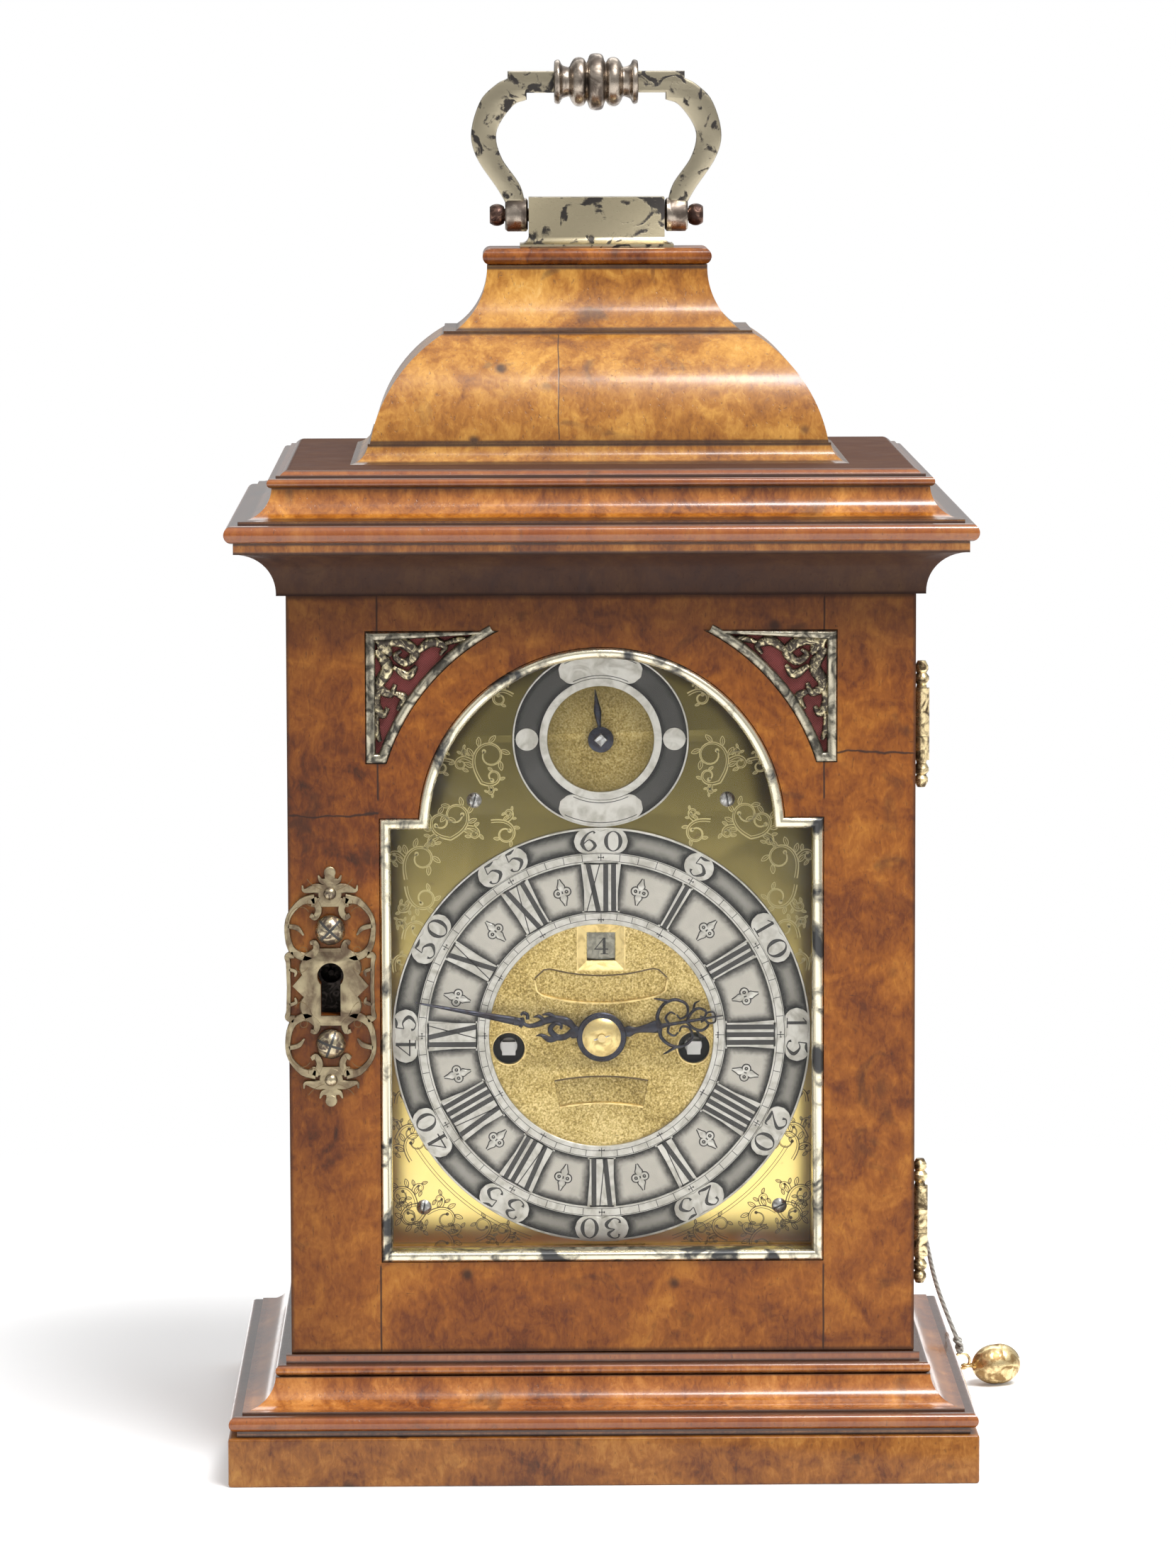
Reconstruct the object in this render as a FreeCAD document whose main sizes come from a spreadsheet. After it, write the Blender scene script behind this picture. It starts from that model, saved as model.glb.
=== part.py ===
import FreeCAD, Part
import math
import os
import Sketcher
from FreeCAD import Placement, Rotation, Vector

# A small spring-driven table clock in a veneered break-arch case with an inverted
# bell top and a folding carrying handle.  Millimetres, +Z up, the front faces -Y,
# and the origin is the middle of the plinth's underside.

# ---------------------------------------------------------------- driving sizes
SIZES = {
    # The box of the case, between the base mouldings and the cornice.
    "case_width": 187.0,
    "case_depth": 147.0,
    "case_height": 228.6,
    "side_thickness": 9.0,
    "joint_gap": 0.3,
    # Height of the case's middle when the heights of its pieces were taken.
    "datum_height": 151.1,
    # Base: each member's height, and how far it stands out from the case.
    "plinth_height": 14.7,
    "plinth_projection": 18.6,
    "base_quirk_height": 1.8,
    "base_torus_height": 4.7,
    "base_torus_seat": 16.0,
    "base_fillet_height": 0.8,
    "base_cavetto_height": 8.6,
    "base_cavetto_foot": 14.4,
    "base_cavetto_head": 4.7,
    "base_astragal_height": 3.5,
    "base_astragal_seat": 3.0,
    "base_ledge_height": 2.7,
    "base_ledge_projection": 1.6,
    # Cornice, from the case upwards.
    "cornice_cove_height": 13.2,
    "cornice_cove_foot": 2.8,
    "cornice_cove_head": 14.8,
    "cornice_band_height": 3.2,
    "cornice_bead_height": 5.4,
    "cornice_bead_seat": 14.9,
    "cornice_neck_height": 1.0,
    "cornice_neck_projection": 13.5,
    "cornice_sweep_height": 9.2,
    "cornice_sweep_head": 3.8,
    "cornice_torus_height": 2.8,
    "cornice_step_height": 0.8,
    "cornice_step_projection": 2.6,
    "cornice_lip_height": 1.7,
    "cornice_top_inset": 1.5,
    "cornice_pocket_depth": 18.0,
    "cornice_pocket_wall": 22.0,
    # Bell top: insets are measured inwards from the faces of the case.
    "bell_foot_height": 5.2,
    "bell_foot_inset": 16.6,
    "bell_foot_head": 24.1,
    "bell_fillet_height": 0.7,
    "bell_ovolo_height": 31.9,
    "bell_ovolo_foot": 24.8,
    "bell_ovolo_head": 46.8,
    "bell_cove_height": 18.2,
    "bell_cove_foot": 50.4,
    "bell_cove_head": 60.0,
    "bell_neck_height": 1.2,
    "cap_height": 5.0,
    "cap_inset": 61.2,
    # Handle and its bracket.
    "bracket_flange_width": 46.8,
    "bracket_flange_depth": 20.0,
    "bracket_flange_height": 3.2,
    "bracket_block_width": 41.4,
    "bracket_block_depth": 12.6,
    "bracket_block_height": 12.0,
    "handle_axis_height": 9.8,
    "handle_thickness": 5.0,
    "handle_reach": 43.7,
    "handle_bar_height": 6.6,
    "handle_shoulder": 27.0,
    "handle_spread": 38.0,
    "handle_arm_width": 8.0,
    "handle_eye_radius": 5.1,
    "handle_eye_width": 7.0,
    "handle_end_gap": 0.25,
    "handle_knob_length": 25.4,
    "handle_knob_radius": 8.1,
    "pivot_radius": 2.0,
    "pivot_ball_radius": 3.1,
    "pivot_ball_length": 4.4,
    "running_clearance": 0.05,
    # Front door with its break-arch opening.
    "door_thickness": 14.0,
    "opening_half_width": 66.3,
    "opening_bottom": 64.4,
    "opening_shoulder": 198.6,
    "arch_centre_height": 194.8,
    "arch_radius": 54.8,
    "moulding_width": 3.4,
    "moulding_depth": 7.0,
    "moulding_stand": 1.2,
    "glass_thickness": 1.8,
    # Corner frets of the door.
    "fret_corner_x": 70.2,
    "fret_top": 254.6,
    "fret_foot": 214.9,
    "fret_arc_radius": 67.0,
    "fret_border": 3.2,
    "fret_thickness": 2.4,
    "fret_stand": 0.8,
    "silk_thickness": 0.6,
    "fret_head_gap": 10.8,
    # Escutcheon, lock and bolt on the left stile.
    "lock_x": 81.0,
    "keyhole_height": 151.5,
    "keyhole_radius": 3.9,
    "keyhole_slot_width": 5.8,
    "keyhole_slot_length": 12.0,
    "escutcheon_width": 27.4,
    "escutcheon_height": 73.5,
    "escutcheon_thickness": 1.4,
    "escutcheon_screw_radius": 4.5,
    "escutcheon_screw_spacing": 34.4,
    "escutcheon_pin_spacing": 56.2,
    "escutcheon_pin_radius": 1.9,
    "escutcheon_embed": 1.6,
    "lock_width": 21.0,
    "lock_height": 44.0,
    "lock_depth": 8.0,
    "bolt_width": 2.4,
    "bolt_length": 14.0,
    "bolt_throw": 5.0,
    "bolt_offset": 6.8,
    "bolt_inset": 5.7,
    "bolt_clearance": 0.1,
    "staple_width": 5.0,
    "staple_thickness": 1.6,
    "staple_reach": 6.0,
    "staple_seat": 5.0,
    "staple_clearance": 0.4,
    "eye_clearance": 0.5,
    # Side-hung hinges, the same for both doors.
    "hinge_barrel_radius": 2.4,
    "hinge_pin_radius": 1.0,
    "hinge_knuckle": 7.2,
    "hinge_leaf_width": 8.6,
    "hinge_leaf_thickness": 1.2,
    "hinge_finial_length": 8.2,
    "hinge_upper_height": 224.8,
    "hinge_lower_height": 73.8,
    "hinge_slack": 0.15,
    # Back door and side windows.
    "back_door_thickness": 12.0,
    "back_opening_half_width": 68.0,
    "back_opening_bottom": 62.0,
    "back_opening_top": 241.0,
    "window_half_depth": 35.0,
    "window_bottom": 96.0,
    "window_top": 228.0,
    "window_glass_thickness": 1.5,
    "window_bead_width": 3.0,
    # Dial.
    "mask_thickness": 2.2,
    "mask_half_width": 63.8,
    "mask_bottom": 66.3,
    "mask_shoulder": 194.9,
    "mask_arch_radius": 52.4,
    "dial_thickness": 1.8,
    "dial_half_width": 65.4,
    "dial_bottom": 64.9,
    "dial_shoulder": 196.4,
    "dial_arch_radius": 53.4,
    "dial_centre_height": 130.7,
    "chapter_outer_radius": 63.0,
    "chapter_inner_radius": 33.8,
    "chapter_thickness": 1.5,
    "winding_spread": 27.9,
    "winding_drop": 4.1,
    "winding_hole_radius": 4.8,
    "date_rise": 26.7,
    "date_window": 8.5,
    "strike_centre_height": 220.4,
    "strike_outer_radius": 26.5,
    "strike_inner_radius": 16.0,
    "strike_thickness": 1.2,
    "dial_screw_radius": 2.3,
    "dial_screw_low_x": 53.7,
    "dial_screw_low_height": 78.2,
    "dial_screw_high_x": 38.0,
    "dial_screw_high_height": 202.0,
    # Hands.
    "hand_thickness": 0.8,
    "hand_gap": 1.1,
    "hour_length": 37.0,
    "minute_length": 56.9,
    "collet_radius": 5.8,
    "hour_angle": 80.6,
    "minute_angle": 280.8,
    "strike_hand_length": 15.0,
    "strike_hand_angle": -6.2,
    # Movement.
    "plate_half_width": 57.5,
    "plate_bottom": 74.0,
    "plate_top": 206.0,
    "plate_thickness": 2.5,
    "plate_spacing": 49.5,
    "dial_foot_length": 12.2,
    "dial_foot_radius": 2.6,
    "pillar_radius": 3.4,
    "pillar_foot_x": 51.0,
    "pillar_foot_height": 80.0,
    "pillar_head_x": 51.0,
    "pillar_head_height": 199.0,
    "seat_thickness": 8.0,
    "seat_overhang": 8.0,
    "cleat_size": 9.0,
    "arbor_radius": 1.2,
    "mesh_gap": 0.3,
    "centre_pinion_radius": 3.9,
    "centre_wheel_radius": 16.0,
    "cannon_radius": 2.4,
    "hour_pipe_wall": 0.9,
    "hour_wheel_radius": 14.0,
    "fusee_arbor_radius": 2.6,
    "wheel_thickness": 2.0,
    "going_wheel_radius": 24.0,
    "strike_wheel_radius": 22.0,
    "strike_pinion_radius": 3.0,
    "cock_reach": 10.0,
    "cock_half_width": 14.0,
    "fusee_large_radius": 15.0,
    "fusee_small_radius": 7.0,
    "fusee_length": 32.0,
    "winding_square": 4.0,
    "barrel_radius": 16.5,
    "barrel_length": 38.0,
    "barrel_spread": 31.5,
    "barrel_drop": 36.7,
    "gut_diameter": 1.2,
    "contrate_radius": 12.5,
    "contrate_setback": 18.0,
    "potence_reach": 15.0,
    "contrate_pinion_radius": 3.3,
    "crown_radius": 8.5,
    "crown_pinion_radius": 2.5,
    "verge_height": 180.5,
    "pendulum_length": 76.0,
    "bob_radius": 8.0,
    "bob_thickness": 7.0,
    "date_wheel_radius": 25.0,
    "date_wheel_gap": 0.5,
    "date_wheel_thickness": 1.0,
    "date_wheel_height": 178.4,
    "pin_wheel_radius": 13.0,
    "pin_wheel_spread": 32.9,
    "pin_wheel_height": 151.4,
    "gong_radius": 28.0,
    "gong_height": 25.0,
    "gong_wall": 2.0,
    "gong_rim_height": 213.0,
    "gong_y": -10.0,
    "bell_post_lap": 20.0,
    "hammer_spread": 38.0,
    "hammer_height": 194.0,
    "hammer_head_radius": 3.0,
    # Repeat cord and the little bell on its end.
    "cord_diameter": 1.4,
    "cord_clearance": 0.5,
    "cord_exit_y": 2.0,
    "cord_exit_height": 72.0,
    "crotal_radius": 6.3,
    "crotal_length": 16.5,
    "crotal_wall": 0.9,
}

QUARTER_ROUND = 0.2071
HALF_ROUND = 0.5
FRONT_TO_BACK = Rotation(Vector(1, 0, 0), -90)
BACK_TO_FRONT = Rotation(Vector(1, 0, 0), 90)
LEFT_TO_RIGHT = Rotation(Vector(0, 1, 0), 90)
UPRIGHT = Rotation()

doc = FreeCAD.newDocument("TableClock")
sheet = doc.addObject("Spreadsheet::Sheet", "Sizes")
for row, (alias, number) in enumerate(SIZES.items(), start=1):
    sheet.set(f"A{row}", alias)
    sheet.set(f"B{row}", str(number))
    sheet.setAlias(f"B{row}", alias)
doc.recompute()


class Size:
    """A length that knows its number and the sheet expression that gives it."""

    def __init__(self, value, text):
        self.value = value
        self.text = text

    def __add__(self, other):
        other = as_size(other)
        return Size(self.value + other.value, f"({self.text} + {other.text})")

    def __sub__(self, other):
        other = as_size(other)
        return Size(self.value - other.value, f"({self.text} - {other.text})")

    def __mul__(self, other):
        other = as_size(other)
        return Size(self.value * other.value, f"({self.text} * {other.text})")

    def __truediv__(self, other):
        other = as_size(other)
        return Size(self.value / other.value, f"({self.text} / {other.text})")

    def __neg__(self):
        return Size(-self.value, f"(0 - {self.text})")

    def __radd__(self, other):
        return as_size(other) + self

    def __rsub__(self, other):
        return as_size(other) - self

    def __rmul__(self, other):
        return as_size(other) * self


def as_size(number):
    if isinstance(number, Size):
        return number
    return Size(float(number), f"({float(number)})")


def size(alias):
    return Size(SIZES[alias], f"Sizes.{alias}")


def root(number):
    return Size(math.sqrt(number.value), f"sqrt({number.text})")


def leg(long_side, short_side):
    """The other leg of a right triangle, such as half a chord at some height."""
    return root(long_side * long_side - short_side * short_side)


# ------------------------------------------------------------ modelling helpers
parts = {}


def keep(name, item):
    """Files an object under the name of the piece that it is."""
    item.Label = name
    parts[name] = item
    return item


def bind(item, setting, number):
    number = as_size(number)
    setattr(item, setting, number.value)
    item.setExpression(setting, number.text)


def place(item, x, y, z, turn=UPRIGHT):
    x, y, z = as_size(x), as_size(y), as_size(z)
    item.Placement = Placement(Vector(x.value, y.value, z.value), turn)
    item.setExpression("Placement.Base.x", x.text)
    item.setExpression("Placement.Base.y", y.text)
    item.setExpression("Placement.Base.z", z.text)
    return item


def box(name, x, y, z):
    """A block between the low and high ends of each axis."""
    item = doc.addObject("Part::Box", name)
    bind(item, "Length", x[1] - x[0])
    bind(item, "Width", y[1] - y[0])
    bind(item, "Height", z[1] - z[0])
    return place(item, x[0], y[0], z[0])


def rod(name, radius, start, length, turn=UPRIGHT):
    item = doc.addObject("Part::Cylinder", name)
    bind(item, "Radius", radius)
    bind(item, "Height", length)
    return place(item, *start, turn)


def taper(name, radius, end_radius, start, length, turn=UPRIGHT):
    item = doc.addObject("Part::Cone", name)
    bind(item, "Radius1", radius)
    bind(item, "Radius2", end_radius)
    bind(item, "Height", length)
    return place(item, *start, turn)


def ball(name, radius, x, y, z):
    item = doc.addObject("Part::Sphere", name)
    bind(item, "Radius", radius)
    return place(item, x, y, z)


def fuse(name, items):
    item = doc.addObject("Part::MultiFuse", name)
    item.Shapes = items
    return item


def cut(name, base, tools):
    item = doc.addObject("Part::Cut", name)
    item.Base = base
    item.Tool = tools[0] if len(tools) == 1 else fuse(name + "_tools", tools)
    return item


def common(name, first, second):
    item = doc.addObject("Part::Common", name)
    item.Base = first
    item.Tool = second
    return item


def group(name, items):
    """Separate solids that are one sort of piece, such as a set of screws."""
    item = doc.addObject("Part::Compound", name)
    item.Links = items
    return keep(name, item)


def origin_plane(body, role):
    return next(item for item in body.Origin.OriginFeatures if item.Role == role)


def pin_point(sketch, geometry, end, x, y):
    for kind, number in (("DistanceX", as_size(x)), ("DistanceY", as_size(y))):
        rule = Sketcher.Constraint(kind, -1, 1, geometry, end, number.value)
        index = sketch.addConstraint(rule)
        sketch.setExpression(f"Constraints[{index}]", number.text)


def flat_point(x, y):
    return Vector(as_size(x).value, as_size(y).value, 0)


def arc_through(begin, middle, end):
    """The arc through three points, always stored counter-clockwise."""
    centre = Part.Circle(begin, middle, end).Center
    if (middle - begin).cross(end - begin).z < 0:
        begin, end = end, begin
    start = math.atan2(begin.y - centre.y, begin.x - centre.x)
    finish = math.atan2(end.y - centre.y, end.x - centre.x)
    if finish < start:
        finish += 2 * math.pi
    circle = Part.Circle(centre, Vector(0, 0, 1), (begin - centre).Length)
    return Part.ArcOfCircle(circle, start, finish)


def draw(sketch, outline):
    """Draws a closed outline: (x, y) ends a line, (x, y, mx, my) an arc through m."""
    first = sketch.GeometryCount
    count = len(outline)
    for index, target in enumerate(outline):
        begin = flat_point(*outline[index - 1][:2])
        end = flat_point(*target[:2])
        if len(target) == 4:
            sketch.addGeometry(arc_through(begin, flat_point(*target[2:]), end), False)
        else:
            sketch.addGeometry(Part.LineSegment(begin, end), False)
    ends = []
    for index in range(count):
        edge = sketch.Geometry[first + index]
        forward = (edge.EndPoint - flat_point(*outline[index][:2])).Length < 1e-6
        ends.append((1, 2) if forward else (2, 1))
    for index, target in enumerate(outline):
        after = (index + 1) % count
        here = (first + index, ends[index][1])
        there = (first + after, ends[after][0])
        pin_point(sketch, *here, *target[:2])
        sketch.addConstraint(Sketcher.Constraint("Coincident", *here, *there))
        if len(target) == 4:
            middle = sketch.addGeometry(Part.Point(flat_point(*target[2:])), True)
            pin_point(sketch, middle, 1, *target[2:])
            on_arc = Sketcher.Constraint("PointOnObject", middle, 1, first + index)
            sketch.addConstraint(on_arc)


def draw_circle(sketch, radius, x, y):
    circle = Part.Circle(flat_point(x, y), Vector(0, 0, 1), as_size(radius).value)
    index = sketch.addGeometry(circle, False)
    pin_point(sketch, index, 3, x, y)
    rule = sketch.addConstraint(Sketcher.Constraint("Radius", index, as_size(radius).value))
    sketch.setExpression(f"Constraints[{rule}]", as_size(radius).text)


def sketch_on(body, role, outlines, circles=()):
    sketch = body.newObject("Sketcher::SketchObject", body.Name + "_outline")
    sketch.AttachmentSupport = [(origin_plane(body, role), "")]
    sketch.MapMode = "FlatFace"
    for outline in outlines:
        draw(sketch, outline)
    for radius, x, y in circles:
        draw_circle(sketch, radius, x, y)
    return sketch


def slab(name, role, outlines, thickness, middle, circles=()):
    """A padded outline, of a given thickness about its middle plane."""
    body = doc.addObject("PartDesign::Body", name)
    pad = body.newObject("PartDesign::Pad", name + "_pad")
    pad.Profile = sketch_on(body, role, outlines, circles)
    pad.SideType = "Symmetric"
    bind(pad, "Length", thickness)
    body.Tip = pad
    offset = {"XY_Plane": (0, 0, middle), "XZ_Plane": (0, middle, 0), "YZ_Plane": (middle, 0, 0)}
    return place(body, *offset[role])


def front_slab(name, outlines, front, thickness, circles=()):
    """A plate whose outline is seen from the front, from its front face backwards."""
    return slab(name, "XZ_Plane", outlines, thickness, front + thickness / 2, circles)


def turned(name, outline, x, y, z, turn=UPRIGHT):
    """A lathe-turned piece: the outline gives (radius, height) about the Z axis."""
    body = doc.addObject("PartDesign::Body", name)
    spin = body.newObject("PartDesign::Revolution", name + "_spin")
    sketch = sketch_on(body, "XZ_Plane", [outline])
    spin.Profile = sketch
    spin.ReferenceAxis = (sketch, ["V_Axis"])
    spin.Angle = 360.0
    body.Tip = spin
    return place(body, x, y, z, turn)


def bowed(begin, end, bulge):
    """An arc between two points; a positive bulge swells to the right of the way."""
    along = end[0] - begin[0]
    up = end[1] - begin[1]
    middle_x = (begin[0] + end[0]) / 2 + bulge * up
    middle_y = (begin[1] + end[1]) / 2 - bulge * along
    return (end[0], end[1], middle_x, middle_y)


def domed(radius, base, rise):
    """The arc from a rim up to the axis that turns into a cap of a sphere."""
    sphere = (radius * radius + rise * rise) / (2 * rise)
    across = root(sphere * rise / 2)
    up = base + rise - sphere + root(sphere * (2 * sphere - rise) / 2)
    return (as_size(0), base + rise, across, up)


def mirrored(path):
    """The way back along a path's mirror image, after the mirrored end itself."""
    way_back = []
    for below, above in zip(reversed(path[:-1]), reversed(path[1:])):
        target = (-below[0], below[1])
        if len(above) == 4:
            target += (-above[2], above[3])
        way_back.append(target)
    return way_back


def symmetric(right, crown=()):
    """Closes a right half, drawn from bottom to top, with its mirror image."""
    across = (-right[-1][0], right[-1][1]) + tuple(crown)
    return list(right) + [across] + mirrored(right)


def same_point(first, second):
    return (flat_point(*first[:2]) - flat_point(*second[:2])).Length < 1e-6


def members(bottom, steps):
    """Stacks moulding members: (foot projection, head projection, height, bulge)."""
    outline = []
    level = as_size(bottom)
    for foot, head, rise, bulge in steps:
        begin = (as_size(foot), level)
        end = (as_size(head), level + rise)
        if not outline or not same_point(outline[-1], begin):
            outline.append(begin)
        outline.append(bowed(begin, end, bulge) if bulge else end)
        level = level + rise
    return outline


def shift_right(outline, distance):
    shifted = []
    for point in outline:
        moved = [point[0] + distance, point[1]]
        if len(point) == 4:
            moved += [point[2] + distance, point[3]]
        shifted.append(tuple(moved))
    return shifted


def moulded_block(name, outline):
    """A block with one moulding mitred round its four sides.

    The outline holds projections from the faces of the case.  Two long pads,
    one seen from the front and one from the side, meet in the mitred block.
    """
    reach = size("case_width") + size("case_depth")
    front = symmetric(shift_right(outline, size("case_width") / 2))
    side = symmetric(shift_right(outline, size("case_depth") / 2))
    across = slab(name + "_front", "XZ_Plane", [front], reach, 0)
    along = slab(name + "_side", "YZ_Plane", [side], reach, 0)
    return common(name + "_block", across, along)


# ------------------------------------------------------------------ key heights
half_width = size("case_width") / 2
half_depth = size("case_depth") / 2
case_floor = (
    size("plinth_height") + size("base_quirk_height") + size("base_torus_height")
    + size("base_fillet_height") + size("base_cavetto_height")
    + size("base_astragal_height") + size("base_ledge_height")
)
case_head = case_floor + size("case_height")
case_middle = case_floor + size("case_height") / 2


def at_height(alias):
    """A height on the case, its doors or its dial, which rides with the case's middle."""
    return size(alias) + case_middle - size("datum_height")


# The frets' top keeps within the head of the door as the case grows or shrinks.
FRET_SHARE = 0.3
fret_rise = case_head - size("fret_head_gap") - at_height("fret_top")
fret_top = at_height("fret_top") + FRET_SHARE * fret_rise
cornice_head = (
    case_head + size("cornice_cove_height") + size("cornice_band_height")
    + size("cornice_bead_height") + size("cornice_neck_height")
    + size("cornice_sweep_height") + size("cornice_torus_height")
    + size("cornice_step_height") + size("cornice_lip_height")
)
bell_head = (
    cornice_head + size("bell_foot_height") + 2 * size("bell_fillet_height")
    + size("bell_ovolo_height") + size("bell_cove_height") + size("bell_neck_height")
)
cap_head = bell_head + size("cap_height")
inner_half_width = half_width - size("side_thickness")

# Planes from front to back.
door_front = -half_depth
door_back = door_front + size("door_thickness")
case_front = door_back + size("joint_gap")
mask_back = case_front + size("mask_thickness")
dial_front = mask_back
dial_back = dial_front + size("dial_thickness")
chapter_front = dial_front - size("chapter_thickness")
plate_front = dial_back + size("dial_foot_length")
plate_inner = plate_front + size("plate_thickness")
back_plate_inner = plate_inner + size("plate_spacing")
back_plate_rear = back_plate_inner + size("plate_thickness")
back_door_front = half_depth - size("back_door_thickness")
case_back = back_door_front - size("joint_gap")
hinge_axis_x = half_width + 0.2 + size("hinge_barrel_radius")
hinge_axis_y = {
    "front": (door_back + case_front) / 2,
    "back": (case_back + back_door_front) / 2,
}
cannon_radius = size("cannon_radius")
hour_pipe_radius = cannon_radius + size("running_clearance") + size("hour_pipe_wall")
fusee_arbor_radius = size("fusee_arbor_radius")
contrate_height = (
    at_height("dial_centre_height") + size("centre_wheel_radius") + size("mesh_gap")
    + size("contrate_pinion_radius")
)
contrate_y = plate_inner + size("contrate_setback")
crown_y = (
    contrate_y + 2 * size("wheel_thickness") + size("mesh_gap")
    + size("crown_pinion_radius")
)
bolt_x = size("bolt_inset") - half_width
bolt_y = door_back - size("staple_reach") / 2


# ------------------------------------------------------------------------ case
def staple_box(name, margin, ahead, behind):
    """A flat tongue on the left side's front edge, grown by a margin all round."""
    reach_x = size("staple_width") / 2 + margin
    reach_z = size("staple_thickness") / 2 + margin
    return box(
        name,
        (bolt_x - reach_x, bolt_x + reach_x),
        (case_front - ahead, case_front + behind),
        (at_height("keyhole_height") - reach_z, at_height("keyhole_height") + reach_z),
    )


def leaf_box(name, middle_height, door, on_door):
    """A hinge leaf in the joint: on the case's edge, or on the door's back face."""
    thickness = size("hinge_leaf_thickness")
    reach = 1.5 * size("hinge_knuckle")
    depth = {
        ("front", False): (case_front, case_front + thickness),
        ("front", True): (door_back - thickness, door_back),
        ("back", False): (case_back - thickness, case_back),
        ("back", True): (back_door_front, back_door_front + thickness),
    }[(door, on_door)]
    return box(
        name,
        (half_width - size("hinge_leaf_width"), half_width),
        depth,
        (middle_height - reach, middle_height + reach),
    )


def make_base():
    plinth = box(
        "plinth_board",
        (-half_width - size("plinth_projection"), half_width + size("plinth_projection")),
        (-half_depth - size("plinth_projection"), half_depth + size("plinth_projection")),
        (as_size(0), size("plinth_height")),
    )
    keep("base_plinth", plinth)
    cavetto = (size("base_cavetto_foot"), size("base_cavetto_head"))
    outline = members(size("plinth_height"), [
        (size("base_torus_seat"), size("base_torus_seat"), size("base_quirk_height"), 0),
        (size("base_torus_seat"), size("base_torus_seat"), size("base_torus_height"),
         HALF_ROUND),
        (cavetto[0], cavetto[0], size("base_fillet_height"), 0),
        (cavetto[0], cavetto[1], size("base_cavetto_height"), -QUARTER_ROUND),
        (size("base_astragal_seat"), size("base_astragal_seat"),
         size("base_astragal_height"), HALF_ROUND),
        (size("base_ledge_projection"), size("base_ledge_projection"),
         size("base_ledge_height"), 0),
    ])
    keep("base_moulding", moulded_block("base", outline))


def make_cornice():
    cove = (size("cornice_cove_foot"), size("cornice_cove_head"))
    torus = (size("cornice_sweep_head"), size("cornice_sweep_head"))
    step = size("cornice_step_projection")
    outline = members(case_head, [
        (cove[0], cove[1], size("cornice_cove_height"), -QUARTER_ROUND),
        (size("cornice_bead_seat"), size("cornice_bead_seat"),
         size("cornice_band_height"), 0),
        (size("cornice_bead_seat"), size("cornice_bead_seat"),
         size("cornice_bead_height"), HALF_ROUND),
        (size("cornice_neck_projection"), size("cornice_neck_projection"),
         size("cornice_neck_height"), 0),
        (size("cornice_neck_projection"), torus[0],
         size("cornice_sweep_height"), -QUARTER_ROUND),
        (torus[0], torus[1], size("cornice_torus_height"), HALF_ROUND),
        (step, step, size("cornice_step_height"), 0),
        (step / 2, -size("cornice_top_inset"), size("cornice_lip_height"), 0.1),
    ])
    block = moulded_block("cornice", outline)
    wall = size("cornice_pocket_wall")
    pocket = box(
        "cornice_pocket",
        (-half_width + wall, half_width - wall),
        (-half_depth + wall, half_depth - wall),
        (case_head - 1, case_head + size("cornice_pocket_depth")),
    )
    keep("cornice_moulding", cut("cornice_hollow", block, [pocket]))


def make_bell_top():
    fillet = size("bell_fillet_height")
    cove = (-size("bell_cove_foot"), -size("bell_cove_head"))
    outline = members(cornice_head, [
        (-size("bell_foot_inset"), -size("bell_foot_head"), size("bell_foot_height"),
         -QUARTER_ROUND),
        (-size("bell_foot_head"), -size("bell_foot_head"), fillet, 0),
        (-size("bell_ovolo_foot"), -size("bell_ovolo_head"), size("bell_ovolo_height"),
         0.11),
        (-size("bell_ovolo_head"), -size("bell_ovolo_head"), fillet, 0),
        (cove[0], cove[1], size("bell_cove_height"), -0.12),
        (cove[1], cove[1], size("bell_neck_height"), 0),
    ])
    keep("bell_top", moulded_block("bell", outline))
    edge = -size("cap_inset")
    cap = members(bell_head, [(edge, edge, size("cap_height"), HALF_ROUND)])
    keep("top_cap", moulded_block("cap", cap))


def window_outline(margin=0):
    """The side window as (depth, height), wider all round by the margin."""
    reach = size("window_half_depth") + margin
    low = at_height("window_bottom") - margin
    high = at_height("window_top") + margin
    return [(-reach, low), (reach, low), (reach, high), (-reach, high)]


def make_sides():
    panes = []
    for side, sign in (("left", -1), ("right", 1)):
        board = box(
            f"side_board_{side}",
            (-half_width, -inner_half_width) if sign < 0 else (inner_half_width, half_width),
            (case_front, case_back),
            (case_floor, case_head),
        )
        middle = sign * (half_width - size("side_thickness") / 2)
        window = slab(f"side_window_{side}", "YZ_Plane", [window_outline()],
                      size("side_thickness") + 2, middle)
        pane_middle = sign * (inner_half_width + size("window_glass_thickness") / 2)
        rebate = slab(f"side_rebate_{side}", "YZ_Plane",
                      [window_outline(size("window_bead_width"))],
                      size("window_glass_thickness"), pane_middle)
        tools = [window, rebate]
        panes.append(slab(f"side_pane_{side}", "YZ_Plane",
                          [window_outline(size("window_bead_width"))],
                          size("window_glass_thickness"), pane_middle))
        for level in ("upper", "lower"):
            middle_height = at_height(f"hinge_{level}_height")
            if sign > 0:
                tools.append(leaf_box(f"front_seat_{level}", middle_height, "front", False))
                tools.append(leaf_box(f"back_seat_{level}", middle_height, "back", False))
        if sign > 0:
            hole = size("cord_diameter") / 2 + 1.3
            tools.append(rod("cord_hole", hole,
                             (inner_half_width - 1, size("cord_exit_y"),
                              size("cord_exit_height")),
                             size("side_thickness") + 2, LEFT_TO_RIGHT))
        if sign < 0:
            tools.append(staple_box("staple_mortise", 0, 1, size("staple_seat")))
        keep(f"carcase_side_{side}", cut(f"side_cut_{side}", board, tools))
    group("side_glasses", panes)


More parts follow.
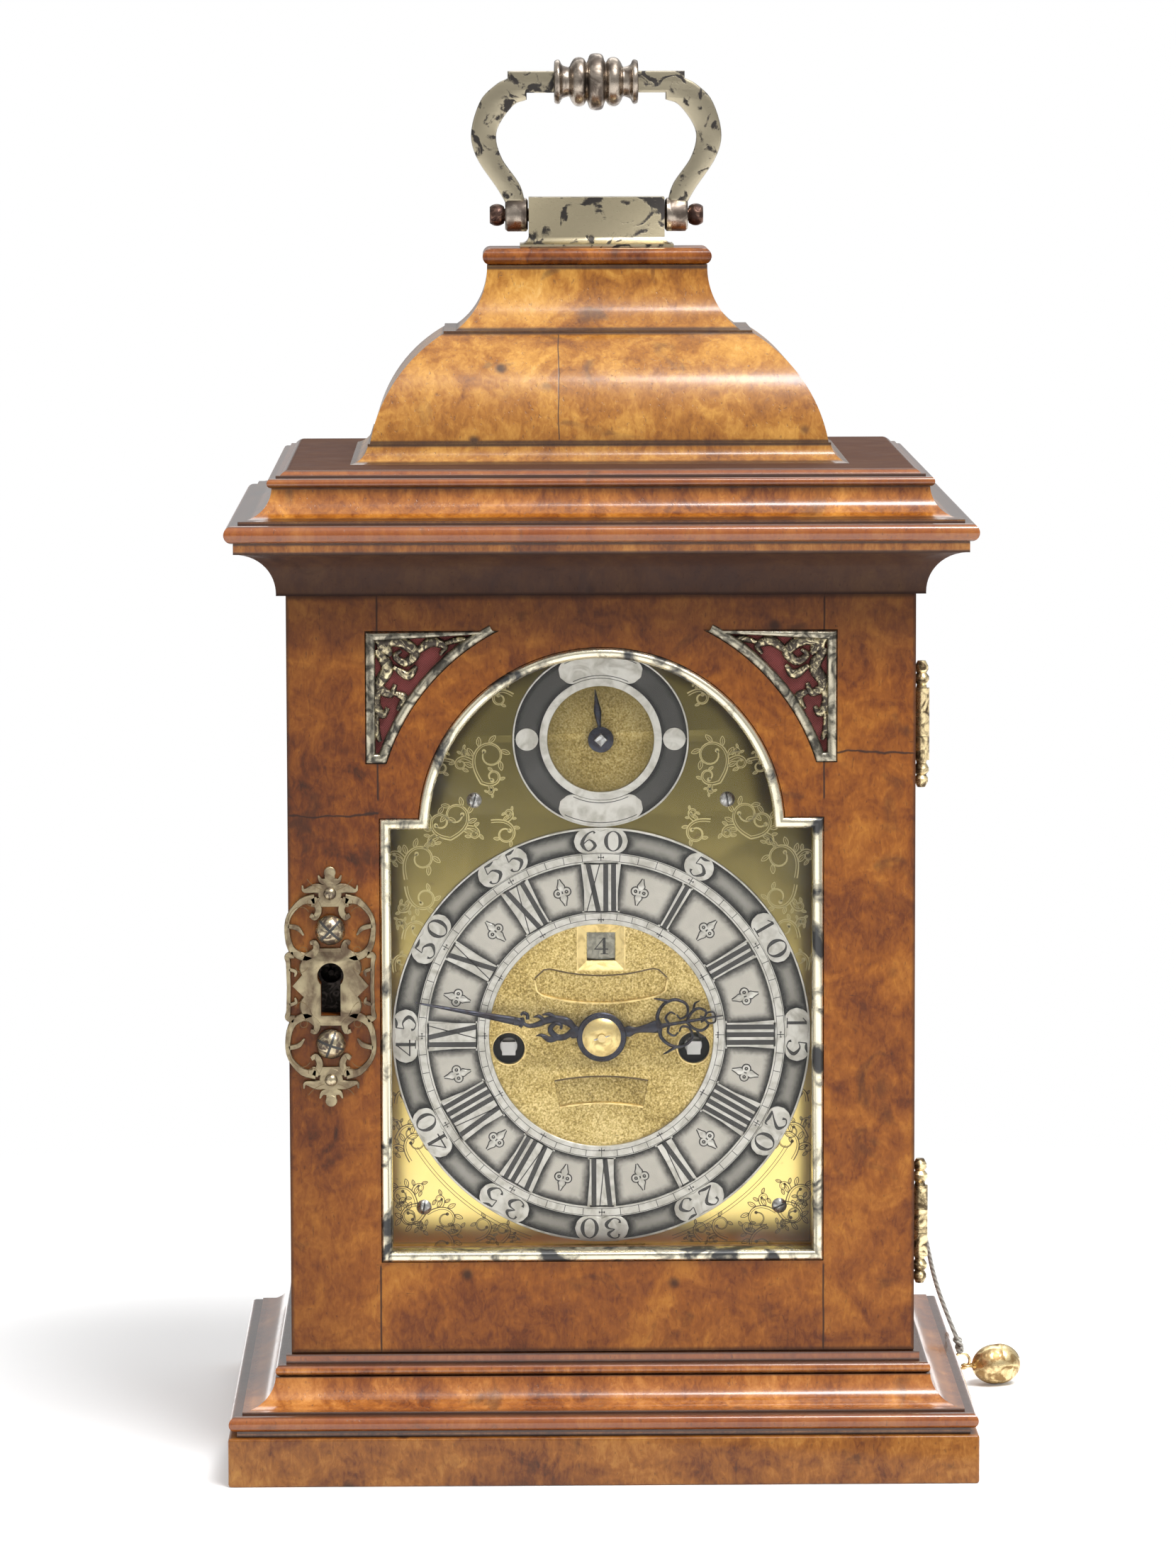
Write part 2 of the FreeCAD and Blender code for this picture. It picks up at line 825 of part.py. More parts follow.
# ---------------------------------------------------------------------- hinges
def finial(name, middle_height, upwards):
    """The turned end of a hinge pin."""
    wide = size("hinge_barrel_radius")
    long = size("hinge_finial_length")
    outline = [
        (0, 0), (0.7 * wide, 0), (0.6 * wide, 0.12 * long), (0.95 * wide, 0.3 * long),
        (0.95 * wide, 0.42 * long), (0.6 * wide, 0.55 * long), (0.85 * wide, 0.68 * long),
        (0.85 * wide, 0.8 * long), (0.5 * wide, long), (0, long),
    ]
    rise = 1.5 * size("hinge_knuckle")
    foot = middle_height + rise if upwards else middle_height - rise
    turn = UPRIGHT if upwards else Rotation(Vector(1, 0, 0), 180)
    return name, outline, foot, turn


def make_hinges(door):
    """Both hinges of one door: the case's halves with their pins, and the door's."""
    axis_y = hinge_axis_y[door]
    knuckle = size("hinge_knuckle")
    barrel = size("hinge_barrel_radius")
    slack = size("hinge_slack")
    case_halves = []
    door_halves = []
    for level in ("upper", "lower"):
        middle = at_height(f"hinge_{level}_height")
        tag = f"{door}_{level}"
        low = (middle - 1.5 * knuckle, middle - 0.5 * knuckle - slack)
        high = (middle + 0.5 * knuckle + slack, middle + 1.5 * knuckle)
        depth = size("hinge_leaf_thickness")
        half_gap = size("joint_gap") / 2
        behind = (axis_y + half_gap, axis_y + half_gap + depth)
        ahead = (axis_y - half_gap - depth, axis_y - half_gap)
        case_side, door_side = (behind, ahead) if door == "front" else (ahead, behind)
        pieces = [leaf_box(f"{tag}_case_leaf", middle, door, False)]
        for end, (bottom, top) in (("low", low), ("high", high)):
            pieces.append(rod(f"{tag}_knuckle_{end}", barrel,
                              (hinge_axis_x, axis_y, bottom), top - bottom))
            pieces.append(box(f"{tag}_tab_{end}", (half_width, hinge_axis_x),
                              case_side, (bottom, top)))
        pieces.append(rod(f"{tag}_pin", size("hinge_pin_radius"),
                          (hinge_axis_x, axis_y, low[0]), 3 * knuckle))
        for end in (True, False):
            name, outline, foot, turn = finial(f"{tag}_finial_{int(end)}", middle, end)
            pieces.append(turned(name, outline, hinge_axis_x, axis_y, foot, turn))
        case_halves.append(fuse(f"{tag}_case_half", pieces))
        knuckle_rod = rod(f"{tag}_door_knuckle", barrel,
                          (hinge_axis_x, axis_y, middle - 0.5 * knuckle), knuckle)
        tab = box(f"{tag}_door_tab", (half_width, hinge_axis_x), door_side,
                  (middle - 0.5 * knuckle, middle + 0.5 * knuckle))
        solid = fuse(f"{tag}_door_solid",
                     [leaf_box(f"{tag}_door_leaf", middle, door, True), tab, knuckle_rod])
        bore = rod(f"{tag}_bore", size("hinge_pin_radius") + size("running_clearance"),
                   (hinge_axis_x, axis_y, middle - knuckle), 2 * knuckle)
        door_halves.append(cut(f"{tag}_door_half", solid, [bore]))
    group(f"{door}_door_hinges", door_halves)
    return case_halves


# ------------------------------------------------------------------ front door
def break_arch(half, bottom, shoulder, radius):
    """A square-shouldered opening with a round arch over its middle."""
    rise = shoulder - at_height("arch_centre_height")
    foot = leg(radius, rise)
    right = [(half, bottom), (half, shoulder), (foot, shoulder)]
    top = at_height("arch_centre_height") + radius
    return symmetric(right, (0, top))


def door_opening(inset):
    return break_arch(
        size("opening_half_width") - inset,
        at_height("opening_bottom") + inset,
        at_height("opening_shoulder") - inset,
        size("arch_radius") - inset,
    )


def fret_outline(sign, inset):
    """A spandrel between two straight edges and an arc about the dial arch."""
    corner = size("fret_corner_x") - inset
    top = fret_top - inset
    foot = at_height("fret_foot") + inset
    radius = size("fret_arc_radius") + inset
    centre = at_height("arch_centre_height")
    tip = leg(radius, top - centre)
    toe = leg(radius, foot - centre)
    bend = radius * math.sqrt(0.5)
    return [
        (sign * corner, foot), (sign * corner, top), (sign * tip, top),
        (sign * toe, foot, sign * bend, centre + bend),
    ]


def keyhole_tools(name, front, depth):
    """The round head and the slot of the keyhole, as cutters."""
    x = -size("lock_x")
    height = at_height("keyhole_height")
    half_slot = size("keyhole_slot_width") / 2
    return [
        rod(name + "_head", size("keyhole_radius"), (x, front, height), depth,
            FRONT_TO_BACK),
        box(name + "_slot", (x - half_slot, x + half_slot), (front, front + depth),
            (height - size("keyhole_slot_length"), height)),
    ]


def make_front_door():
    gap = size("joint_gap")
    outline = [
        (-half_width, case_floor + gap), (half_width, case_floor + gap),
        (half_width, case_head - gap), (-half_width, case_head - gap),
    ]
    thickness = size("door_thickness")
    panel = front_slab("door_panel", [outline, door_opening(0)], door_front, thickness)
    tools = keyhole_tools("door_keyhole", door_front - 1, thickness / 2 + 1)
    for side, sign in (("left", -1), ("right", 1)):
        tools.append(front_slab(f"fret_opening_{side}", [fret_outline(sign, 0)],
                                door_front - 1, thickness + 2))
    for level in ("upper", "lower"):
        middle = at_height(f"hinge_{level}_height")
        tools.append(leaf_box(f"door_leaf_seat_{level}", middle, "front", True))
    tools.append(lock_box("lock_mortise"))
    tools += fixing_bores("door_bore", door_front - 1, size("escutcheon_embed") + 1)
    keep("front_door", cut("front_door_cut", panel, tools))


def lock_box(name):
    half_lock = size("lock_width") / 2
    middle = at_height("keyhole_height")
    return box(
        name,
        (bolt_x - half_lock + size("bolt_offset"), half_lock - size("lock_x")),
        (door_back - size("lock_depth"), door_back),
        (middle - size("lock_height") / 2, middle + size("lock_height") / 2),
    )


def make_door_fittings():
    moulding = front_slab(
        "arch_moulding_ring", [door_opening(0), door_opening(size("moulding_width"))],
        door_front - size("moulding_stand"), size("moulding_depth"),
    )
    keep("door_arch_moulding", moulding)
    glass_front = door_front - size("moulding_stand") + size("moulding_depth")
    glass = front_slab("door_pane", [door_opening(0)], glass_front, size("glass_thickness"))
    keep("door_glass", glass)
    frets = []
    silks = []
    fret_front = door_front - size("fret_stand")
    for side, sign in (("left", -1), ("right", 1)):
        holes = []
        inner = size("fret_border")
        corner = size("fret_corner_x")
        top = fret_top
        tip = leg(size("fret_arc_radius"), top - at_height("arch_centre_height"))
        wide = corner - tip
        tall = top - at_height("fret_foot")
        for radius, across, down in (
            (3.4, 0.14, 0.116), (3.0, 0.3, 0.101), (2.3, 0.45, 0.081),
            (1.5, 0.565, 0.06), (2.7, 0.115, 0.302), (2.2, 0.095, 0.463),
            (1.6, 0.075, 0.594),
        ):
            x = sign * (corner - inner - across * wide)
            holes.append((radius, x, top - inner - down * tall))
        frets.append(front_slab(f"fret_{side}", [fret_outline(sign, 0)], fret_front,
                                size("fret_thickness"), holes))
        silks.append(front_slab(f"silk_{side}", [fret_outline(sign, 0)],
                                fret_front + size("fret_thickness"),
                                size("silk_thickness")))
    group("door_frets", frets)
    group("fret_silk", silks)


def escutcheon_outline():
    """Half of the pierced plate's silhouette, from its lower to its upper finial."""
    half = size("escutcheon_width") / 2
    reach = size("escutcheon_height") / 2
    middle = at_height("keyhole_height") - 3.3
    waist = 0.9 * half
    right = [
        (0.16 * half, -reach), (0.2 * half, -0.86 * reach), (0.62 * half, -0.78 * reach),
        (0.45 * half, -0.68 * reach),
        (0.95 * half, -0.28 * reach, 0.96 * half, -0.52 * reach),
        (waist, -0.2 * reach), (waist, 0.2 * reach), (0.95 * half, 0.26 * reach),
        (0.45 * half, 0.72 * reach, 0.96 * half, 0.52 * reach),
        (0.66 * half, 0.82 * reach), (0.24 * half, 0.9 * reach), (0.16 * half, reach),
    ]
    outline = symmetric(right)
    raised = []
    for point in outline:
        moved = [point[0] - size("lock_x"), point[1] + middle]
        if len(point) == 4:
            moved += [point[2] - size("lock_x"), point[3] + middle]
        raised.append(tuple(moved))
    return raised, middle


def escutcheon_fixings():
    """The two screws and two pins: name, head radius, head rise and height."""
    middle = escutcheon_outline()[1]
    fixings = []
    for word, up in (("low", -1), ("high", 1)):
        screw_height = middle + up * size("escutcheon_screw_spacing") / 2
        pin_height = middle + up * size("escutcheon_pin_spacing") / 2
        screw = size("escutcheon_screw_radius")
        pin = size("escutcheon_pin_radius")
        fixings.append((f"escutcheon_screw_{word}", screw, 0.8 * screw, screw_height))
        fixings.append((f"escutcheon_pin_{word}", pin, 0.7 * pin, pin_height))
    return fixings


def fixing_bores(tag, front, depth):
    bores = []
    for name, radius, _, height in escutcheon_fixings():
        bores.append(rod(f"{name}_{tag}", 0.5 * radius, (-size("lock_x"), front, height),
                         depth, FRONT_TO_BACK))
    return bores


def make_escutcheon():
    outline, middle = escutcheon_outline()
    thickness = size("escutcheon_thickness")
    front = door_front - thickness
    half = size("escutcheon_width") / 2
    reach = size("escutcheon_height") / 2
    pierced = []
    for up in (-1, 1):
        for across in (-1, 1):
            x = -size("lock_x") + across * 0.52 * half
            pierced.append((0.16 * half, x, middle + up * 0.36 * reach))
            pierced.append((0.2 * half, x, middle + up * 0.56 * reach))
    plate = front_slab("escutcheon_plate", [outline], front, thickness, pierced)
    tools = keyhole_tools("escutcheon_keyhole", front - 1, thickness + 2)
    tools += fixing_bores("plate_bore", front - 1, thickness + 2)
    keep("escutcheon", cut("escutcheon_cut", plate, tools))
    embed = size("escutcheon_embed")
    shank = embed + thickness
    fixings = []
    for name, radius, rise, height in escutcheon_fixings():
        outline = [
            (0, 0), (0.5 * radius, 0), (0.5 * radius, shank), (radius, shank),
            domed(radius, shank, rise),
        ]
        fixings.append(turned(name, outline, -size("lock_x"), door_front + embed, height,
                              BACK_TO_FRONT))
    group("escutcheon_screws", fixings)


def make_lock():
    """The lock let into the door's back, with its bolt and the case's staple."""
    middle = at_height("keyhole_height")
    clearance = size("bolt_clearance")
    half_bolt = size("bolt_width") / 2
    rest_gap = size("staple_thickness") / 2 + 0.4
    channel = box(
        "bolt_channel",
        (bolt_x - half_bolt - clearance, bolt_x + half_bolt + clearance),
        (bolt_y - half_bolt - clearance, bolt_y + half_bolt + clearance),
        (middle - rest_gap - size("bolt_throw"),
         middle + rest_gap + size("bolt_length") + clearance),
    )
    staple_room = staple_box(
        "staple_slot", size("staple_clearance"),
        size("staple_reach") + size("joint_gap") + size("staple_clearance"), 0,
    )
    keyway = rod("lock_keyway", 0.8 * size("keyhole_radius"),
                 (-size("lock_x"), door_back - size("lock_depth") - 1, middle),
                 size("lock_depth") - 1, FRONT_TO_BACK)
    key_pin = rod("lock_key_pin", 0.8,
                  (-size("lock_x"), door_back - size("lock_depth"), middle),
                  size("lock_depth"), FRONT_TO_BACK)
    case = cut("lock_case", lock_box("lock_block"), [channel, staple_room, keyway])
    keep("door_lock", fuse("lock_with_pin", [case, key_pin]))
    bolt = box(
        "bolt_bar",
        (bolt_x - half_bolt, bolt_x + half_bolt),
        (bolt_y - half_bolt, bolt_y + half_bolt),
        (middle + rest_gap, middle + rest_gap + size("bolt_length")),
    )
    keep("lock_bolt", bolt)
    tongue = staple_box("staple_tongue", 0,
                        size("staple_reach") + size("joint_gap"), size("staple_seat"))
    eye = half_bolt + size("eye_clearance")
    eye_room = box(
        "staple_eye",
        (bolt_x - eye, bolt_x + eye),
        (bolt_y - eye, bolt_y + eye),
        (middle - size("staple_thickness"), middle + size("staple_thickness")),
    )
    keep("lock_staple", cut("staple_cut", tongue, [eye_room]))


# ------------------------------------------------------------------- back door
def make_back_door():
    gap = size("joint_gap")
    outline = [
        (-half_width, case_floor + gap), (half_width, case_floor + gap),
        (half_width, case_head - gap), (-half_width, case_head - gap),
    ]
    thickness = size("back_door_thickness")

    def opening(margin):
        reach = size("back_opening_half_width") + margin
        low = at_height("back_opening_bottom") - margin
        high = at_height("back_opening_top") + margin
        return [(-reach, low), (reach, low), (reach, high), (-reach, high)]

    panel = front_slab("back_panel", [outline, opening(0)], back_door_front, thickness)
    bead = size("window_bead_width")
    pane_thickness = size("window_glass_thickness")
    rebate = front_slab("back_rebate", [opening(bead)], back_door_front, pane_thickness)
    tools = [rebate]
    for level in ("upper", "lower"):
        middle = at_height(f"hinge_{level}_height")
        tools.append(leaf_box(f"back_door_leaf_seat_{level}", middle, "back", True))
    keep("back_door", cut("back_door_cut", panel, tools))
    keep("back_glass", front_slab("back_pane", [opening(bead)], back_door_front,
                                  pane_thickness))


# ---------------------------------------------------------------------- handle
def make_handle():
    flange_x = size("bracket_flange_width") / 2
    flange_y = size("bracket_flange_depth") / 2
    block_x = size("bracket_block_width") / 2
    block_y = size("bracket_block_depth") / 2
    foot_top = cap_head + size("bracket_flange_height")
    axis = cap_head + size("handle_axis_height")
    lip = size("bracket_flange_height") / 3
    hollow = (block_x, foot_top)
    front = symmetric([
        (flange_x, cap_head), (flange_x, cap_head + lip),
        bowed((flange_x, cap_head + lip), hollow, -QUARTER_ROUND),
        (block_x, foot_top + size("bracket_block_height")),
    ])
    hollow = (block_y, foot_top)
    side = symmetric([
        (flange_y, cap_head), (flange_y, cap_head + lip),
        bowed((flange_y, cap_head + lip), hollow, -QUARTER_ROUND),
        (block_y, foot_top + size("bracket_block_height")),
    ])
    across = slab("bracket_front", "XZ_Plane", [front], 2 * flange_y, 0)
    along = slab("bracket_side", "YZ_Plane", [side], 2 * flange_x, 0)
    block = common("bracket_block", across, along)
    seats = []
    pivots = []
    end_gap = size("handle_end_gap")
    grip = block_x / 3
    shank = grip + 2 * end_gap + size("handle_eye_width")
    for word, sign in (("left", -1), ("right", 1)):
        turn = Rotation(Vector(0, 1, 0), 90 * sign)
        start = (sign * (block_x - grip), 0, axis)
        seats.append(rod(f"pivot_seat_{word}", size("pivot_radius"), start, shank, turn))
        reach = size("pivot_ball_length")
        head = size("pivot_ball_radius")
        outline = [
            (0, 0), (size("pivot_radius"), 0), (size("pivot_radius"), shank),
            (0.8 * head, shank),
            bowed((0.8 * head, shank), (0.8 * head, shank + reach), 0.2),
            (0, shank + reach),
        ]
        pivots.append(turned(f"pivot_{word}", outline, *start, turn))
    keep("handle_bracket", cut("bracket_cut", block, seats))
    group("handle_pivots", pivots)
    keep("handle", make_bail(axis, block_x + end_gap))


def make_bail(axis, eye_start):
    """The handle: two flat swelled arms, a straight bar and a turned knob."""
    reach = size("handle_reach")
    bar = axis + reach
    low = bar - size("handle_bar_height")
    shoulder = size("handle_shoulder")
    spread = size("handle_spread")
    arm = size("handle_arm_width")
    eye_end = eye_start + size("handle_eye_width")
    waist = axis + 0.56 * reach
    step = size("handle_bar_height") / 3
    foot = axis + 0.7 * size("handle_eye_radius")
    notch = shoulder - 0.72 * arm
    outer = [
        (eye_end, foot),
        (spread, waist, 0.95 * spread, waist - 0.21 * reach),
        (shoulder, bar - step, 0.93 * spread, waist + 0.23 * reach),
        (shoulder, bar),
    ]
    inner = [
        (notch, low), (notch, low - step),
        (spread - arm, waist, 0.76 * spread, waist + 0.1 * reach),
        (eye_start, foot, 0.735 * spread, waist - 0.21 * reach),
    ]
    outline = symmetric(outer) + [(-eye_start, foot)] + mirrored(inner) + inner
    strap = slab("handle_strap", "XZ_Plane", [outline], size("handle_thickness"), 0)
    radius = size("handle_knob_radius")
    half = size("handle_knob_length") / 2
    ring = 0.4 * half
    knob_outline = [
        (0, -half), (0.68 * radius, -half), (0.5 * radius, -0.82 * half),
        (0.5 * radius, -1.5 * ring),
        bowed((0.5 * radius, -1.5 * ring), (0.62 * radius, -0.5 * ring), 0.4),
        bowed((0.62 * radius, -0.5 * ring), (0.62 * radius, 0.5 * ring), 0.5),
        bowed((0.62 * radius, 0.5 * ring), (0.5 * radius, 1.5 * ring), 0.4),
        (0.5 * radius, 0.82 * half), (0.68 * radius, half), (0, half),
    ]
    knob = turned("handle_knob", knob_outline, 0, 0, bar - size("handle_bar_height") / 2,
                  LEFT_TO_RIGHT)
    eyes = []
    bores = []
    for word, sign in (("left", -1), ("right", 1)):
        turn = Rotation(Vector(0, 1, 0), 90 * sign)
        start = (sign * eye_start, 0, axis)
        eyes.append(rod(f"eye_{word}", size("handle_eye_radius"), start,
                        size("handle_eye_width"), turn))
        bores.append(rod(f"eye_bore_{word}", size("pivot_radius")
                         + size("running_clearance"), (sign * (eye_start - 1), 0, axis),
                         size("handle_eye_width") + 2, turn))
    return cut("handle_cut", fuse("handle_solid", [strap, knob] + eyes), bores)


# ------------------------------------------------------------------------ dial
def make_mask():
    outline = [
        (-inner_half_width, case_floor), (inner_half_width, case_floor),
        (inner_half_width, case_head), (-inner_half_width, case_head),
    ]
    hole = break_arch(size("mask_half_width"), at_height("mask_bottom"),
                      at_height("mask_shoulder"), size("mask_arch_radius"))
    keep("dial_mask", front_slab("mask_board", [outline, hole], case_front,
                                 size("mask_thickness")))


def dial_screw_places():
    places = []
    for sign in (-1, 1):
        places.append((sign * size("dial_screw_low_x"),
                       at_height("dial_screw_low_height")))
        places.append((sign * size("dial_screw_high_x"),
                       at_height("dial_screw_high_height")))
    return places


def make_dial():
    centre = at_height("dial_centre_height")
    thickness = size("dial_thickness")
    outline = break_arch(size("dial_half_width"), at_height("dial_bottom"),
                         at_height("dial_shoulder"), size("dial_arch_radius"))
    holes = [(hour_pipe_radius + 2 * size("running_clearance"), 0, centre)]
    for sign in (-1, 1):
        holes.append((size("winding_hole_radius"), sign * size("winding_spread"),
                      centre - size("winding_drop")))
    strike_arbor = size("arbor_radius") + size("running_clearance")
    holes.append((strike_arbor, 0, at_height("strike_centre_height")))
    screw_shank = size("dial_screw_radius") / 2
    for x, height in dial_screw_places():
        holes.append((screw_shank, x, height))
    half_window = size("date_window") / 2
    date_height = centre + size("date_rise")
    window = [
        (-half_window, date_height - half_window), (half_window, date_height - half_window),
        (half_window, date_height + half_window), (-half_window, date_height + half_window),
    ]
    plate = front_slab("dial_sheet", [outline, window], dial_front, thickness, holes)
    feet = []
    screws = []
    head = size("dial_screw_radius")
    shank = thickness + 4
    for index, (x, height) in enumerate(dial_screw_places()):
        foot = rod(f"dial_foot_{index}", size("dial_foot_radius"), (x, dial_back, height),
                   size("dial_foot_length"), FRONT_TO_BACK)
        bore = rod(f"dial_foot_bore_{index}", screw_shank, (x, dial_back - 1, height),
                   shank, FRONT_TO_BACK)
        feet.append(cut(f"dial_foot_cut_{index}", foot, [bore]))
        outline = [
            (0, 0), (screw_shank, 0), (screw_shank, shank), (head, shank),
            domed(head, shank, 0.5 * head),
        ]
        screws.append(turned(f"dial_screw_{index}", outline, x, dial_front + shank, height,
                             BACK_TO_FRONT))
    keep("dial_plate", fuse("dial_with_feet", [plate] + feet + date_stud()))
    group("dial_screws", screws)
    ring = front_slab("chapter_disc", [], chapter_front, size("chapter_thickness"), [
        (size("chapter_outer_radius"), 0, centre),
        (size("chapter_inner_radius"), 0, centre),
    ])
    keep("chapter_ring", ring)
    strike = front_slab("strike_disc", [], dial_front - size("strike_thickness"),
                        size("strike_thickness"), [
        (size("strike_outer_radius"), 0, at_height("strike_centre_height")),
        (size("strike_inner_radius"), 0, at_height("strike_centre_height")),
    ])
    keep("strike_ring", strike)


def date_stud():
    """The shouldered stud riveted into the dial plate's back for the date wheel."""
    height = at_height("date_wheel_height")
    gap = size("date_wheel_gap")
    thick = size("date_wheel_thickness")
    arbor = size("arbor_radius")
    return [
        rod("date_stud_pin", arbor, (0, dial_back, height), 2 * gap + thick,
            FRONT_TO_BACK),
        rod("date_stud_head", 2 * arbor, (0, dial_back + 2 * gap + thick, height), gap,
            FRONT_TO_BACK),
    ]


def make_date_wheel():
    """The disc behind the square opening, which carries the days of the month."""
    height = at_height("date_wheel_height")
    front = dial_back + size("date_wheel_gap")
    disc = rod("date_disc", size("date_wheel_radius"), (0, front, height),
               size("date_wheel_thickness"), FRONT_TO_BACK)
    bore = rod("date_bore", size("arbor_radius") + size("running_clearance"),
               (0, front - 1, height), 3.0, FRONT_TO_BACK)
    keep("date_wheel", cut("date_cut", disc, [bore]))


# ----------------------------------------------------------------------- hands
hand_layers = {
    "hour": chapter_front - size("hand_gap") - size("hand_thickness"),
    "minute": chapter_front - size("hand_gap") - 2.25 * size("hand_thickness")
    - size("hand_gap") * 0.75,
}


def hand_turn(angle):
    """Clockwise from twelve, as seen from the front."""
    return Rotation(Vector(0, 1, 0), angle)


def make_hands():
    centre = at_height("dial_centre_height")
    thickness = size("hand_thickness")
    hour = size("hour_length")
    pipe = hour_pipe_radius
    blade = symmetric([
        (1.1, 6.0), (1.4, 0.45 * hour), (5.2, 0.52 * hour),
        (5.4, 0.66 * hour, 6.6, 0.6 * hour), (1.6, 0.76 * hour), (0.9, 0.82 * hour),
        (0.35, hour),
    ])
    hour_body = slab("hour_blade", "XZ_Plane", [blade], thickness, 0,
                     [(1.5, 0, 0.5 * hour), (1.3, -2.9, 0.6 * hour), (1.3, 2.9, 0.6 * hour)])
    hour_body = place(hour_body, 0, hand_layers["hour"] + thickness / 2, centre,
                      hand_turn(SIZES["hour_angle"]))
    boss = rod("hour_boss", 2.1 * pipe, (0, hand_layers["hour"], centre), thickness,
               FRONT_TO_BACK)
    bore = rod("hour_hand_bore", pipe, (0, hand_layers["hour"] - 1, centre), 3,
               FRONT_TO_BACK)
    keep("hour_hand", cut("hour_hand_cut", fuse("hour_hand_solid", [hour_body, boss]),
                          [bore]))
    minute = size("minute_length")
    blade = symmetric([
        (1.2, 6.0), (1.6, 0.2 * minute), (3.4, 0.27 * minute),
        (1.0, 0.4 * minute, 2.8, 0.35 * minute), (1.7, 0.44 * minute),
        (0.7, 0.5 * minute), (0.3, minute),
    ])
    minute_body = slab("minute_blade", "XZ_Plane", [blade], thickness, 0,
                       [(1.1, 0, 0.3 * minute)])
    minute_body = place(minute_body, 0, hand_layers["minute"] + thickness / 2, centre,
                        hand_turn(SIZES["minute_angle"]))
    boss = rod("minute_boss", 7.5, (0, hand_layers["minute"], centre), thickness,
               FRONT_TO_BACK)
    bore = rod("minute_hand_bore", size("arbor_radius"),
               (0, hand_layers["minute"] - 1, centre), 3, FRONT_TO_BACK)
    keep("minute_hand", cut("minute_hand_cut",
                            fuse("minute_hand_solid", [minute_body, boss]), [bore]))
    collet_outline = [
        (size("arbor_radius"), 0), (size("collet_radius"), 0),
        (size("collet_radius"), 0.4),
        bowed((size("collet_radius"), as_size(0.4)), (size("arbor_radius"), as_size(1.5)),
              0.1),
    ]
    collet = turned("collet_turning", collet_outline, 0, hand_layers["minute"], centre,
                    BACK_TO_FRONT)
    keep("hand_collet", collet)
    strike = size("strike_hand_length")
    blade = symmetric([
        (0.5, 0), (0.7, 0.25 * strike), (1.2, 0.45 * strike), (0.25, strike),
    ])
    front = dial_front - size("strike_thickness") - size("hand_gap") - thickness
    height = at_height("strike_centre_height")
    body = slab("strike_blade", "XZ_Plane", [blade], thickness, 0)
    body = place(body, 0, front + thickness / 2, height,
                 hand_turn(SIZES["strike_hand_angle"]))
    collar = rod("strike_collar", 3.85, (0, front, height), thickness, FRONT_TO_BACK)
    arbor = rod("strike_arbor", size("arbor_radius"), (0, front - 1.2, height),
                12.0, FRONT_TO_BACK)
    keep("strike_hand", fuse("strike_hand_solid", [body, collar, arbor]))


# -------------------------------------------------------------------- movement
def wheel_between(name, radius, x, y, height, thickness, bore):
    disc = rod(name + "_disc", radius, (x, y, height), thickness, FRONT_TO_BACK)
    return cut(name, disc, [rod(name + "_bore", bore, (x, y - 1, height),
                                thickness + 2, FRONT_TO_BACK)])


pillar_places = (
    ("pillar_foot_x", "pillar_foot_height", (-1, 1)),
    ("pillar_head_x", "pillar_head_height", (-1, 1)),
)


def pillar_spots():
    spots = []
    for across, height, signs in pillar_places:
        for sign in signs:
            spots.append((sign * size(across), at_height(height)))
    return spots


def arbor_holes():
    """Every pivot hole that both plates share: radius, x and height."""
    clearance = size("running_clearance")
    centre = at_height("dial_centre_height")
    small = size("arbor_radius") + clearance
    holes = [(small, 0, centre), (small, 0, contrate_height),
             (small, 0, at_height("verge_height"))]
    for sign in (-1, 1):
        holes.append((fusee_arbor_radius + clearance, sign * size("winding_spread"),
                      centre - size("winding_drop")))
        holes.append((small, sign * size("barrel_spread"),
                      centre - size("barrel_drop")))
    holes.append((small, -size("pin_wheel_spread"), at_height("pin_wheel_height")))
    holes.append((small, -size("hammer_spread"), at_height("hammer_height")))
    return holes


def make_plates():
    half = size("plate_half_width")
    outline = [
        (-half, at_height("plate_bottom")), (half, at_height("plate_bottom")),
        (half, at_height("plate_top")), (-half, at_height("plate_top")),
    ]
    thickness = size("plate_thickness")
    tenon = 0.6 * size("pillar_radius")
    pillar_holes = [(tenon, x, height) for x, height in pillar_spots()]
    holes = arbor_holes() + pillar_holes
    keep("front_plate", front_slab("front_plate_sheet", [outline], plate_front, thickness,
                                   holes))
    keep("back_plate", front_slab("back_plate_sheet", [outline], back_plate_inner,
                                  thickness, holes))
    pillars = []
    long = size("plate_spacing")
    wide = size("pillar_radius")
    for index, (x, height) in enumerate(pillar_spots()):
        outline = [
            (0, -thickness), (tenon, -thickness), (tenon, 0), (wide, 0), (wide, 0.08 * long),
            (0.6 * wide, 0.12 * long), (0.6 * wide, 0.3 * long),
            bowed((0.6 * wide, 0.3 * long), (0.6 * wide, 0.7 * long), 0.06),
            (0.6 * wide, 0.88 * long), (wide, 0.92 * long), (wide, long), (tenon, long),
            (tenon, long + thickness), (0, long + thickness),
        ]
        pillars.append(turned(f"pillar_{index}", outline, x, plate_inner, height,
                              FRONT_TO_BACK))
    group("plate_pillars", pillars)


def make_seat():
    seat_top = at_height("plate_bottom")
    low = seat_top - size("seat_thickness")
    overhang = size("seat_overhang")
    cleat = size("cleat_size")
    board = box("seat_plank", (-inner_half_width, inner_half_width),
                (plate_front - overhang / 2, back_plate_rear + overhang), (low, seat_top))
    boards = [board]
    for word, sign in (("left", -1), ("right", 1)):
        inner = inner_half_width - cleat
        across = (-inner_half_width, -inner) if sign < 0 else (inner, inner_half_width)
        boards.append(box(f"seat_cleat_{word}", across,
                          (plate_front - overhang / 2, back_plate_rear + overhang),
                          (low - cleat, low)))
    group("seat_board", boards)


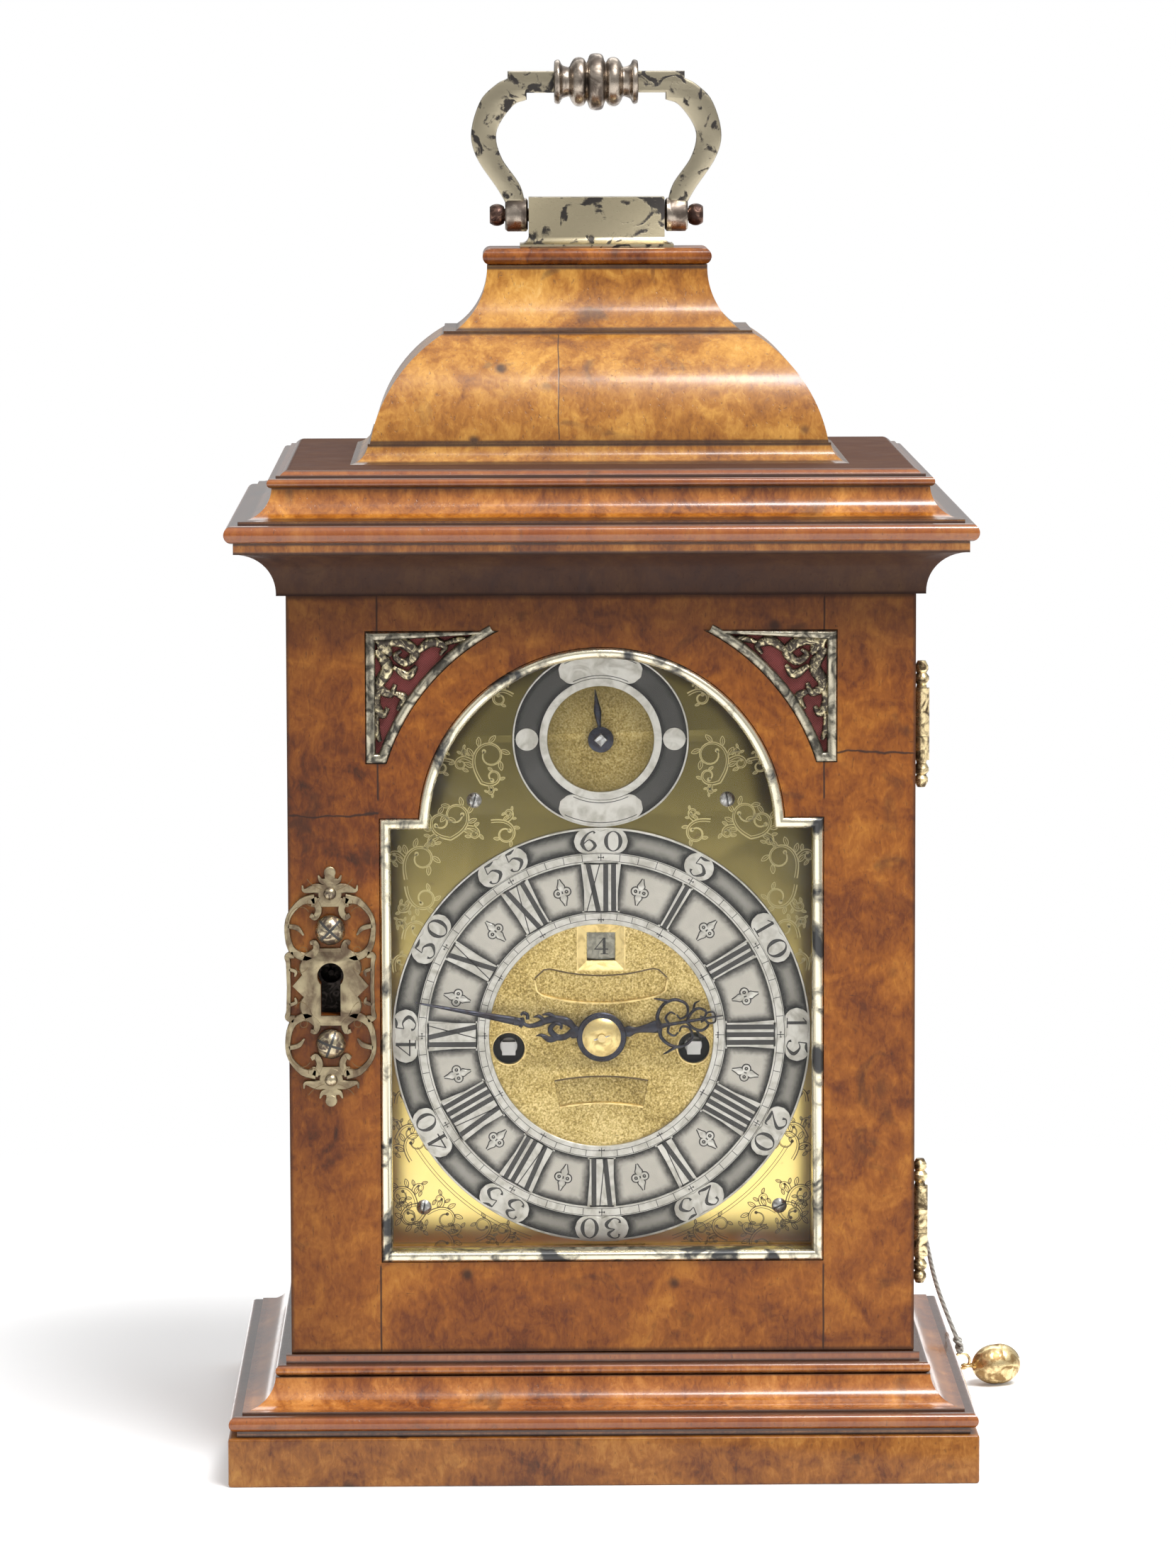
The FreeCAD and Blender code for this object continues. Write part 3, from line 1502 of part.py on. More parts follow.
def make_going_train():
    centre = at_height("dial_centre_height")
    arbor = size("arbor_radius")
    clearance = size("running_clearance")
    thick = size("wheel_thickness")
    great_y = plate_inner + 1.0
    wheel_y = back_plate_inner - 3 * thick
    front_end = hand_layers["minute"] - 2.4
    pieces = [
        rod("centre_shaft", arbor, (0, front_end, centre), back_plate_rear - front_end,
            FRONT_TO_BACK),
        rod("centre_pinion", size("centre_pinion_radius"), (0, great_y, centre),
            2 * thick, FRONT_TO_BACK),
        rod("centre_wheel_disc", size("centre_wheel_radius"), (0, wheel_y, centre), thick,
            FRONT_TO_BACK),
        rod("cannon_pipe", cannon_radius, (0, hand_layers["minute"] + size("hand_thickness"),
                                           centre),
            plate_front - hand_layers["minute"] - size("hand_thickness") - 0.3,
            FRONT_TO_BACK),
    ]
    keep("centre_arbor", fuse("centre_arbor_solid", pieces))
    pipe_front = hand_layers["hour"]
    pipe_length = plate_front - 2.2 - pipe_front
    pipe = rod("hour_pipe", hour_pipe_radius, (0, pipe_front, centre), pipe_length,
               FRONT_TO_BACK)
    disc = rod("hour_wheel_disc", size("hour_wheel_radius"),
               (0, plate_front - 2.2 - thick, centre), thick, FRONT_TO_BACK)
    bore = rod("hour_pipe_bore", cannon_radius + clearance,
               (0, pipe_front - 1, centre), pipe_length + 2, FRONT_TO_BACK)
    keep("hour_wheel", cut("hour_wheel_cut", fuse("hour_wheel_solid", [pipe, disc]),
                           [bore]))
    rim = rod("contrate_rim", size("contrate_radius"), (0, contrate_y, contrate_height),
              2 * thick, FRONT_TO_BACK)
    dish = rod("contrate_dish", size("contrate_radius") - thick / 2,
               (0, contrate_y + thick, contrate_height), 2 * thick, FRONT_TO_BACK)
    shaft = rod("contrate_shaft", arbor, (0, plate_front, contrate_height),
                back_plate_rear - plate_front, FRONT_TO_BACK)
    pinion = rod("contrate_pinion", size("contrate_pinion_radius"),
                 (0, wheel_y - thick / 2, contrate_height), 2 * thick, FRONT_TO_BACK)
    rim = cut("contrate_wheel_cut", rim, [dish])
    keep("contrate_wheel", fuse("contrate_solid", [rim, shaft, pinion]))
    low = contrate_height + size("contrate_radius") - 3.4
    crown_top = at_height("verge_height") - 4.5
    crown = rod("crown_drum", size("crown_radius"), (0, crown_y, crown_top - 4.0), 4.0)
    hollow = rod("crown_hollow", size("crown_radius") - 1.2,
                 (0, crown_y, crown_top - 3.0), 4.0)
    crown = cut("crown_ring", crown, [hollow])
    shaft = rod("crown_shaft", arbor * 0.7, (0, crown_y, low - 2.4),
                crown_top + 2.3 - low + 2.4)
    pinion = rod("crown_pinion", size("crown_pinion_radius"), (0, crown_y, low), 4.5)
    keep("crown_wheel", fuse("crown_solid", [crown, shaft, pinion]))
    side = size("potence_reach")
    foot = box("potence_foot", (as_size(-4), side),
               (crown_y - 2, back_plate_inner), (low - 5.4, low - 1.4))
    column = box("potence_column", (0.8 * side, side),
                 (crown_y - 2, crown_y + 2), (low - 5.4, crown_top + 2.4))
    nose = box("potence_nose", (as_size(-2.5), side),
               (crown_y - 2, crown_y + 2), (crown_top + 0.6, crown_top + 2.4))
    solid = fuse("potence_solid", [foot, column, nose])
    bore = rod("potence_bore", arbor * 0.7 + clearance, (0, crown_y, low - 2.6),
               crown_top + 6 - low)
    return cut("potence_cut", solid, [bore])


def make_pendulum():
    """The verge with its two flags, and the short rod and bob behind the plate."""
    arbor = size("arbor_radius")
    height = at_height("verge_height")
    rear = back_plate_rear + size("cock_reach")
    shaft = rod("verge_shaft", arbor, (0, plate_front, height),
                rear + size("plate_thickness") - plate_front, FRONT_TO_BACK)
    pieces = [shaft]
    flag_drop = 3.0
    for word, sign in (("front", -1), ("rear", 1)):
        middle = crown_y + sign * (size("crown_radius") - 0.6)
        pieces.append(box(f"verge_flag_{word}", (as_size(-0.5), as_size(0.5)),
                          (middle - 1, middle + 1), (height - flag_drop - arbor / 2, height)))
    rod_y = back_plate_rear + size("cock_reach") / 2
    length = size("pendulum_length")
    pieces.append(rod("pendulum_rod", arbor * 0.7, (0, rod_y, height - length), length))
    thickness = size("bob_thickness")
    pieces.append(rod("pendulum_bob", size("bob_radius"),
                      (0, rod_y - thickness / 2, height - length), thickness,
                      FRONT_TO_BACK))
    keep("verge_pendulum", fuse("verge_solid", pieces))
    half = size("cock_half_width")
    cheek = 4.0
    boxes = [box("cock_bridge", (-half, half), (rear, rear + size("plate_thickness")),
                 (height - 5, height + 5))]
    for word, sign in (("left", -1), ("right", 1)):
        across = (-half, -half + cheek) if sign < 0 else (half - cheek, half)
        boxes.append(box(f"cock_leg_{word}", across, (back_plate_rear, rear),
                         (height - 5, height + 5)))
    bore = rod("cock_bore", arbor + size("running_clearance"), (0, rear - 1, height),
               size("plate_thickness") + 2, FRONT_TO_BACK)
    return cut("cock_cut", fuse("cock_solid", boxes), [bore])


def make_winding(side, sign):
    """One fusee on its winding arbor, its great wheel, its barrel and its gut."""
    centre = at_height("dial_centre_height")
    x = sign * size("winding_spread")
    height = centre - size("winding_drop")
    thick = size("wheel_thickness")
    clearance = size("running_clearance")
    great_y = plate_inner + 1.0
    cone_y = great_y + thick + size("mesh_gap")
    shaft_start = chapter_front + 1.0
    square = size("winding_square")
    square_length = dial_back - shaft_start + 3.0
    half = square / 2
    pieces = [
        taper(f"{side}_cone", size("fusee_large_radius"), size("fusee_small_radius"),
              (x, cone_y, height), size("fusee_length"), FRONT_TO_BACK),
        rod(f"{side}_shaft", fusee_arbor_radius, (x, shaft_start + square_length, height),
            back_plate_rear - shaft_start - square_length, FRONT_TO_BACK),
        box(f"{side}_square", (x - half, x + half),
            (shaft_start, shaft_start + square_length + 0.5),
            (height - half, height + half)),
    ]
    keep(f"{side}_fusee", fuse(f"{side}_fusee_solid", pieces))
    keep(f"{side}_great_wheel", wheel_between(
        f"{side}_great", size(f"{side}_wheel_radius"), x, great_y, height, thick,
        fusee_arbor_radius + clearance))
    barrel_x = sign * size("barrel_spread")
    barrel_height = centre - size("barrel_drop")
    barrel_y = cone_y
    drum = rod(f"{side}_drum", size("barrel_radius"), (barrel_x, barrel_y, barrel_height),
               size("barrel_length"), FRONT_TO_BACK)
    shaft = rod(f"{side}_barrel_shaft", size("arbor_radius"),
                (barrel_x, plate_front, barrel_height), back_plate_rear - plate_front,
                FRONT_TO_BACK)
    keep(f"{side}_barrel", fuse(f"{side}_barrel_solid", [drum, shaft]))


def gut_run(side, sign):
    """The straight run of gut, on the outer tangent from barrel to fusee."""
    share = 0.5
    line_y = plate_inner + 1.0 + size("wheel_thickness") + size("mesh_gap")
    line_y = line_y + size("fusee_length") * share
    radius = size("gut_diameter") / 2
    fusee_radius = size("fusee_large_radius")
    fusee_radius += (size("fusee_small_radius") - fusee_radius) * share
    centre = at_height("dial_centre_height").value
    low = Vector(sign * size("barrel_spread").value, line_y.value,
                 centre - size("barrel_drop").value)
    high = Vector(sign * size("winding_spread").value, line_y.value,
                  centre - size("winding_drop").value)
    touch = radius.value + 0.35
    low_radius = size("barrel_radius").value + touch
    high_radius = fusee_radius.value + touch
    way = high - low
    tilt = math.asin((low_radius - high_radius) / way.Length)
    along = way.normalize()
    out = Vector(sign * along.z, 0, -sign * along.x)
    normal = out * math.cos(tilt) + along * math.sin(tilt)
    run = Part.makeCylinder(radius.value, (high + normal * high_radius
                                           - low - normal * low_radius).Length,
                            low + normal * low_radius,
                            high + normal * high_radius - low - normal * low_radius)
    item = doc.addObject("Part::Feature", f"{side}_gut")
    item.Shape = run
    return item


def make_strike():
    thick = size("wheel_thickness")
    arbor = size("arbor_radius")
    x = -size("pin_wheel_spread")
    height = at_height("pin_wheel_height")
    wheel_y = back_plate_inner - 3 * thick
    great_y = plate_inner + 1.0
    pieces = [
        rod("pin_wheel_disc", size("pin_wheel_radius"), (x, wheel_y, height), thick,
            FRONT_TO_BACK),
        rod("pin_wheel_pinion", size("strike_pinion_radius"), (x, great_y, height),
            2 * thick, FRONT_TO_BACK),
        rod("pin_wheel_shaft", arbor, (x, plate_front, height),
            back_plate_rear - plate_front, FRONT_TO_BACK),
    ]
    for index in range(8):
        angle = math.radians(45 * index)
        reach = size("pin_wheel_radius") * 0.82
        pieces.append(rod(f"pin_wheel_pin_{index}", 0.7,
                          (x + reach * math.cos(angle), wheel_y - 2.2,
                           height + reach * math.sin(angle)), 3.0, FRONT_TO_BACK))
    keep("pin_wheel", fuse("pin_wheel_solid", pieces))
    x = -size("hammer_spread")
    height = at_height("hammer_height")
    head = size("hammer_head_radius")
    head_x = -size("gong_radius") - head - 0.6
    head_height = at_height("gong_rim_height") + 4
    gong_y = size("gong_y")
    lean = head_x - x
    rise = head_height - height
    reach = root(lean * lean + rise * rise)
    tilt = math.degrees(math.atan2(lean.value, rise.value))
    pieces = [
        rod("hammer_shaft", arbor, (x, plate_front, height), back_plate_rear - plate_front,
            FRONT_TO_BACK),
        rod("hammer_stem", 1.0, (x, gong_y, height), reach,
            Rotation(Vector(0, 1, 0), tilt)),
        ball("hammer_head", head, head_x, gong_y, head_height),
    ]
    keep("hammer", fuse("hammer_solid", pieces))
    outer = size("gong_radius")
    tall = size("gong_height")
    wall = size("gong_wall")
    rim = at_height("gong_rim_height")
    outline = [
        (outer, 0), bowed((outer, as_size(0)), (as_size(2), tall), 0.2),
        (2, tall - wall),
        bowed((as_size(2), tall - wall), (outer - wall, as_size(0)), -0.2),
    ]
    keep("hour_bell", turned("bell_turning", outline, 0, gong_y, rim))
    top = rim + tall
    post_x = size("plate_half_width") / 2
    post = box("bell_post", (post_x - 3, post_x + 3),
               (back_plate_rear, back_plate_rear + 2.5),
               (at_height("plate_top") - size("bell_post_lap"), top + 3))
    arm_length = root(post_x * post_x + (back_plate_rear - gong_y) * (back_plate_rear - gong_y))
    swing = math.degrees(math.atan2((back_plate_rear - gong_y).value, post_x.value))
    arm = doc.addObject("Part::Box", "bell_arm")
    bind(arm, "Length", arm_length + 3)
    bind(arm, "Width", 5.0)
    bind(arm, "Height", 3.0)
    offset = Rotation(Vector(0, 0, 1), swing).multVec(Vector(-3, -2.5, 0))
    place(arm, offset.x, gong_y + offset.y, top, Rotation(Vector(0, 0, 1), swing))
    stem = rod("bell_screw", 1.95, (0, gong_y, top - wall - 2.5), wall + 2.5)
    nut = rod("bell_nut", 4.0, (0, gong_y, top - wall - 2.5), 2.0)
    keep("bell_stand", fuse("bell_stand_solid", [post, arm, stem, nut]))


# ----------------------------------------------------- repeat cord and its bell
# The cord leaves the right side level and hangs down beside the base to its knot.
# The middle points are shares of the way from the first bend to the knot.
CORD_SHARES = ((0.256, 0.207, 0.274), (0.477, 0.483, 0.575), (0.797, 0.770, 0.841))
CORD_BEND = 4.5
KNOT_OUTSIDE = 3.1
KNOT_BACKWARDS = 43.5
KNOT_RISE = 9.2
TABLE_GAP = 0.25
ARC_SHARE = 0.45


def cord_path(points):
    """Straight runs joined by tangent arcs, and the arcs' radii."""
    edges = []
    radii = []
    here = points[0]
    for before, corner, after in zip(points, points[1:], points[2:]):
        back = (before - corner)
        ahead = (after - corner)
        reach = ARC_SHARE * min(back.Length, ahead.Length)
        back.normalize()
        ahead.normalize()
        turn = math.pi - back.getAngle(ahead)
        radius = reach / math.tan(turn / 2)
        radii.append(radius)
        begin = corner + back * reach
        end = corner + ahead * reach
        inward = (back + ahead).normalize()
        centre = corner + inward * (radius / math.cos(turn / 2))
        middle = centre + (corner - centre).normalize() * radius
        edges.append(Part.LineSegment(here, begin).toShape())
        edges.append(Part.Arc(begin, middle, end).toShape())
        here = end
    edges.append(Part.LineSegment(here, points[-1]).toShape())
    return Part.Wire(edges), radii


def knot_point():
    base_edge = half_width.value + SIZES["plinth_projection"]
    return Vector(base_edge + KNOT_OUTSIDE, SIZES["cord_exit_y"] + KNOT_BACKWARDS,
                  SIZES["crotal_radius"] + KNOT_RISE)


def cord_route():
    start = Vector(inner_half_width.value, SIZES["cord_exit_y"], SIZES["cord_exit_height"])
    bend = Vector(half_width.value + CORD_BEND, start.y, start.z)
    way = knot_point() - bend
    route = [start, bend]
    for along, back, down in CORD_SHARES:
        route.append(bend + Vector(along * way.x, back * way.y, down * way.z))
    route.append(knot_point())
    return route


def make_cord():
    diameter = SIZES["cord_diameter"]
    route = cord_route()
    path, radii = cord_path(route)
    start = route[0]
    section = Part.Wire(Part.makeCircle(diameter / 2, start, Vector(1, 0, 0)))
    tube = path.makePipeShell([section], True, False)
    expected = math.pi * diameter ** 2 / 4 * path.Length
    print("cord length", round(path.Length, 2), "radii",
          [round(radius, 1) for radius in radii],
          "volume over section times length", round(tube.Volume / expected, 4))
    cord = doc.addObject("Part::Feature", "cord_tube")
    cord.Shape = tube
    knot_end = route[-1]
    knot = [
        ball("knot_upper", 1.25 * size("cord_diameter"), knot_end.x, knot_end.y,
             knot_end.z),
        ball("knot_lower", 1.1 * size("cord_diameter"), knot_end.x + 0.9,
             knot_end.y + 0.3, knot_end.z - 2.9),
    ]
    room = doc.addObject("Part::Torus", "knot_ring_room")
    link(room, LINK_WIRE + SIZES["running_clearance"])
    tail = doc.addObject("Part::Feature", "knot_cord_room")
    tail.Shape = tube
    group("repeat_cord", [cord, cut("knot_cut", fuse("knot_solid", knot), [room, tail])])
    hole = size("cord_diameter") / 2 + size("cord_clearance")
    bush = [
        rod("bush_tube", size("cord_diameter") / 2 + 1.3,
            (inner_half_width, size("cord_exit_y"), size("cord_exit_height")),
            size("side_thickness"), LEFT_TO_RIGHT),
        rod("bush_flange", size("cord_diameter") / 2 + 2.6,
            (half_width, size("cord_exit_y"), size("cord_exit_height")), 1.0,
            LEFT_TO_RIGHT),
    ]
    bore = rod("bush_bore", hole,
               (inner_half_width - 1, size("cord_exit_y"), size("cord_exit_height")),
               size("side_thickness") + 3, LEFT_TO_RIGHT)
    keep("cord_bush", cut("bush_cut", fuse("bush_solid", bush), [bore]))


# Places of the ring, the bell's eye and the bell itself, from the knot.
KNOT_TO_RING = Vector(1.4, 0.5, -6.9)
KNOT_TO_EYE = Vector(3.1, 0.5, -8.4)
KNOT_TO_CROTAL = Vector(12.8, 5.2, TABLE_GAP - KNOT_RISE)
RING_RADIUS = 2.5
EYE_RADIUS = 1.5
LINK_WIRE = 0.45
CROTAL_BEARING = 26.0


def link(torus, wire_radius):
    torus.Radius1 = RING_RADIUS
    torus.Radius2 = wire_radius
    torus.Placement = Placement(knot_point() + KNOT_TO_RING, Rotation(Vector(1, 0, 0), 90))


def make_crotal():
    """The rumbler bell that lies on the table, with a loose pellet inside."""
    radius = size("crotal_radius")
    wall = size("crotal_wall")
    half = size("crotal_length") / 2
    turn = Rotation(Vector(0, 0, 1), CROTAL_BEARING) * Rotation(Vector(0, 1, 0), 90)
    middle = knot_point() + KNOT_TO_CROTAL
    eye_centre = knot_point() + KNOT_TO_EYE
    shell = [
        (0, -half), (0.22 * radius, -half),
        (radius, 0, 0.8 * radius, -0.62 * half),
        (0.42 * radius, 0.9 * half, 0.88 * radius, 0.55 * half),
        (0, 0.98 * half),
    ]
    hollow = [
        (0, -0.82 * half + wall), (radius - wall, 0, 0.74 * radius - wall / 2, -0.58 * half),
        (0.36 * radius, 0.82 * half, 0.8 * radius - wall / 2, 0.5 * half),
        (0, 0.86 * half),
    ]
    body = turned("crotal_outer", shell, *middle, turn)
    inside = turned("crotal_inner", hollow, *middle, turn)
    slit = doc.addObject("Part::Box", "crotal_slit")
    bind(slit, "Length", 3 * radius)
    slit.Width = 1.2
    bind(slit, "Height", half)
    corner = turn.multVec(Vector(-1.5 * radius.value, -0.6, 0.35 * half.value))
    place(slit, *(middle + corner), turn)
    eye = doc.addObject("Part::Torus", "crotal_eye")
    eye.Radius1 = EYE_RADIUS
    eye.Radius2 = LINK_WIRE
    eye.Placement = Placement(eye_centre, UPRIGHT)
    neck_from = eye_centre + Vector(EYE_RADIUS, 0, 0)
    neck_to = middle - turn.multVec(Vector(0, 0, 0.9 * half.value))
    neck = doc.addObject("Part::Feature", "crotal_neck")
    neck.Shape = Part.makeCylinder(0.8, (neck_to - neck_from).Length, neck_from,
                                   neck_to - neck_from)
    shell_cut = cut("crotal_cut", fuse("crotal_solid", [body, neck, eye]), [inside, slit])
    drop = radius.value - wall.value - 1.9
    pellet = ball("crotal_pellet", 1.6, middle.x, middle.y, middle.z - drop)
    ring = doc.addObject("Part::Torus", "crotal_ring")
    link(ring, LINK_WIRE)
    group("crotal_bell", [shell_cut, pellet, ring])


# -------------------------------------------------------------------- assembly
make_base()
make_cornice()
make_bell_top()
make_sides()
case_hinges_front = make_hinges("front")
case_hinges_back = make_hinges("back")
group("case_hinges", case_hinges_front + case_hinges_back)
make_front_door()
make_door_fittings()
make_escutcheon()
make_lock()
make_back_door()
make_handle()
make_mask()
make_dial()
make_date_wheel()
make_hands()
make_plates()
make_seat()
group("movement_cocks", [make_going_train(), make_pendulum()])
make_winding("going", 1)
make_winding("strike", -1)
group("gut_lines", [gut_run("going", 1), gut_run("strike", -1)])
make_strike()
make_cord()
make_crotal()
doc.recompute()

for item in doc.Objects:
    if "Invalid" in item.State or "Error" in item.State:
        raise RuntimeError(f"{item.Name} did not build: {item.State}")
for name, item in parts.items():
    if item.Shape.isNull() or not item.Shape.isValid():
        raise RuntimeError(f"{name} has no sound shape")

os.makedirs("parts", exist_ok=True)
for name, item in parts.items():
    item.Shape.exportStep(f"parts/{name}.step")
print(len(parts), "pieces written")
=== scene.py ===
# %% [markdown]
# # Dressing a small table clock
# The clock is a veneered wooden case with a brass dial behind a glazed door, and a
# brass handle on top.  Its solids come from a imported CAD model.  Here each of them
# gets the finish of the real piece, and the pieces that deserve more detail, such as
# the silvered hour ring, are built anew as surfaces worked out with numpy.
# We load the imported model first, and count its nodes.

# %% Load the frame
import math

import bmesh
import bpy
import numpy as np
from mathutils import Matrix, Vector


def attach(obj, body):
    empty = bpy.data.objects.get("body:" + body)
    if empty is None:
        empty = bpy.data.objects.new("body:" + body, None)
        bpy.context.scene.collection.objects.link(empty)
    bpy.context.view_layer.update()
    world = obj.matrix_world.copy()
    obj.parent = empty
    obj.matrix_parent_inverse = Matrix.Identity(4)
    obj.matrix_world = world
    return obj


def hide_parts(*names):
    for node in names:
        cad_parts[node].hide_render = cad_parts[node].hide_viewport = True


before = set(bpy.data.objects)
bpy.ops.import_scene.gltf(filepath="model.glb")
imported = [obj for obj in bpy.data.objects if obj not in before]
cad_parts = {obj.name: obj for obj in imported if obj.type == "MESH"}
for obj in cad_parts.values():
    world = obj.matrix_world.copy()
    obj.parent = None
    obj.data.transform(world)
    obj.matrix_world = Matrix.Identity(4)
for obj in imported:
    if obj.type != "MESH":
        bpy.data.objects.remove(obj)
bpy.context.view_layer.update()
MM = 0.001
print("nodes in the frame:", len(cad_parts), "- all sizes below are millimetres")

# %% [markdown]
# ## The camera
# A render can only be compared with the photograph if it is taken from the same
# place.  The camera stands about two metres away, a little above the clock, and
# looks slightly down, so we give its place and its three small turns.

# %% Camera
CAMERA_PLACE = (-30.2155, -1985.811, 432.107)
CAMERA_YAW, CAMERA_PITCH, CAMERA_ROLL = np.radians([0.7845, 6.6627, -0.1528])
CAMERA_LENS = 148.594
ahead = Vector((math.sin(CAMERA_YAW) * math.cos(CAMERA_PITCH),
                math.cos(CAMERA_YAW) * math.cos(CAMERA_PITCH), -math.sin(CAMERA_PITCH)))
right = ahead.cross(Vector((0, 0, 1))).normalized()
up = right.cross(ahead)
rolled_right = right * math.cos(CAMERA_ROLL) + up * math.sin(CAMERA_ROLL)
rolled_up = up * math.cos(CAMERA_ROLL) - right * math.sin(CAMERA_ROLL)
camera = bpy.data.objects.new("camera", bpy.data.cameras.new("camera"))
bpy.context.scene.collection.objects.link(camera)
turn = Matrix((rolled_right, rolled_up, -ahead)).transposed().to_4x4()
camera.matrix_world = Matrix.Translation(Vector(CAMERA_PLACE) * MM) @ turn
camera.data.lens = CAMERA_LENS
camera.data.clip_start = 0.05
camera.data.clip_end = 30
bpy.context.scene.camera = camera
bpy.context.scene.view_settings.view_transform = "Standard"
print("camera is", round(Vector(CAMERA_PLACE).length), "mm from the clock's foot")

# %% [markdown]
# ## Sums in a shader
# A finish such as walnut is a long sum of noises.  Written as nodes it is hard to
# read, so a small class wraps a node's socket: adding or multiplying two of them
# adds the Math node.  `Finish` holds one material and makes every other node.

# %% Shader sums
class Wire:
    """A socket of a finish that can stand in a sum."""

    def __init__(self, finish, socket):
        self.finish = finish
        self.socket = socket

    def sum(self, operation, *values):
        return self.finish.node("ShaderNodeMath", {"operation": operation}, list(values))

    def __add__(self, other):
        return self.sum("ADD", self, other)

    def __sub__(self, other):
        return self.sum("SUBTRACT", self, other)

    def __rsub__(self, other):
        return self.sum("SUBTRACT", other, self)

    def __mul__(self, other):
        return self.sum("MULTIPLY", self, other)

    def __truediv__(self, other):
        return self.sum("DIVIDE", self, other)

    def __pow__(self, other):
        return self.sum("POWER", self, other)

    def __abs__(self):
        return self.sum("ABSOLUTE", self)

    def most(self, other):
        return self.sum("MAXIMUM", self, other)

    def least(self, other):
        return self.sum("MINIMUM", self, other)

    def step(self, low, high, out_low=0.0, out_high=1.0):
        """Rises smoothly from out_low to out_high while the wire goes from low to high."""
        return self.finish.node("ShaderNodeMapRange", {"interpolation_type": "SMOOTHSTEP"},
                                [self, low, high, out_low, out_high])

    __radd__ = __add__
    __rmul__ = __mul__


class Finish:
    """One material: a Principled surface and the nodes that feed it."""

    def __init__(self, name):
        self.material = bpy.data.materials.new(name)
        self.material.use_nodes = True
        self.tree = self.material.node_tree
        self.surface = self.tree.nodes["Principled BSDF"]
        self.here = self.node("ShaderNodeTexCoord", {}, {}, "Object")
        split = self.node("ShaderNodeSeparateXYZ", {}, [self.here], None)
        self.x, self.y, self.z = [Wire(self, split.outputs[k]) * 1000 for k in range(3)]

    def node(self, kind, settings, values, output=0):
        made = self.tree.nodes.new(kind)
        stops = settings.get("stops")
        for key, value in settings.items():
            if key != "stops":
                setattr(made, key, value)
        if stops:
            while len(made.color_ramp.elements) < len(stops):
                made.color_ramp.elements.new(0.5)
            for element, (place, colour) in zip(made.color_ramp.elements, stops):
                element.position = place
                element.color = (*colour, 1)
        pairs = values.items() if isinstance(values, dict) else enumerate(values)
        for key, value in pairs:
            self.feed(made.inputs[key], value)
        return made if output is None else Wire(self, made.outputs[output])

    def feed(self, socket, value):
        if isinstance(value, Wire):
            self.tree.links.new(value.socket, socket)
        elif isinstance(value, tuple) and len(value) == 3 and socket.type == "RGBA":
            socket.default_value = (*value, 1)
        else:
            socket.default_value = value

    def stretched(self, scale, turn=(0, 0, 0), place=(0, 0, 0)):
        return self.node("ShaderNodeMapping", {}, {
            "Vector": self.here, "Location": place, "Rotation": tuple(np.radians(turn)),
            "Scale": scale})

    def noise(self, size, detail=3.0, bend=0.0, where=None, roughness=0.5):
        """Cloudy noise from 0 to 1, with clouds about size millimetres wide."""
        return self.node("ShaderNodeTexNoise", {}, {
            "Vector": where or self.here, "Scale": 1000.0 / size, "Detail": detail,
            "Distortion": bend, "Roughness": roughness})

    def cells(self, size, where=None, feature="F1"):
        """Distance to the nearest of scattered points about size millimetres apart."""
        return self.node("ShaderNodeTexVoronoi", {"feature": feature}, {
            "Vector": where or self.here, "Scale": 1000.0 / size})

    def ramp(self, factor, *stops):
        return self.node("ShaderNodeValToRGB", {"stops": stops}, [factor])

    def mix(self, factor, first, second, blend="MIX"):
        made = self.node("ShaderNodeMix", {"data_type": "RGBA", "blend_type": blend},
                         {"Factor": factor}, None)
        self.feed(made.inputs[6], first)
        self.feed(made.inputs[7], second)
        return Wire(self, made.outputs[2])

    def bump(self, height, depth, strength=1.0):
        return self.node("ShaderNodeBump", {}, {
            "Height": height, "Distance": depth * MM, "Strength": strength})

    def wear(self, **sockets):
        for key, value in sockets.items():
            self.feed(self.surface.inputs[key.replace("_", " ")], value)
        return self.material


print("shader helpers are ready")

# %% [markdown]
# ## Walnut veneer
# Burr walnut has no straight grain.  Its figure is a cloud of honey and brown
# patches with small dark eyes, and years of polish leave it glossy.  Two bent
# noises make the clouds, a third makes the fine fibres, and thin dark lines at
# given heights are painted shade in the quirks of the mouldings.

# %% Walnut
HONEY, AMBER, BROWN, UMBER = (
    (0.54, 0.205, 0.028), (0.33, 0.098, 0.009), (0.17, 0.040, 0.004), (0.030, 0.009, 0.003))


def lines_at(finish, coordinate, places, reach):
    """1 on thin lines across a coordinate and 0 a little beyond them."""
    total = None
    for place in places:
        line = abs(coordinate - place).step(0.15, reach, 1.0, 0.0)
        total = line if total is None else total.most(line)
    return total


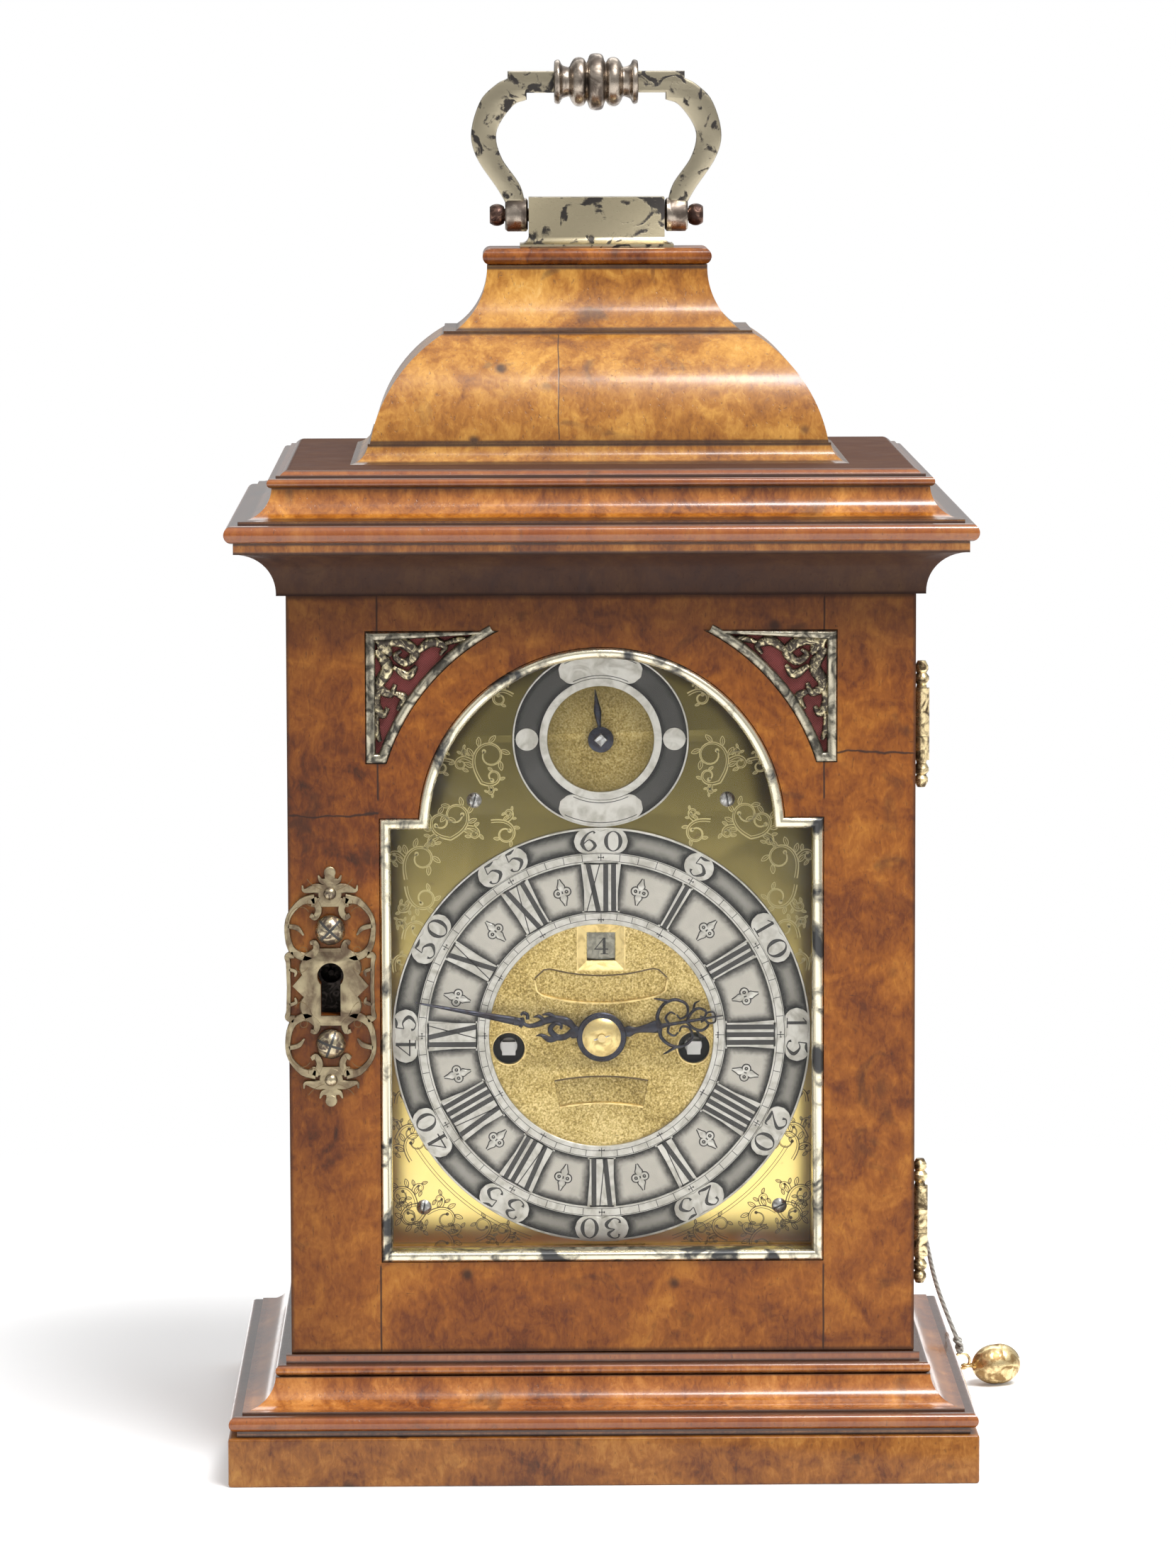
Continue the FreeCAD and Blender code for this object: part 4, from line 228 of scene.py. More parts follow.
def walnut(name, light=1.0, fibre=(1, 1, 1), quirk_shade=None, gloss=0.32, shade=None, joints_and_gap_shade=None,
           eyes=1.0, tint=(1, 1, 1), coat=0.4, matt=None, beads=()):
    """Figured veneer; fibre stretches it; thin dark lines are joints and painted shade in quirks and
    gaps.
    """
    wood = Finish(name)
    lay = wood.stretched(fibre)
    clouds = wood.noise(46, 4.0, 0.9, lay, 0.6)
    figure = wood.noise(12, 5.0, 1.3, lay, 0.58)
    fibres = wood.noise(1.6, 4.0, 1.0, wood.stretched((1, 1, 0.45)), 0.6)
    tone = clouds * 0.52 + figure * 0.44 + fibres * 0.28 - 0.12 + (light - 1.0) * 0.3
    stops = ((0.28, UMBER), (0.40, BROWN), (0.52, AMBER), (0.66, HONEY),
             (0.84, (0.72, 0.37, 0.10)))
    colour = wood.ramp(tone, *[(place, tuple(np.multiply(tint, stop).tolist()))
                               for place, stop in stops])
    for low, high in beads:
        on_bead = wood.z.step(low - 0.4, low + 0.4) * wood.z.step(high - 0.4, high + 0.4, 1.0, 0.0)
        colour = wood.mix(on_bead * 0.7, colour, (0.20, 0.050, 0.012))
    eye = wood.cells(21, lay).step(0.035, 0.13, 1.0, 0.0) * wood.noise(30, 2.0).step(
        0.45, 0.56) * eyes
    pores = wood.noise(0.8, 2.0, 0.0, wood.stretched((1, 1, 0.35))).step(0.64, 0.74)
    stains = wood.noise(16, 5.0, 1.0, wood.stretched((1, 1, 1), place=(0.3, 0, 0.2))).step(
        0.60, 0.74) * 0.55
    scratch = wood.noise(2.6, 3.0, 6.0, wood.stretched((0.25, 1, 1))).step(0.70, 0.76) * 0.6
    marks_and_painted_shade = (eye * 0.88).most(pores * 0.38).most(stains).most(scratch)
    # painted shade: thin dark lines along the quirks of the mouldings
    if quirk_shade:
        marks_and_painted_shade = marks_and_painted_shade.most(lines_at(wood, wood.z, quirk_shade, 0.95) * 0.85)
    # real joints and cracks, and painted shade in the gaps round the door
    if joints_and_gap_shade:
        marks_and_painted_shade = marks_and_painted_shade.most(joints_and_gap_shade(wood) * 0.9)
    colour = wood.mix(marks_and_painted_shade.least(1.0), colour, (0.022, 0.009, 0.005))
    # painted shade over an area: under the door's cornice, on its left stile, and in the cornice's
    # cove
    if shade:
        colour = wood.mix(shade(wood), colour, (0.022, 0.009, 0.006))
        coat = (1.0 - shade(wood)) * coat
    height = figure * 0.35 + pores * -0.5 + marks_and_painted_shade * -0.6 + wood.noise(26, 2.0) * 1.2
    rough = wood.noise(13, 4.0, 1.0) * 0.22 + gloss + marks_and_painted_shade * 0.25 - 0.11
    if shade:
        rough = rough + shade(wood) * 0.55
    if matt:
        rough = rough + matt(wood) * 0.35
        coat = (1.0 - matt(wood)) * coat
    return wood.wear(Base_Color=colour, Roughness=rough, Coat_Weight=coat,
                     Coat_Roughness=0.14, Specular_IOR_Level=0.24, Normal=wood.bump(height, 0.10, 0.7))


# Heights of the mouldings' quirks, where thin dark lines paint their shade
BASE_QUIRK_SHADE = (14.9, 16.3, 21.4, 30.9, 34.2, 36.9)
CORNICE_QUIRK_SHADE = (265.6, 278.8, 281.8, 287.3, 288.4, 297.6, 300.5, 302.6)
BELL_QUIRK_SHADE = (302.9, 308.2, 308.9, 340.6, 341.4, 359.8, 360.7, 365.6)


def door_seams_and_gap_shade(wood):
    """Joints of stiles and rails, an old crack in each stile, and painted shade in the gaps round the
    door.
    """
    wander = wood.noise(9, 3.0) * 4.0
    on_rail = (wood.z.step(203.5, 204.5)).most(wood.z.step(62.5, 64.5, 1.0, 0.0))
    joint = abs(abs(wood.x + wander * 0.08) - 66.4).step(0.12, 0.42, 1.0, 0.0) * on_rail
    low_crack = abs(wood.z + wander - 201.6).step(0.1, 0.5, 1.0, 0.0)
    low_crack = low_crack * wood.x.step(-66.8, -66.0, 1.0, 0.0)
    high_crack = abs(wood.z + wander - 219.9).step(0.1, 0.55, 1.0, 0.0)
    high_crack = high_crack * wood.x.step(68.5, 69.5)
    # painted shade in the gaps along the door's sides, under the cornice and above the base
    edge = abs(wood.x).step(92.2, 93.4) * 0.8
    ends = wood.z.step(263.2, 265.0).most(wood.z.step(37.3, 38.6, 1.0, 0.0)) * 0.8
    return joint.most(low_crack).most(high_crack).most(edge).most(ends)


def door_shade(wood):
    """Painted shade: darker under the cornice, whose shadow falls on the top rail, and on the left
    stile, away from the lamp.
    """
    return wood.z.step(236, 263, 0.0, 0.5).most(wood.x.step(-93, -60, 0.24, 0.0))


def bell_seams(wood):
    """The upright butt joint in the middle of the bell top's veneer."""
    wander = wood.noise(12, 2.0)
    joint = abs(wood.x + wander + 11.6).step(0.05, 0.28, 1.0, 0.0)
    return joint * wood.z.step(309, 310) * wood.z.step(340, 341, 1.0, 0.0)


def cove_shade(wood):
    """The cornice's downward-facing cove, almost black-brown: its dark stain, deepened by painted
    shade.
    """
    return wood.z.step(278.2, 279.4, 0.92, 0.0)


def cornice_top(wood):
    """The flat tops of the cornice are never rubbed and have lost their gloss."""
    return wood.z.step(302.2, 302.6)


veneer = walnut("door_veneer", light=0.96, joints_and_gap_shade=door_seams_and_gap_shade, shade=door_shade,
                tint=(0.62, 0.60, 0.50), coat=0.08)
side_veneer = walnut("side_veneer", light=0.95, fibre=(1, 1, 0.8), tint=(0.64, 0.62, 0.55),
                     coat=0.12)
bell_veneer = walnut("bell_veneer", light=1.16, quirk_shade=BELL_QUIRK_SHADE, joints_and_gap_shade=bell_seams, gloss=0.25,
                     tint=(0.86, 1.10, 1.45), coat=0.7)
base_wood = walnut("base_wood", light=1.0, fibre=(1.3, 1.3, 0.5), quirk_shade=BASE_QUIRK_SHADE, gloss=0.2,
                   eyes=0.6, tint=(0.92, 0.98, 1.6), coat=1.0, beads=((16.0, 22.0), (33.0, 37.2)))
plinth_wood = walnut("plinth_wood", tint=(0.70, 0.82, 1.2), gloss=0.36, coat=0.3)
cornice_wood = walnut("cornice_wood", light=1.04, fibre=(1.3, 1.3, 0.5), quirk_shade=CORNICE_QUIRK_SHADE,
                      gloss=0.2, shade=cove_shade, eyes=0.6, tint=(0.90, 0.98, 1.2),
                      coat=1.0, matt=cornice_top, beads=((281.6, 287.6), (298.0, 303.0)))
cap_wood = walnut("cap_wood", light=0.98, fibre=(1.2, 1.2, 0.5), gloss=0.26, eyes=0.3,
                  tint=(0.62, 0.58, 0.7))
print("walnut finishes: door, sides, bell top, base, plinth, cornice and cap")

# %% [markdown]
# ## Brass, silvering and steel
# Old gilt brass is bright where it is rubbed and brown or blue-black where the
# lacquer has gone.  One recipe covers them all: a clean colour, a tarnish colour,
# and a bent noise that decides where each shows.

# %% Metals
def metal(name, clean, tarnish, amount=0.5, size=9.0, rough=0.26, grain=0.0, grain_size=0.4,
          reach=0.13, metallic=1.0):
    """Metal whose tarnish covers about the given share of its surface."""
    made = Finish(name)
    patches = made.noise(size, 5.0, 1.8) + made.noise(size * 0.16, 3.0, 1.0) * 0.16 - 0.08
    old = patches.step(0.62 - amount * 0.3 - reach, 0.62 - amount * 0.3 + reach)
    haze = made.noise(size * 2.2, 3.0)
    colour = made.mix(haze * 0.5, clean, tuple(0.72 * channel for channel in clean))
    colour = made.mix(old, colour, tarnish)
    fine = made.noise(0.7, 3.0, 4.0, made.stretched((0.3, 1, 1)))
    roughness = old * 0.22 + fine * 0.16 + rough - 0.08
    height = fine * 0.1 + old * -0.25
    if grain:
        height = height + made.noise(grain_size, 2.0) * grain
    return made.wear(Base_Color=colour, Roughness=roughness, Metallic=metallic,
                     Normal=made.bump(height, 0.12, 0.8))


DARK_BRONZE = (0.055, 0.042, 0.034)
handle_brass = metal("handle_brass", (0.44, 0.385, 0.275), (0.05, 0.045, 0.042), 0.20, 8, 0.32,
                     reach=0.045)
grip_brass = metal("grip_brass", (0.40, 0.34, 0.28), (0.10, 0.08, 0.066), 0.35, 9, 0.26)
bracket_brass = metal("bracket_brass", (0.57, 0.49, 0.33), (0.05, 0.045, 0.042), 0.15, 9,
                      0.30, reach=0.045)
moulding_brass = metal("moulding_brass", (0.84, 0.77, 0.58), (0.07, 0.07, 0.07), 0.22, 17,
                       0.24, reach=0.09)
border_brass = metal("border_brass", (0.46, 0.42, 0.32), (0.07, 0.065, 0.055), 0.40, 6, 0.28)
hinge_brass = metal("hinge_brass", (0.92, 0.74, 0.42), (0.10, 0.07, 0.04), 0.36, 5, 0.24)
escutcheon_brass = metal("escutcheon_brass", (0.40, 0.335, 0.21), (0.13, 0.092, 0.062), 0.36, 10,
                         0.36, reach=0.2)
screw_brass = metal("screw_brass", (0.60, 0.51, 0.34), (0.10, 0.075, 0.06), 0.45, 4, 0.26)
fret_bronze = metal("fret_bronze", (0.66, 0.57, 0.36), (0.07, 0.058, 0.048), 0.62, 2.2, 0.26)
# painted shade: the lock's steel is almost black, so that the keyhole reads as a dark hole
lock_steel_painted_shade = metal("lock_steel_painted_shade", (0.06, 0.05, 0.045), (0.02, 0.018, 0.016), 0.5, 3, 0.5)
movement_brass = metal("movement_brass", (0.74, 0.58, 0.28), (0.56, 0.42, 0.19), 0.2, 26, 0.3)
bell_bronze = metal("bell_bronze", (0.70, 0.56, 0.29), (0.28, 0.19, 0.10), 0.3, 10, 0.28)
crotal_brass = metal("crotal_brass", (0.98, 0.78, 0.42), (0.30, 0.19, 0.08), 0.42, 5, 0.26)
pivot_bronze = metal("pivot_bronze", (0.20, 0.12, 0.09), (0.05, 0.03, 0.025), 0.5, 3, 0.3)
blued_steel = metal("blued_steel", (0.050, 0.053, 0.072), (0.035, 0.030, 0.035), 0.4, 3, 0.3)
steel = metal("bright_steel", (0.62, 0.62, 0.62), (0.24, 0.23, 0.22), 0.35, 3, 0.26)
collet_brass = metal("collet_brass", (0.88, 0.69, 0.31), (0.62, 0.46, 0.19), 0.2, 4, 0.32)
silver_bright = metal("silver_bright", (0.64, 0.62, 0.57), (0.44, 0.42, 0.37), 0.26, 6, 0.36,
                      reach=0.2)
silver_floor = metal("silver_floor", (0.20, 0.195, 0.18), (0.06, 0.06, 0.058), 0.5, 4, 0.45,
                     grain=0.3, metallic=0.8)
date_silver = metal("date_silver", (0.40, 0.38, 0.31), (0.26, 0.25, 0.21), 0.4, 3, 0.4)
print("metal finishes made")

# %% [markdown]
# ## Dial gilding, glass, cloth and the rest
# The middle of the dial is matted with a small punch, so it sparkles, while the
# corners are smooth and engraved.  Both are one sheet of brass, so the finish
# changes with the distance from the two centres instead of from piece to piece.

# %% Other finishes
DIAL_CENTRE = (0.0, 130.7)
STRIKE_CENTRE = (0.0, 220.4)


def distance_from(finish, centre):
    across = finish.x - centre[0]
    upward = finish.z - centre[1]
    return (across * across + upward * upward) ** 0.5


def dial_gilding():
    """Matted within the two rings, smooth elsewhere, with painted shade towards the arch and on the
    strike disc.
    """
    gilt = Finish("dial_gilding")
    inside = distance_from(gilt, DIAL_CENTRE).step(33.6, 33.9, 1.0, 0.0)
    inside = inside.most(distance_from(gilt, STRIKE_CENTRE).step(16.0, 16.4, 1.0, 0.0))
    punched = gilt.noise(0.55, 2.0, 0.5)
    haze = gilt.noise(24, 4.0, 1.2)
    # painted shade: the smooth gilding grows darker towards the arch, under the shade of the arch and
    # cornice
    smooth = gilt.mix((gilt.z + haze * 40).step(105, 225), (0.84, 0.66, 0.24),
                      (0.18, 0.145, 0.048))
    matted = gilt.ramp(punched + haze * 0.5 - 0.25, (0.30, (0.26, 0.18, 0.05)),
                       (0.50, (0.54, 0.40, 0.14)), (0.72, (0.84, 0.68, 0.33)))
    colour = gilt.mix(inside, smooth, matted)
    # painted shade: the matted strike disc is darker, most towards its rim
    strike_disc_shade = distance_from(gilt, STRIKE_CENTRE).step(7.0, 17.0, 0.35, 0.75)
    strike_disc_shade = strike_disc_shade * gilt.z.step(190, 192)
    colour = gilt.mix(strike_disc_shade * inside, colour, (0.16, 0.12, 0.035))
    spots = gilt.noise(3.0, 4.0, 1.0).step(0.66, 0.76) * 0.5
    colour = gilt.mix(spots, colour, (0.16, 0.11, 0.05))
    rough = inside * 0.16 + haze * 0.14 + 0.24
    height = inside * punched * 1.4 + gilt.noise(5, 2.0) * 0.3
    return gilt.wear(Base_Color=colour, Roughness=rough, Metallic=1.0,
                     Normal=gilt.bump(height, 0.16, 0.9))


def front_plate_finish():
    """Movement brass, almost black round the winding squares, where no light falls."""
    plate = Finish("front_plate_brass")
    near = distance_from(plate, (27.9, 126.6)).least(distance_from(plate, (-27.9, 126.6)))
    vary = plate.noise(9, 3.0)
    brass = plate.mix(vary, (0.40, 0.28, 0.12), (0.70, 0.54, 0.26))
    colour = plate.mix(near.step(7.0, 9.0, 1.0, 0.0), brass, (0.012, 0.010, 0.008))
    return plate.wear(Base_Color=colour, Roughness=vary * 0.2 + 0.4,
                      Metallic=near.step(7.0, 9.0))


def fusee_finish():
    """Movement brass with a steel arbor, which shows in front of the plate."""
    fusee = Finish("fusee_brass")
    front = fusee.y.step(-45, -44, 1.0, 0.0)
    vary = fusee.noise(5, 3.0)
    brass = fusee.mix(vary, (0.50, 0.37, 0.16), (0.74, 0.58, 0.28))
    bright = fusee.mix(vary, (0.30, 0.29, 0.27), (0.60, 0.59, 0.57))
    return fusee.wear(Base_Color=fusee.mix(front, brass, bright), Metallic=1.0,
                      Roughness=vary * 0.2 + 0.26)


def glass_finish():
    """Clear old glass: see-through, with a mirror skin that grows towards its edge."""
    glass = Finish("window_glass")
    clear = glass.node("ShaderNodeBsdfTransparent", {}, {"Color": (0.985, 0.985, 0.98, 1)})
    skin = glass.node("ShaderNodeBsdfGlossy", {}, {"Color": (1, 1, 1, 1), "Roughness": 0.03})
    smears = glass.noise(38, 4.0, 1.5).step(0.5, 0.8) * 0.012
    factor = glass.node("ShaderNodeFresnel", {}, {"IOR": 1.45}) * 0.25 + smears
    both = glass.node("ShaderNodeMixShader", {}, [factor, clear, skin])
    glass.tree.links.new(both.socket, glass.tree.nodes["Material Output"].inputs["Surface"])
    glass.tree.nodes.remove(glass.surface)
    return glass.material


def woven(name, dark, light, thread=0.35):
    """Plain weave: two sets of rounded threads, over and under by turns."""
    cloth = Finish(name)
    turns = 2 * math.pi / (2 * thread)
    warp = (cloth.x * turns).sum("SINE", cloth.x * turns)
    weft = (cloth.z * turns).sum("SINE", cloth.z * turns)
    weave = warp * weft * 0.5 + 0.5
    colour = cloth.mix((weave + cloth.noise(7, 3.0) - 0.5).least(1.0).most(0.0), dark, light)
    return cloth.wear(Base_Color=colour, Roughness=0.9,
                      Normal=cloth.bump(weave, 0.12, 0.6))


def oak():
    wood = Finish("carcase_oak")
    fibres = wood.noise(2.2, 5.0, 1.0, wood.stretched((1, 1, 0.06)))
    colour = wood.ramp(fibres, (0.30, (0.09, 0.045, 0.020)), (0.55, (0.25, 0.14, 0.065)),
                       (0.75, (0.36, 0.22, 0.11)))
    return wood.wear(Base_Color=colour, Roughness=fibres * 0.2 + 0.5,
                     Normal=wood.bump(fibres, 0.15, 0.6))


def braid():
    """Fine braided line: slanting strands round and along the cord."""
    line = Finish("braid")
    strands = (line.z * 5.2 + line.x * 3.0 + line.y * 2.1)
    twist = strands.sum("SINE", strands) * 0.5 + 0.5
    colour = line.mix(twist, (0.20, 0.19, 0.17), (0.46, 0.45, 0.41))
    return line.wear(Base_Color=colour, Roughness=0.85, Normal=line.bump(twist, 0.15, 0.8))


def plain(name, colour, rough, amount=0.25, size=4.0):
    """A dull finish that varies a little, for wax, gut and the like."""
    made = Finish(name)
    vary = made.noise(size, 4.0, 1.0)
    dark = tuple((1 - amount) * channel for channel in colour)
    return made.wear(Base_Color=made.mix(vary, dark, colour), Roughness=vary * 0.2 + rough,
                     Normal=made.bump(vary, 0.05, 0.4))


dial_gilt = dial_gilding()
front_plate_brass = front_plate_finish()
fusee_brass = fusee_finish()
glass = glass_finish()
red_silk = woven("red_silk", (0.06, 0.012, 0.011), (0.20, 0.040, 0.036))
carcase_oak = oak()
braided = braid()
gut = plain("gut", (0.55, 0.42, 0.22), 0.45)
black_wax_and_painted_shade = plain("black_wax_and_painted_shade", (0.030, 0.028, 0.026), 0.35)
engraving = plain("engraving", (0.13, 0.080, 0.025), 0.5)
# pale strokes that paint the highlights of the cuts in the arch's engraving
engraving_painted_highlight = plain("engraving_painted_highlight", (0.62, 0.52, 0.22), 0.35)
print("gilding, glass, silk, oak, braid, gut and wax made")

# %% [markdown]
# ## Dressing the CAD pieces
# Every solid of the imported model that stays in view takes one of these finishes.
# The movement's wheels and plates need no more than that, because they are only
# seen through the side windows and the glass of the back door.

# %% Finishes for the CAD nodes
CAD_FINISH = {
    "base_plinth": plinth_wood, "base_moulding": base_wood, "cornice_moulding": cornice_wood,
    "bell_top": bell_veneer, "top_cap": cap_wood, "carcase_side_left": side_veneer,
    "carcase_side_right": side_veneer, "front_door": veneer, "back_door": side_veneer,
    "dial_mask": carcase_oak, "seat_board": carcase_oak, "side_glasses": glass,
    "back_glass": glass, "door_glass": glass, "case_hinges": hinge_brass,
    "front_door_hinges": hinge_brass, "back_door_hinges": hinge_brass, "door_lock": lock_steel_painted_shade,
    "lock_bolt": steel, "lock_staple": movement_brass, "date_wheel": date_silver,
    "front_plate": front_plate_brass, "back_plate": movement_brass,
    "plate_pillars": movement_brass, "centre_arbor": movement_brass,
    "hour_wheel": movement_brass, "contrate_wheel": movement_brass,
    "crown_wheel": movement_brass, "movement_cocks": movement_brass,
    "verge_pendulum": steel, "going_fusee": fusee_brass,
    "going_great_wheel": movement_brass, "going_barrel": movement_brass,
    "strike_fusee": fusee_brass, "strike_great_wheel": movement_brass,
    "strike_barrel": movement_brass, "gut_lines": gut, "pin_wheel": movement_brass,
    "hammer": steel, "hour_bell": bell_bronze, "bell_stand": steel, "cord_bush": hinge_brass,
    "crotal_bell": crotal_brass, "handle_pivots": pivot_bronze, "hand_collet": collet_brass,
    "dial_screws": steel, "door_frets": fret_bronze, "escutcheon": escutcheon_brass,
    "escutcheon_screws": screw_brass, "handle_bracket": bracket_brass,
    "handle": handle_brass, "door_arch_moulding": moulding_brass, "dial_plate": dial_gilt,
    "chapter_ring": silver_bright, "strike_ring": silver_bright, "hour_hand": blued_steel,
    "minute_hand": blued_steel, "strike_hand": blued_steel, "repeat_cord": braided,
    "fret_silk": red_silk,
}
for node_name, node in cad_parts.items():
    node.data.materials.clear()
    node.data.materials.append(CAD_FINISH[node_name])
print("CAD nodes dressed:", len(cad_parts))

# %% [markdown]
# ## The repeat cord
# A thin braided line leaves the right side through a brass bush and hangs down
# beside the base to a knot, where a small rumbler bell rests on the table.  Its
# middle line is a smooth spline through the same turning points as the CAD tube,
# and its diameter is given.

# %% Repeat cord
CORD_ROUTE = np.array([
    (84.5, 2.0, 72.0), (98.0, 2.0, 72.0), (102.403, 11.005, 56.437), (106.204, 23.011, 39.340),
    (111.708, 35.495, 24.231), (115.2, 45.5, 15.5)])
CORD_DIAMETER = 1.4
line = bpy.data.curves.new("cord_line", "CURVE")
line.dimensions = "3D"
spline = line.splines.new("NURBS")
spline.points.add(len(CORD_ROUTE) - 1)
spline.points.foreach_set("co", np.column_stack([CORD_ROUTE * MM, np.ones(len(CORD_ROUTE))]).ravel())
spline.order_u = 3
spline.use_endpoint_u = True
spline.resolution_u = 24
line.bevel_depth = CORD_DIAMETER / 2 * MM
line.bevel_resolution = 3
line.use_fill_caps = True
line.materials.append(braided)
cord = bpy.data.objects.new("cord_line", line)
bpy.context.scene.collection.objects.link(cord)
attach(cord, "case")
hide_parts("repeat_cord")

# %% [markdown]
# ## Surfaces from grids
# Most pieces below are grids of points.  `quads` joins a grid's neighbours into
# faces, `Heap` gathers many small shapes so that they become one object, and
# `solid_piece` makes the object, with its faces turned outwards and its place in
# its mesh, as the export needs it.

# %% Grid helpers
def quads(rows, columns, around_rows=False, around_columns=False):
    """The faces of a grid, each between two rows and two columns."""
    row, column = np.meshgrid(np.arange(rows if around_rows else rows - 1),
                              np.arange(columns if around_columns else columns - 1),
                              indexing="ij")
    next_row, next_column = (row + 1) % rows, (column + 1) % columns
    corners = [row * columns + column, row * columns + next_column,
               next_row * columns + next_column, next_row * columns + column]
    return np.stack(corners, -1).reshape(-1, 4).tolist()


class Heap:
    """Many small shapes that become one piece."""

    def __init__(self):
        self.points = []
        self.faces = []
        self.count = 0

    def add(self, points, faces):
        points = np.asarray(points, float).reshape(-1, 3)
        self.faces += [[index + self.count for index in face] for face in faces]
        self.points.append(points)
        self.count += len(points)

    def grid(self, points, around_rows=False, around_columns=False, caps=False):
        """A grid of points, with its first and last rows closed if caps is set."""
        rows, columns = points.shape[:2]
        faces = quads(rows, columns, around_rows, around_columns)
        if caps:
            faces.append(list(range(columns)))
            faces.append(list(range((rows - 1) * columns, rows * columns)))
        self.add(points, faces)


def solid_piece(name, heap, finish, body, sharp=35, facing=None):
    """One object at the origin from a heap in millimetres; facing is for open sheets."""
    mesh = bpy.data.meshes.new(name)
    mesh.from_pydata((np.vstack(heap.points) * MM).tolist(), [], heap.faces)
    work = bmesh.new()
    work.from_mesh(mesh)
    bmesh.ops.remove_doubles(work, verts=work.verts, dist=1e-7)
    bmesh.ops.dissolve_degenerate(work, edges=work.edges, dist=1e-7)
    bmesh.ops.recalc_face_normals(work, faces=work.faces)
    if facing is not None:
        work.normal_update()
        wrong = [face for face in work.faces if face.normal.dot(Vector(facing)) < 0]
        bmesh.ops.reverse_faces(work, faces=wrong)
    work.to_mesh(mesh)
    work.free()
    mesh.polygons.foreach_set("use_smooth", [True] * len(mesh.polygons))
    mesh.set_sharp_from_angle(angle=math.radians(sharp))
    mesh.materials.append(finish)
    made = bpy.data.objects.new(name, mesh)
    bpy.context.scene.collection.objects.link(made)
    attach(made, body)
    print(f"{name}: {len(mesh.vertices)} points, {len(mesh.polygons)} faces")
    return made


def smooth_line(corners, count=24, closed=False):
    """A Catmull-Rom curve through rows of numbers, such as x, z and width."""
    corners = np.asarray(corners, float)
    if closed:
        padded = np.vstack([corners[-1], corners, corners[0], corners[1]])
    else:
        padded = np.vstack([2 * corners[0] - corners[1], corners,
                            2 * corners[-1] - corners[-2]])
    spans = len(padded) - 3
    places = np.linspace(0, spans, count, endpoint=not closed)
    first = np.minimum(places.astype(int), spans - 1)
    t = (places - first)[:, None]
    a, b, c, d = (padded[first + k] for k in range(4))
    return 0.5 * (2 * b + (c - a) * t + (2 * a - 5 * b + 4 * c - d) * t ** 2
                  + (3 * b - a - 3 * c + d) * t ** 3)


def normals_of(path, closed=False):
    """Unit normals on the left of a path in the plane."""
    if closed:
        along = np.roll(path, -1, 0) - np.roll(path, 1, 0)
    else:
        along = np.gradient(path, axis=0)
    along /= np.maximum(np.linalg.norm(along, axis=1, keepdims=True), 1e-9)
    return np.column_stack([-along[:, 1], along[:, 0]])


FLAT_SECTION = np.array([(-1, 0), (-1, 0.75), (-0.8, 1), (0.8, 1), (1, 0.75), (1, 0)])
ROUND_SECTION = np.column_stack([-np.cos(np.linspace(0, np.pi, 7)),
                                 np.sin(np.linspace(0, np.pi, 7))])
INK_SECTION = np.array([(-1, 0), (-1, 1), (1, 1), (1, 0)])


def stroke(heap, path, widths, face, rise, section=FLAT_SECTION, closed=False):
    """A band of varying width on a face seen from the front, risen towards the viewer."""
    path = np.asarray(path, float)
    reach = normals_of(path, closed) * (np.asarray(widths, float)[:, None] / 2)
    across = path[:, None, :] + reach[:, None, :] * section[None, :, :1]
    depth = face - rise * section[None, :, 1] * np.ones((len(path), 1))
    points = np.stack([across[..., 0], depth, across[..., 1]], -1)
    heap.grid(points, around_rows=closed, around_columns=True, caps=not closed)


def drawn(heap, corners, face, rise, section=FLAT_SECTION, count=24, closed=False,
          place=None):
    """A stroke through rows of x, z and width; place moves each point if it is given."""
    rows = smooth_line(corners, count, closed)
    path = rows[:, :2] if place is None else place(rows[:, :2])
    stroke(heap, path, np.maximum(rows[:, 2], 0.02), face, rise, section, closed)


def slab(heap, outline, face, rise, bevel=0.0):
    """A flat plate with a given outline, chamfered towards the viewer."""
    outline = np.asarray(outline, float)
    inward = normals_of(outline, closed=True)
    area = np.sum(outline[:, 0] * np.roll(outline[:, 1], -1)
                  - np.roll(outline[:, 0], -1) * outline[:, 1])
    inset = outline + inward * (bevel if area > 0 else -bevel)
    rings = [(outline, face), (outline, face - rise + bevel), (inset, face - rise)]
    points = np.stack([np.column_stack([ring[:, 0], np.full(len(ring), depth), ring[:, 1]])
                       for ring, depth in rings])
    heap.grid(points, around_columns=True, caps=True)


def lathe(heap, profile, centre, axis="y", count=48):
    """Turns rows of radius and height about an axis through the centre."""
    profile = np.asarray(profile, float)
    angle = np.linspace(0, 2 * np.pi, count, endpoint=False)
    radius, height = profile[:, 0][:, None], profile[:, 1][:, None]
    first, second = radius * np.cos(angle), radius * np.sin(angle)
    level = height * np.ones_like(angle)
    order = {"x": (level, first, second), "y": (first, level, second),
             "z": (first, second, level)}[axis]
    heap.grid(np.stack(order, -1) + np.asarray(centre, float), around_columns=True,
              caps=True)


def ring_of(heap, profile, centre, count=96):
    """A closed profile turned about the front-to-back axis, such as a rim."""
    profile = np.asarray(profile, float)
    angle = np.linspace(0, 2 * np.pi, count, endpoint=False)
    radius, depth = profile[:, 0][:, None], profile[:, 1][:, None]
    points = np.stack([centre[0] + radius * np.sin(angle), depth * np.ones_like(angle),
                       centre[1] + radius * np.cos(angle)], -1)
    heap.grid(points, around_rows=True, around_columns=True)


def circle(radius, x, z, count=32):
    angle = np.linspace(0, 2 * np.pi, count, endpoint=False)
    return np.column_stack([x + radius * np.cos(angle), z + radius * np.sin(angle)])


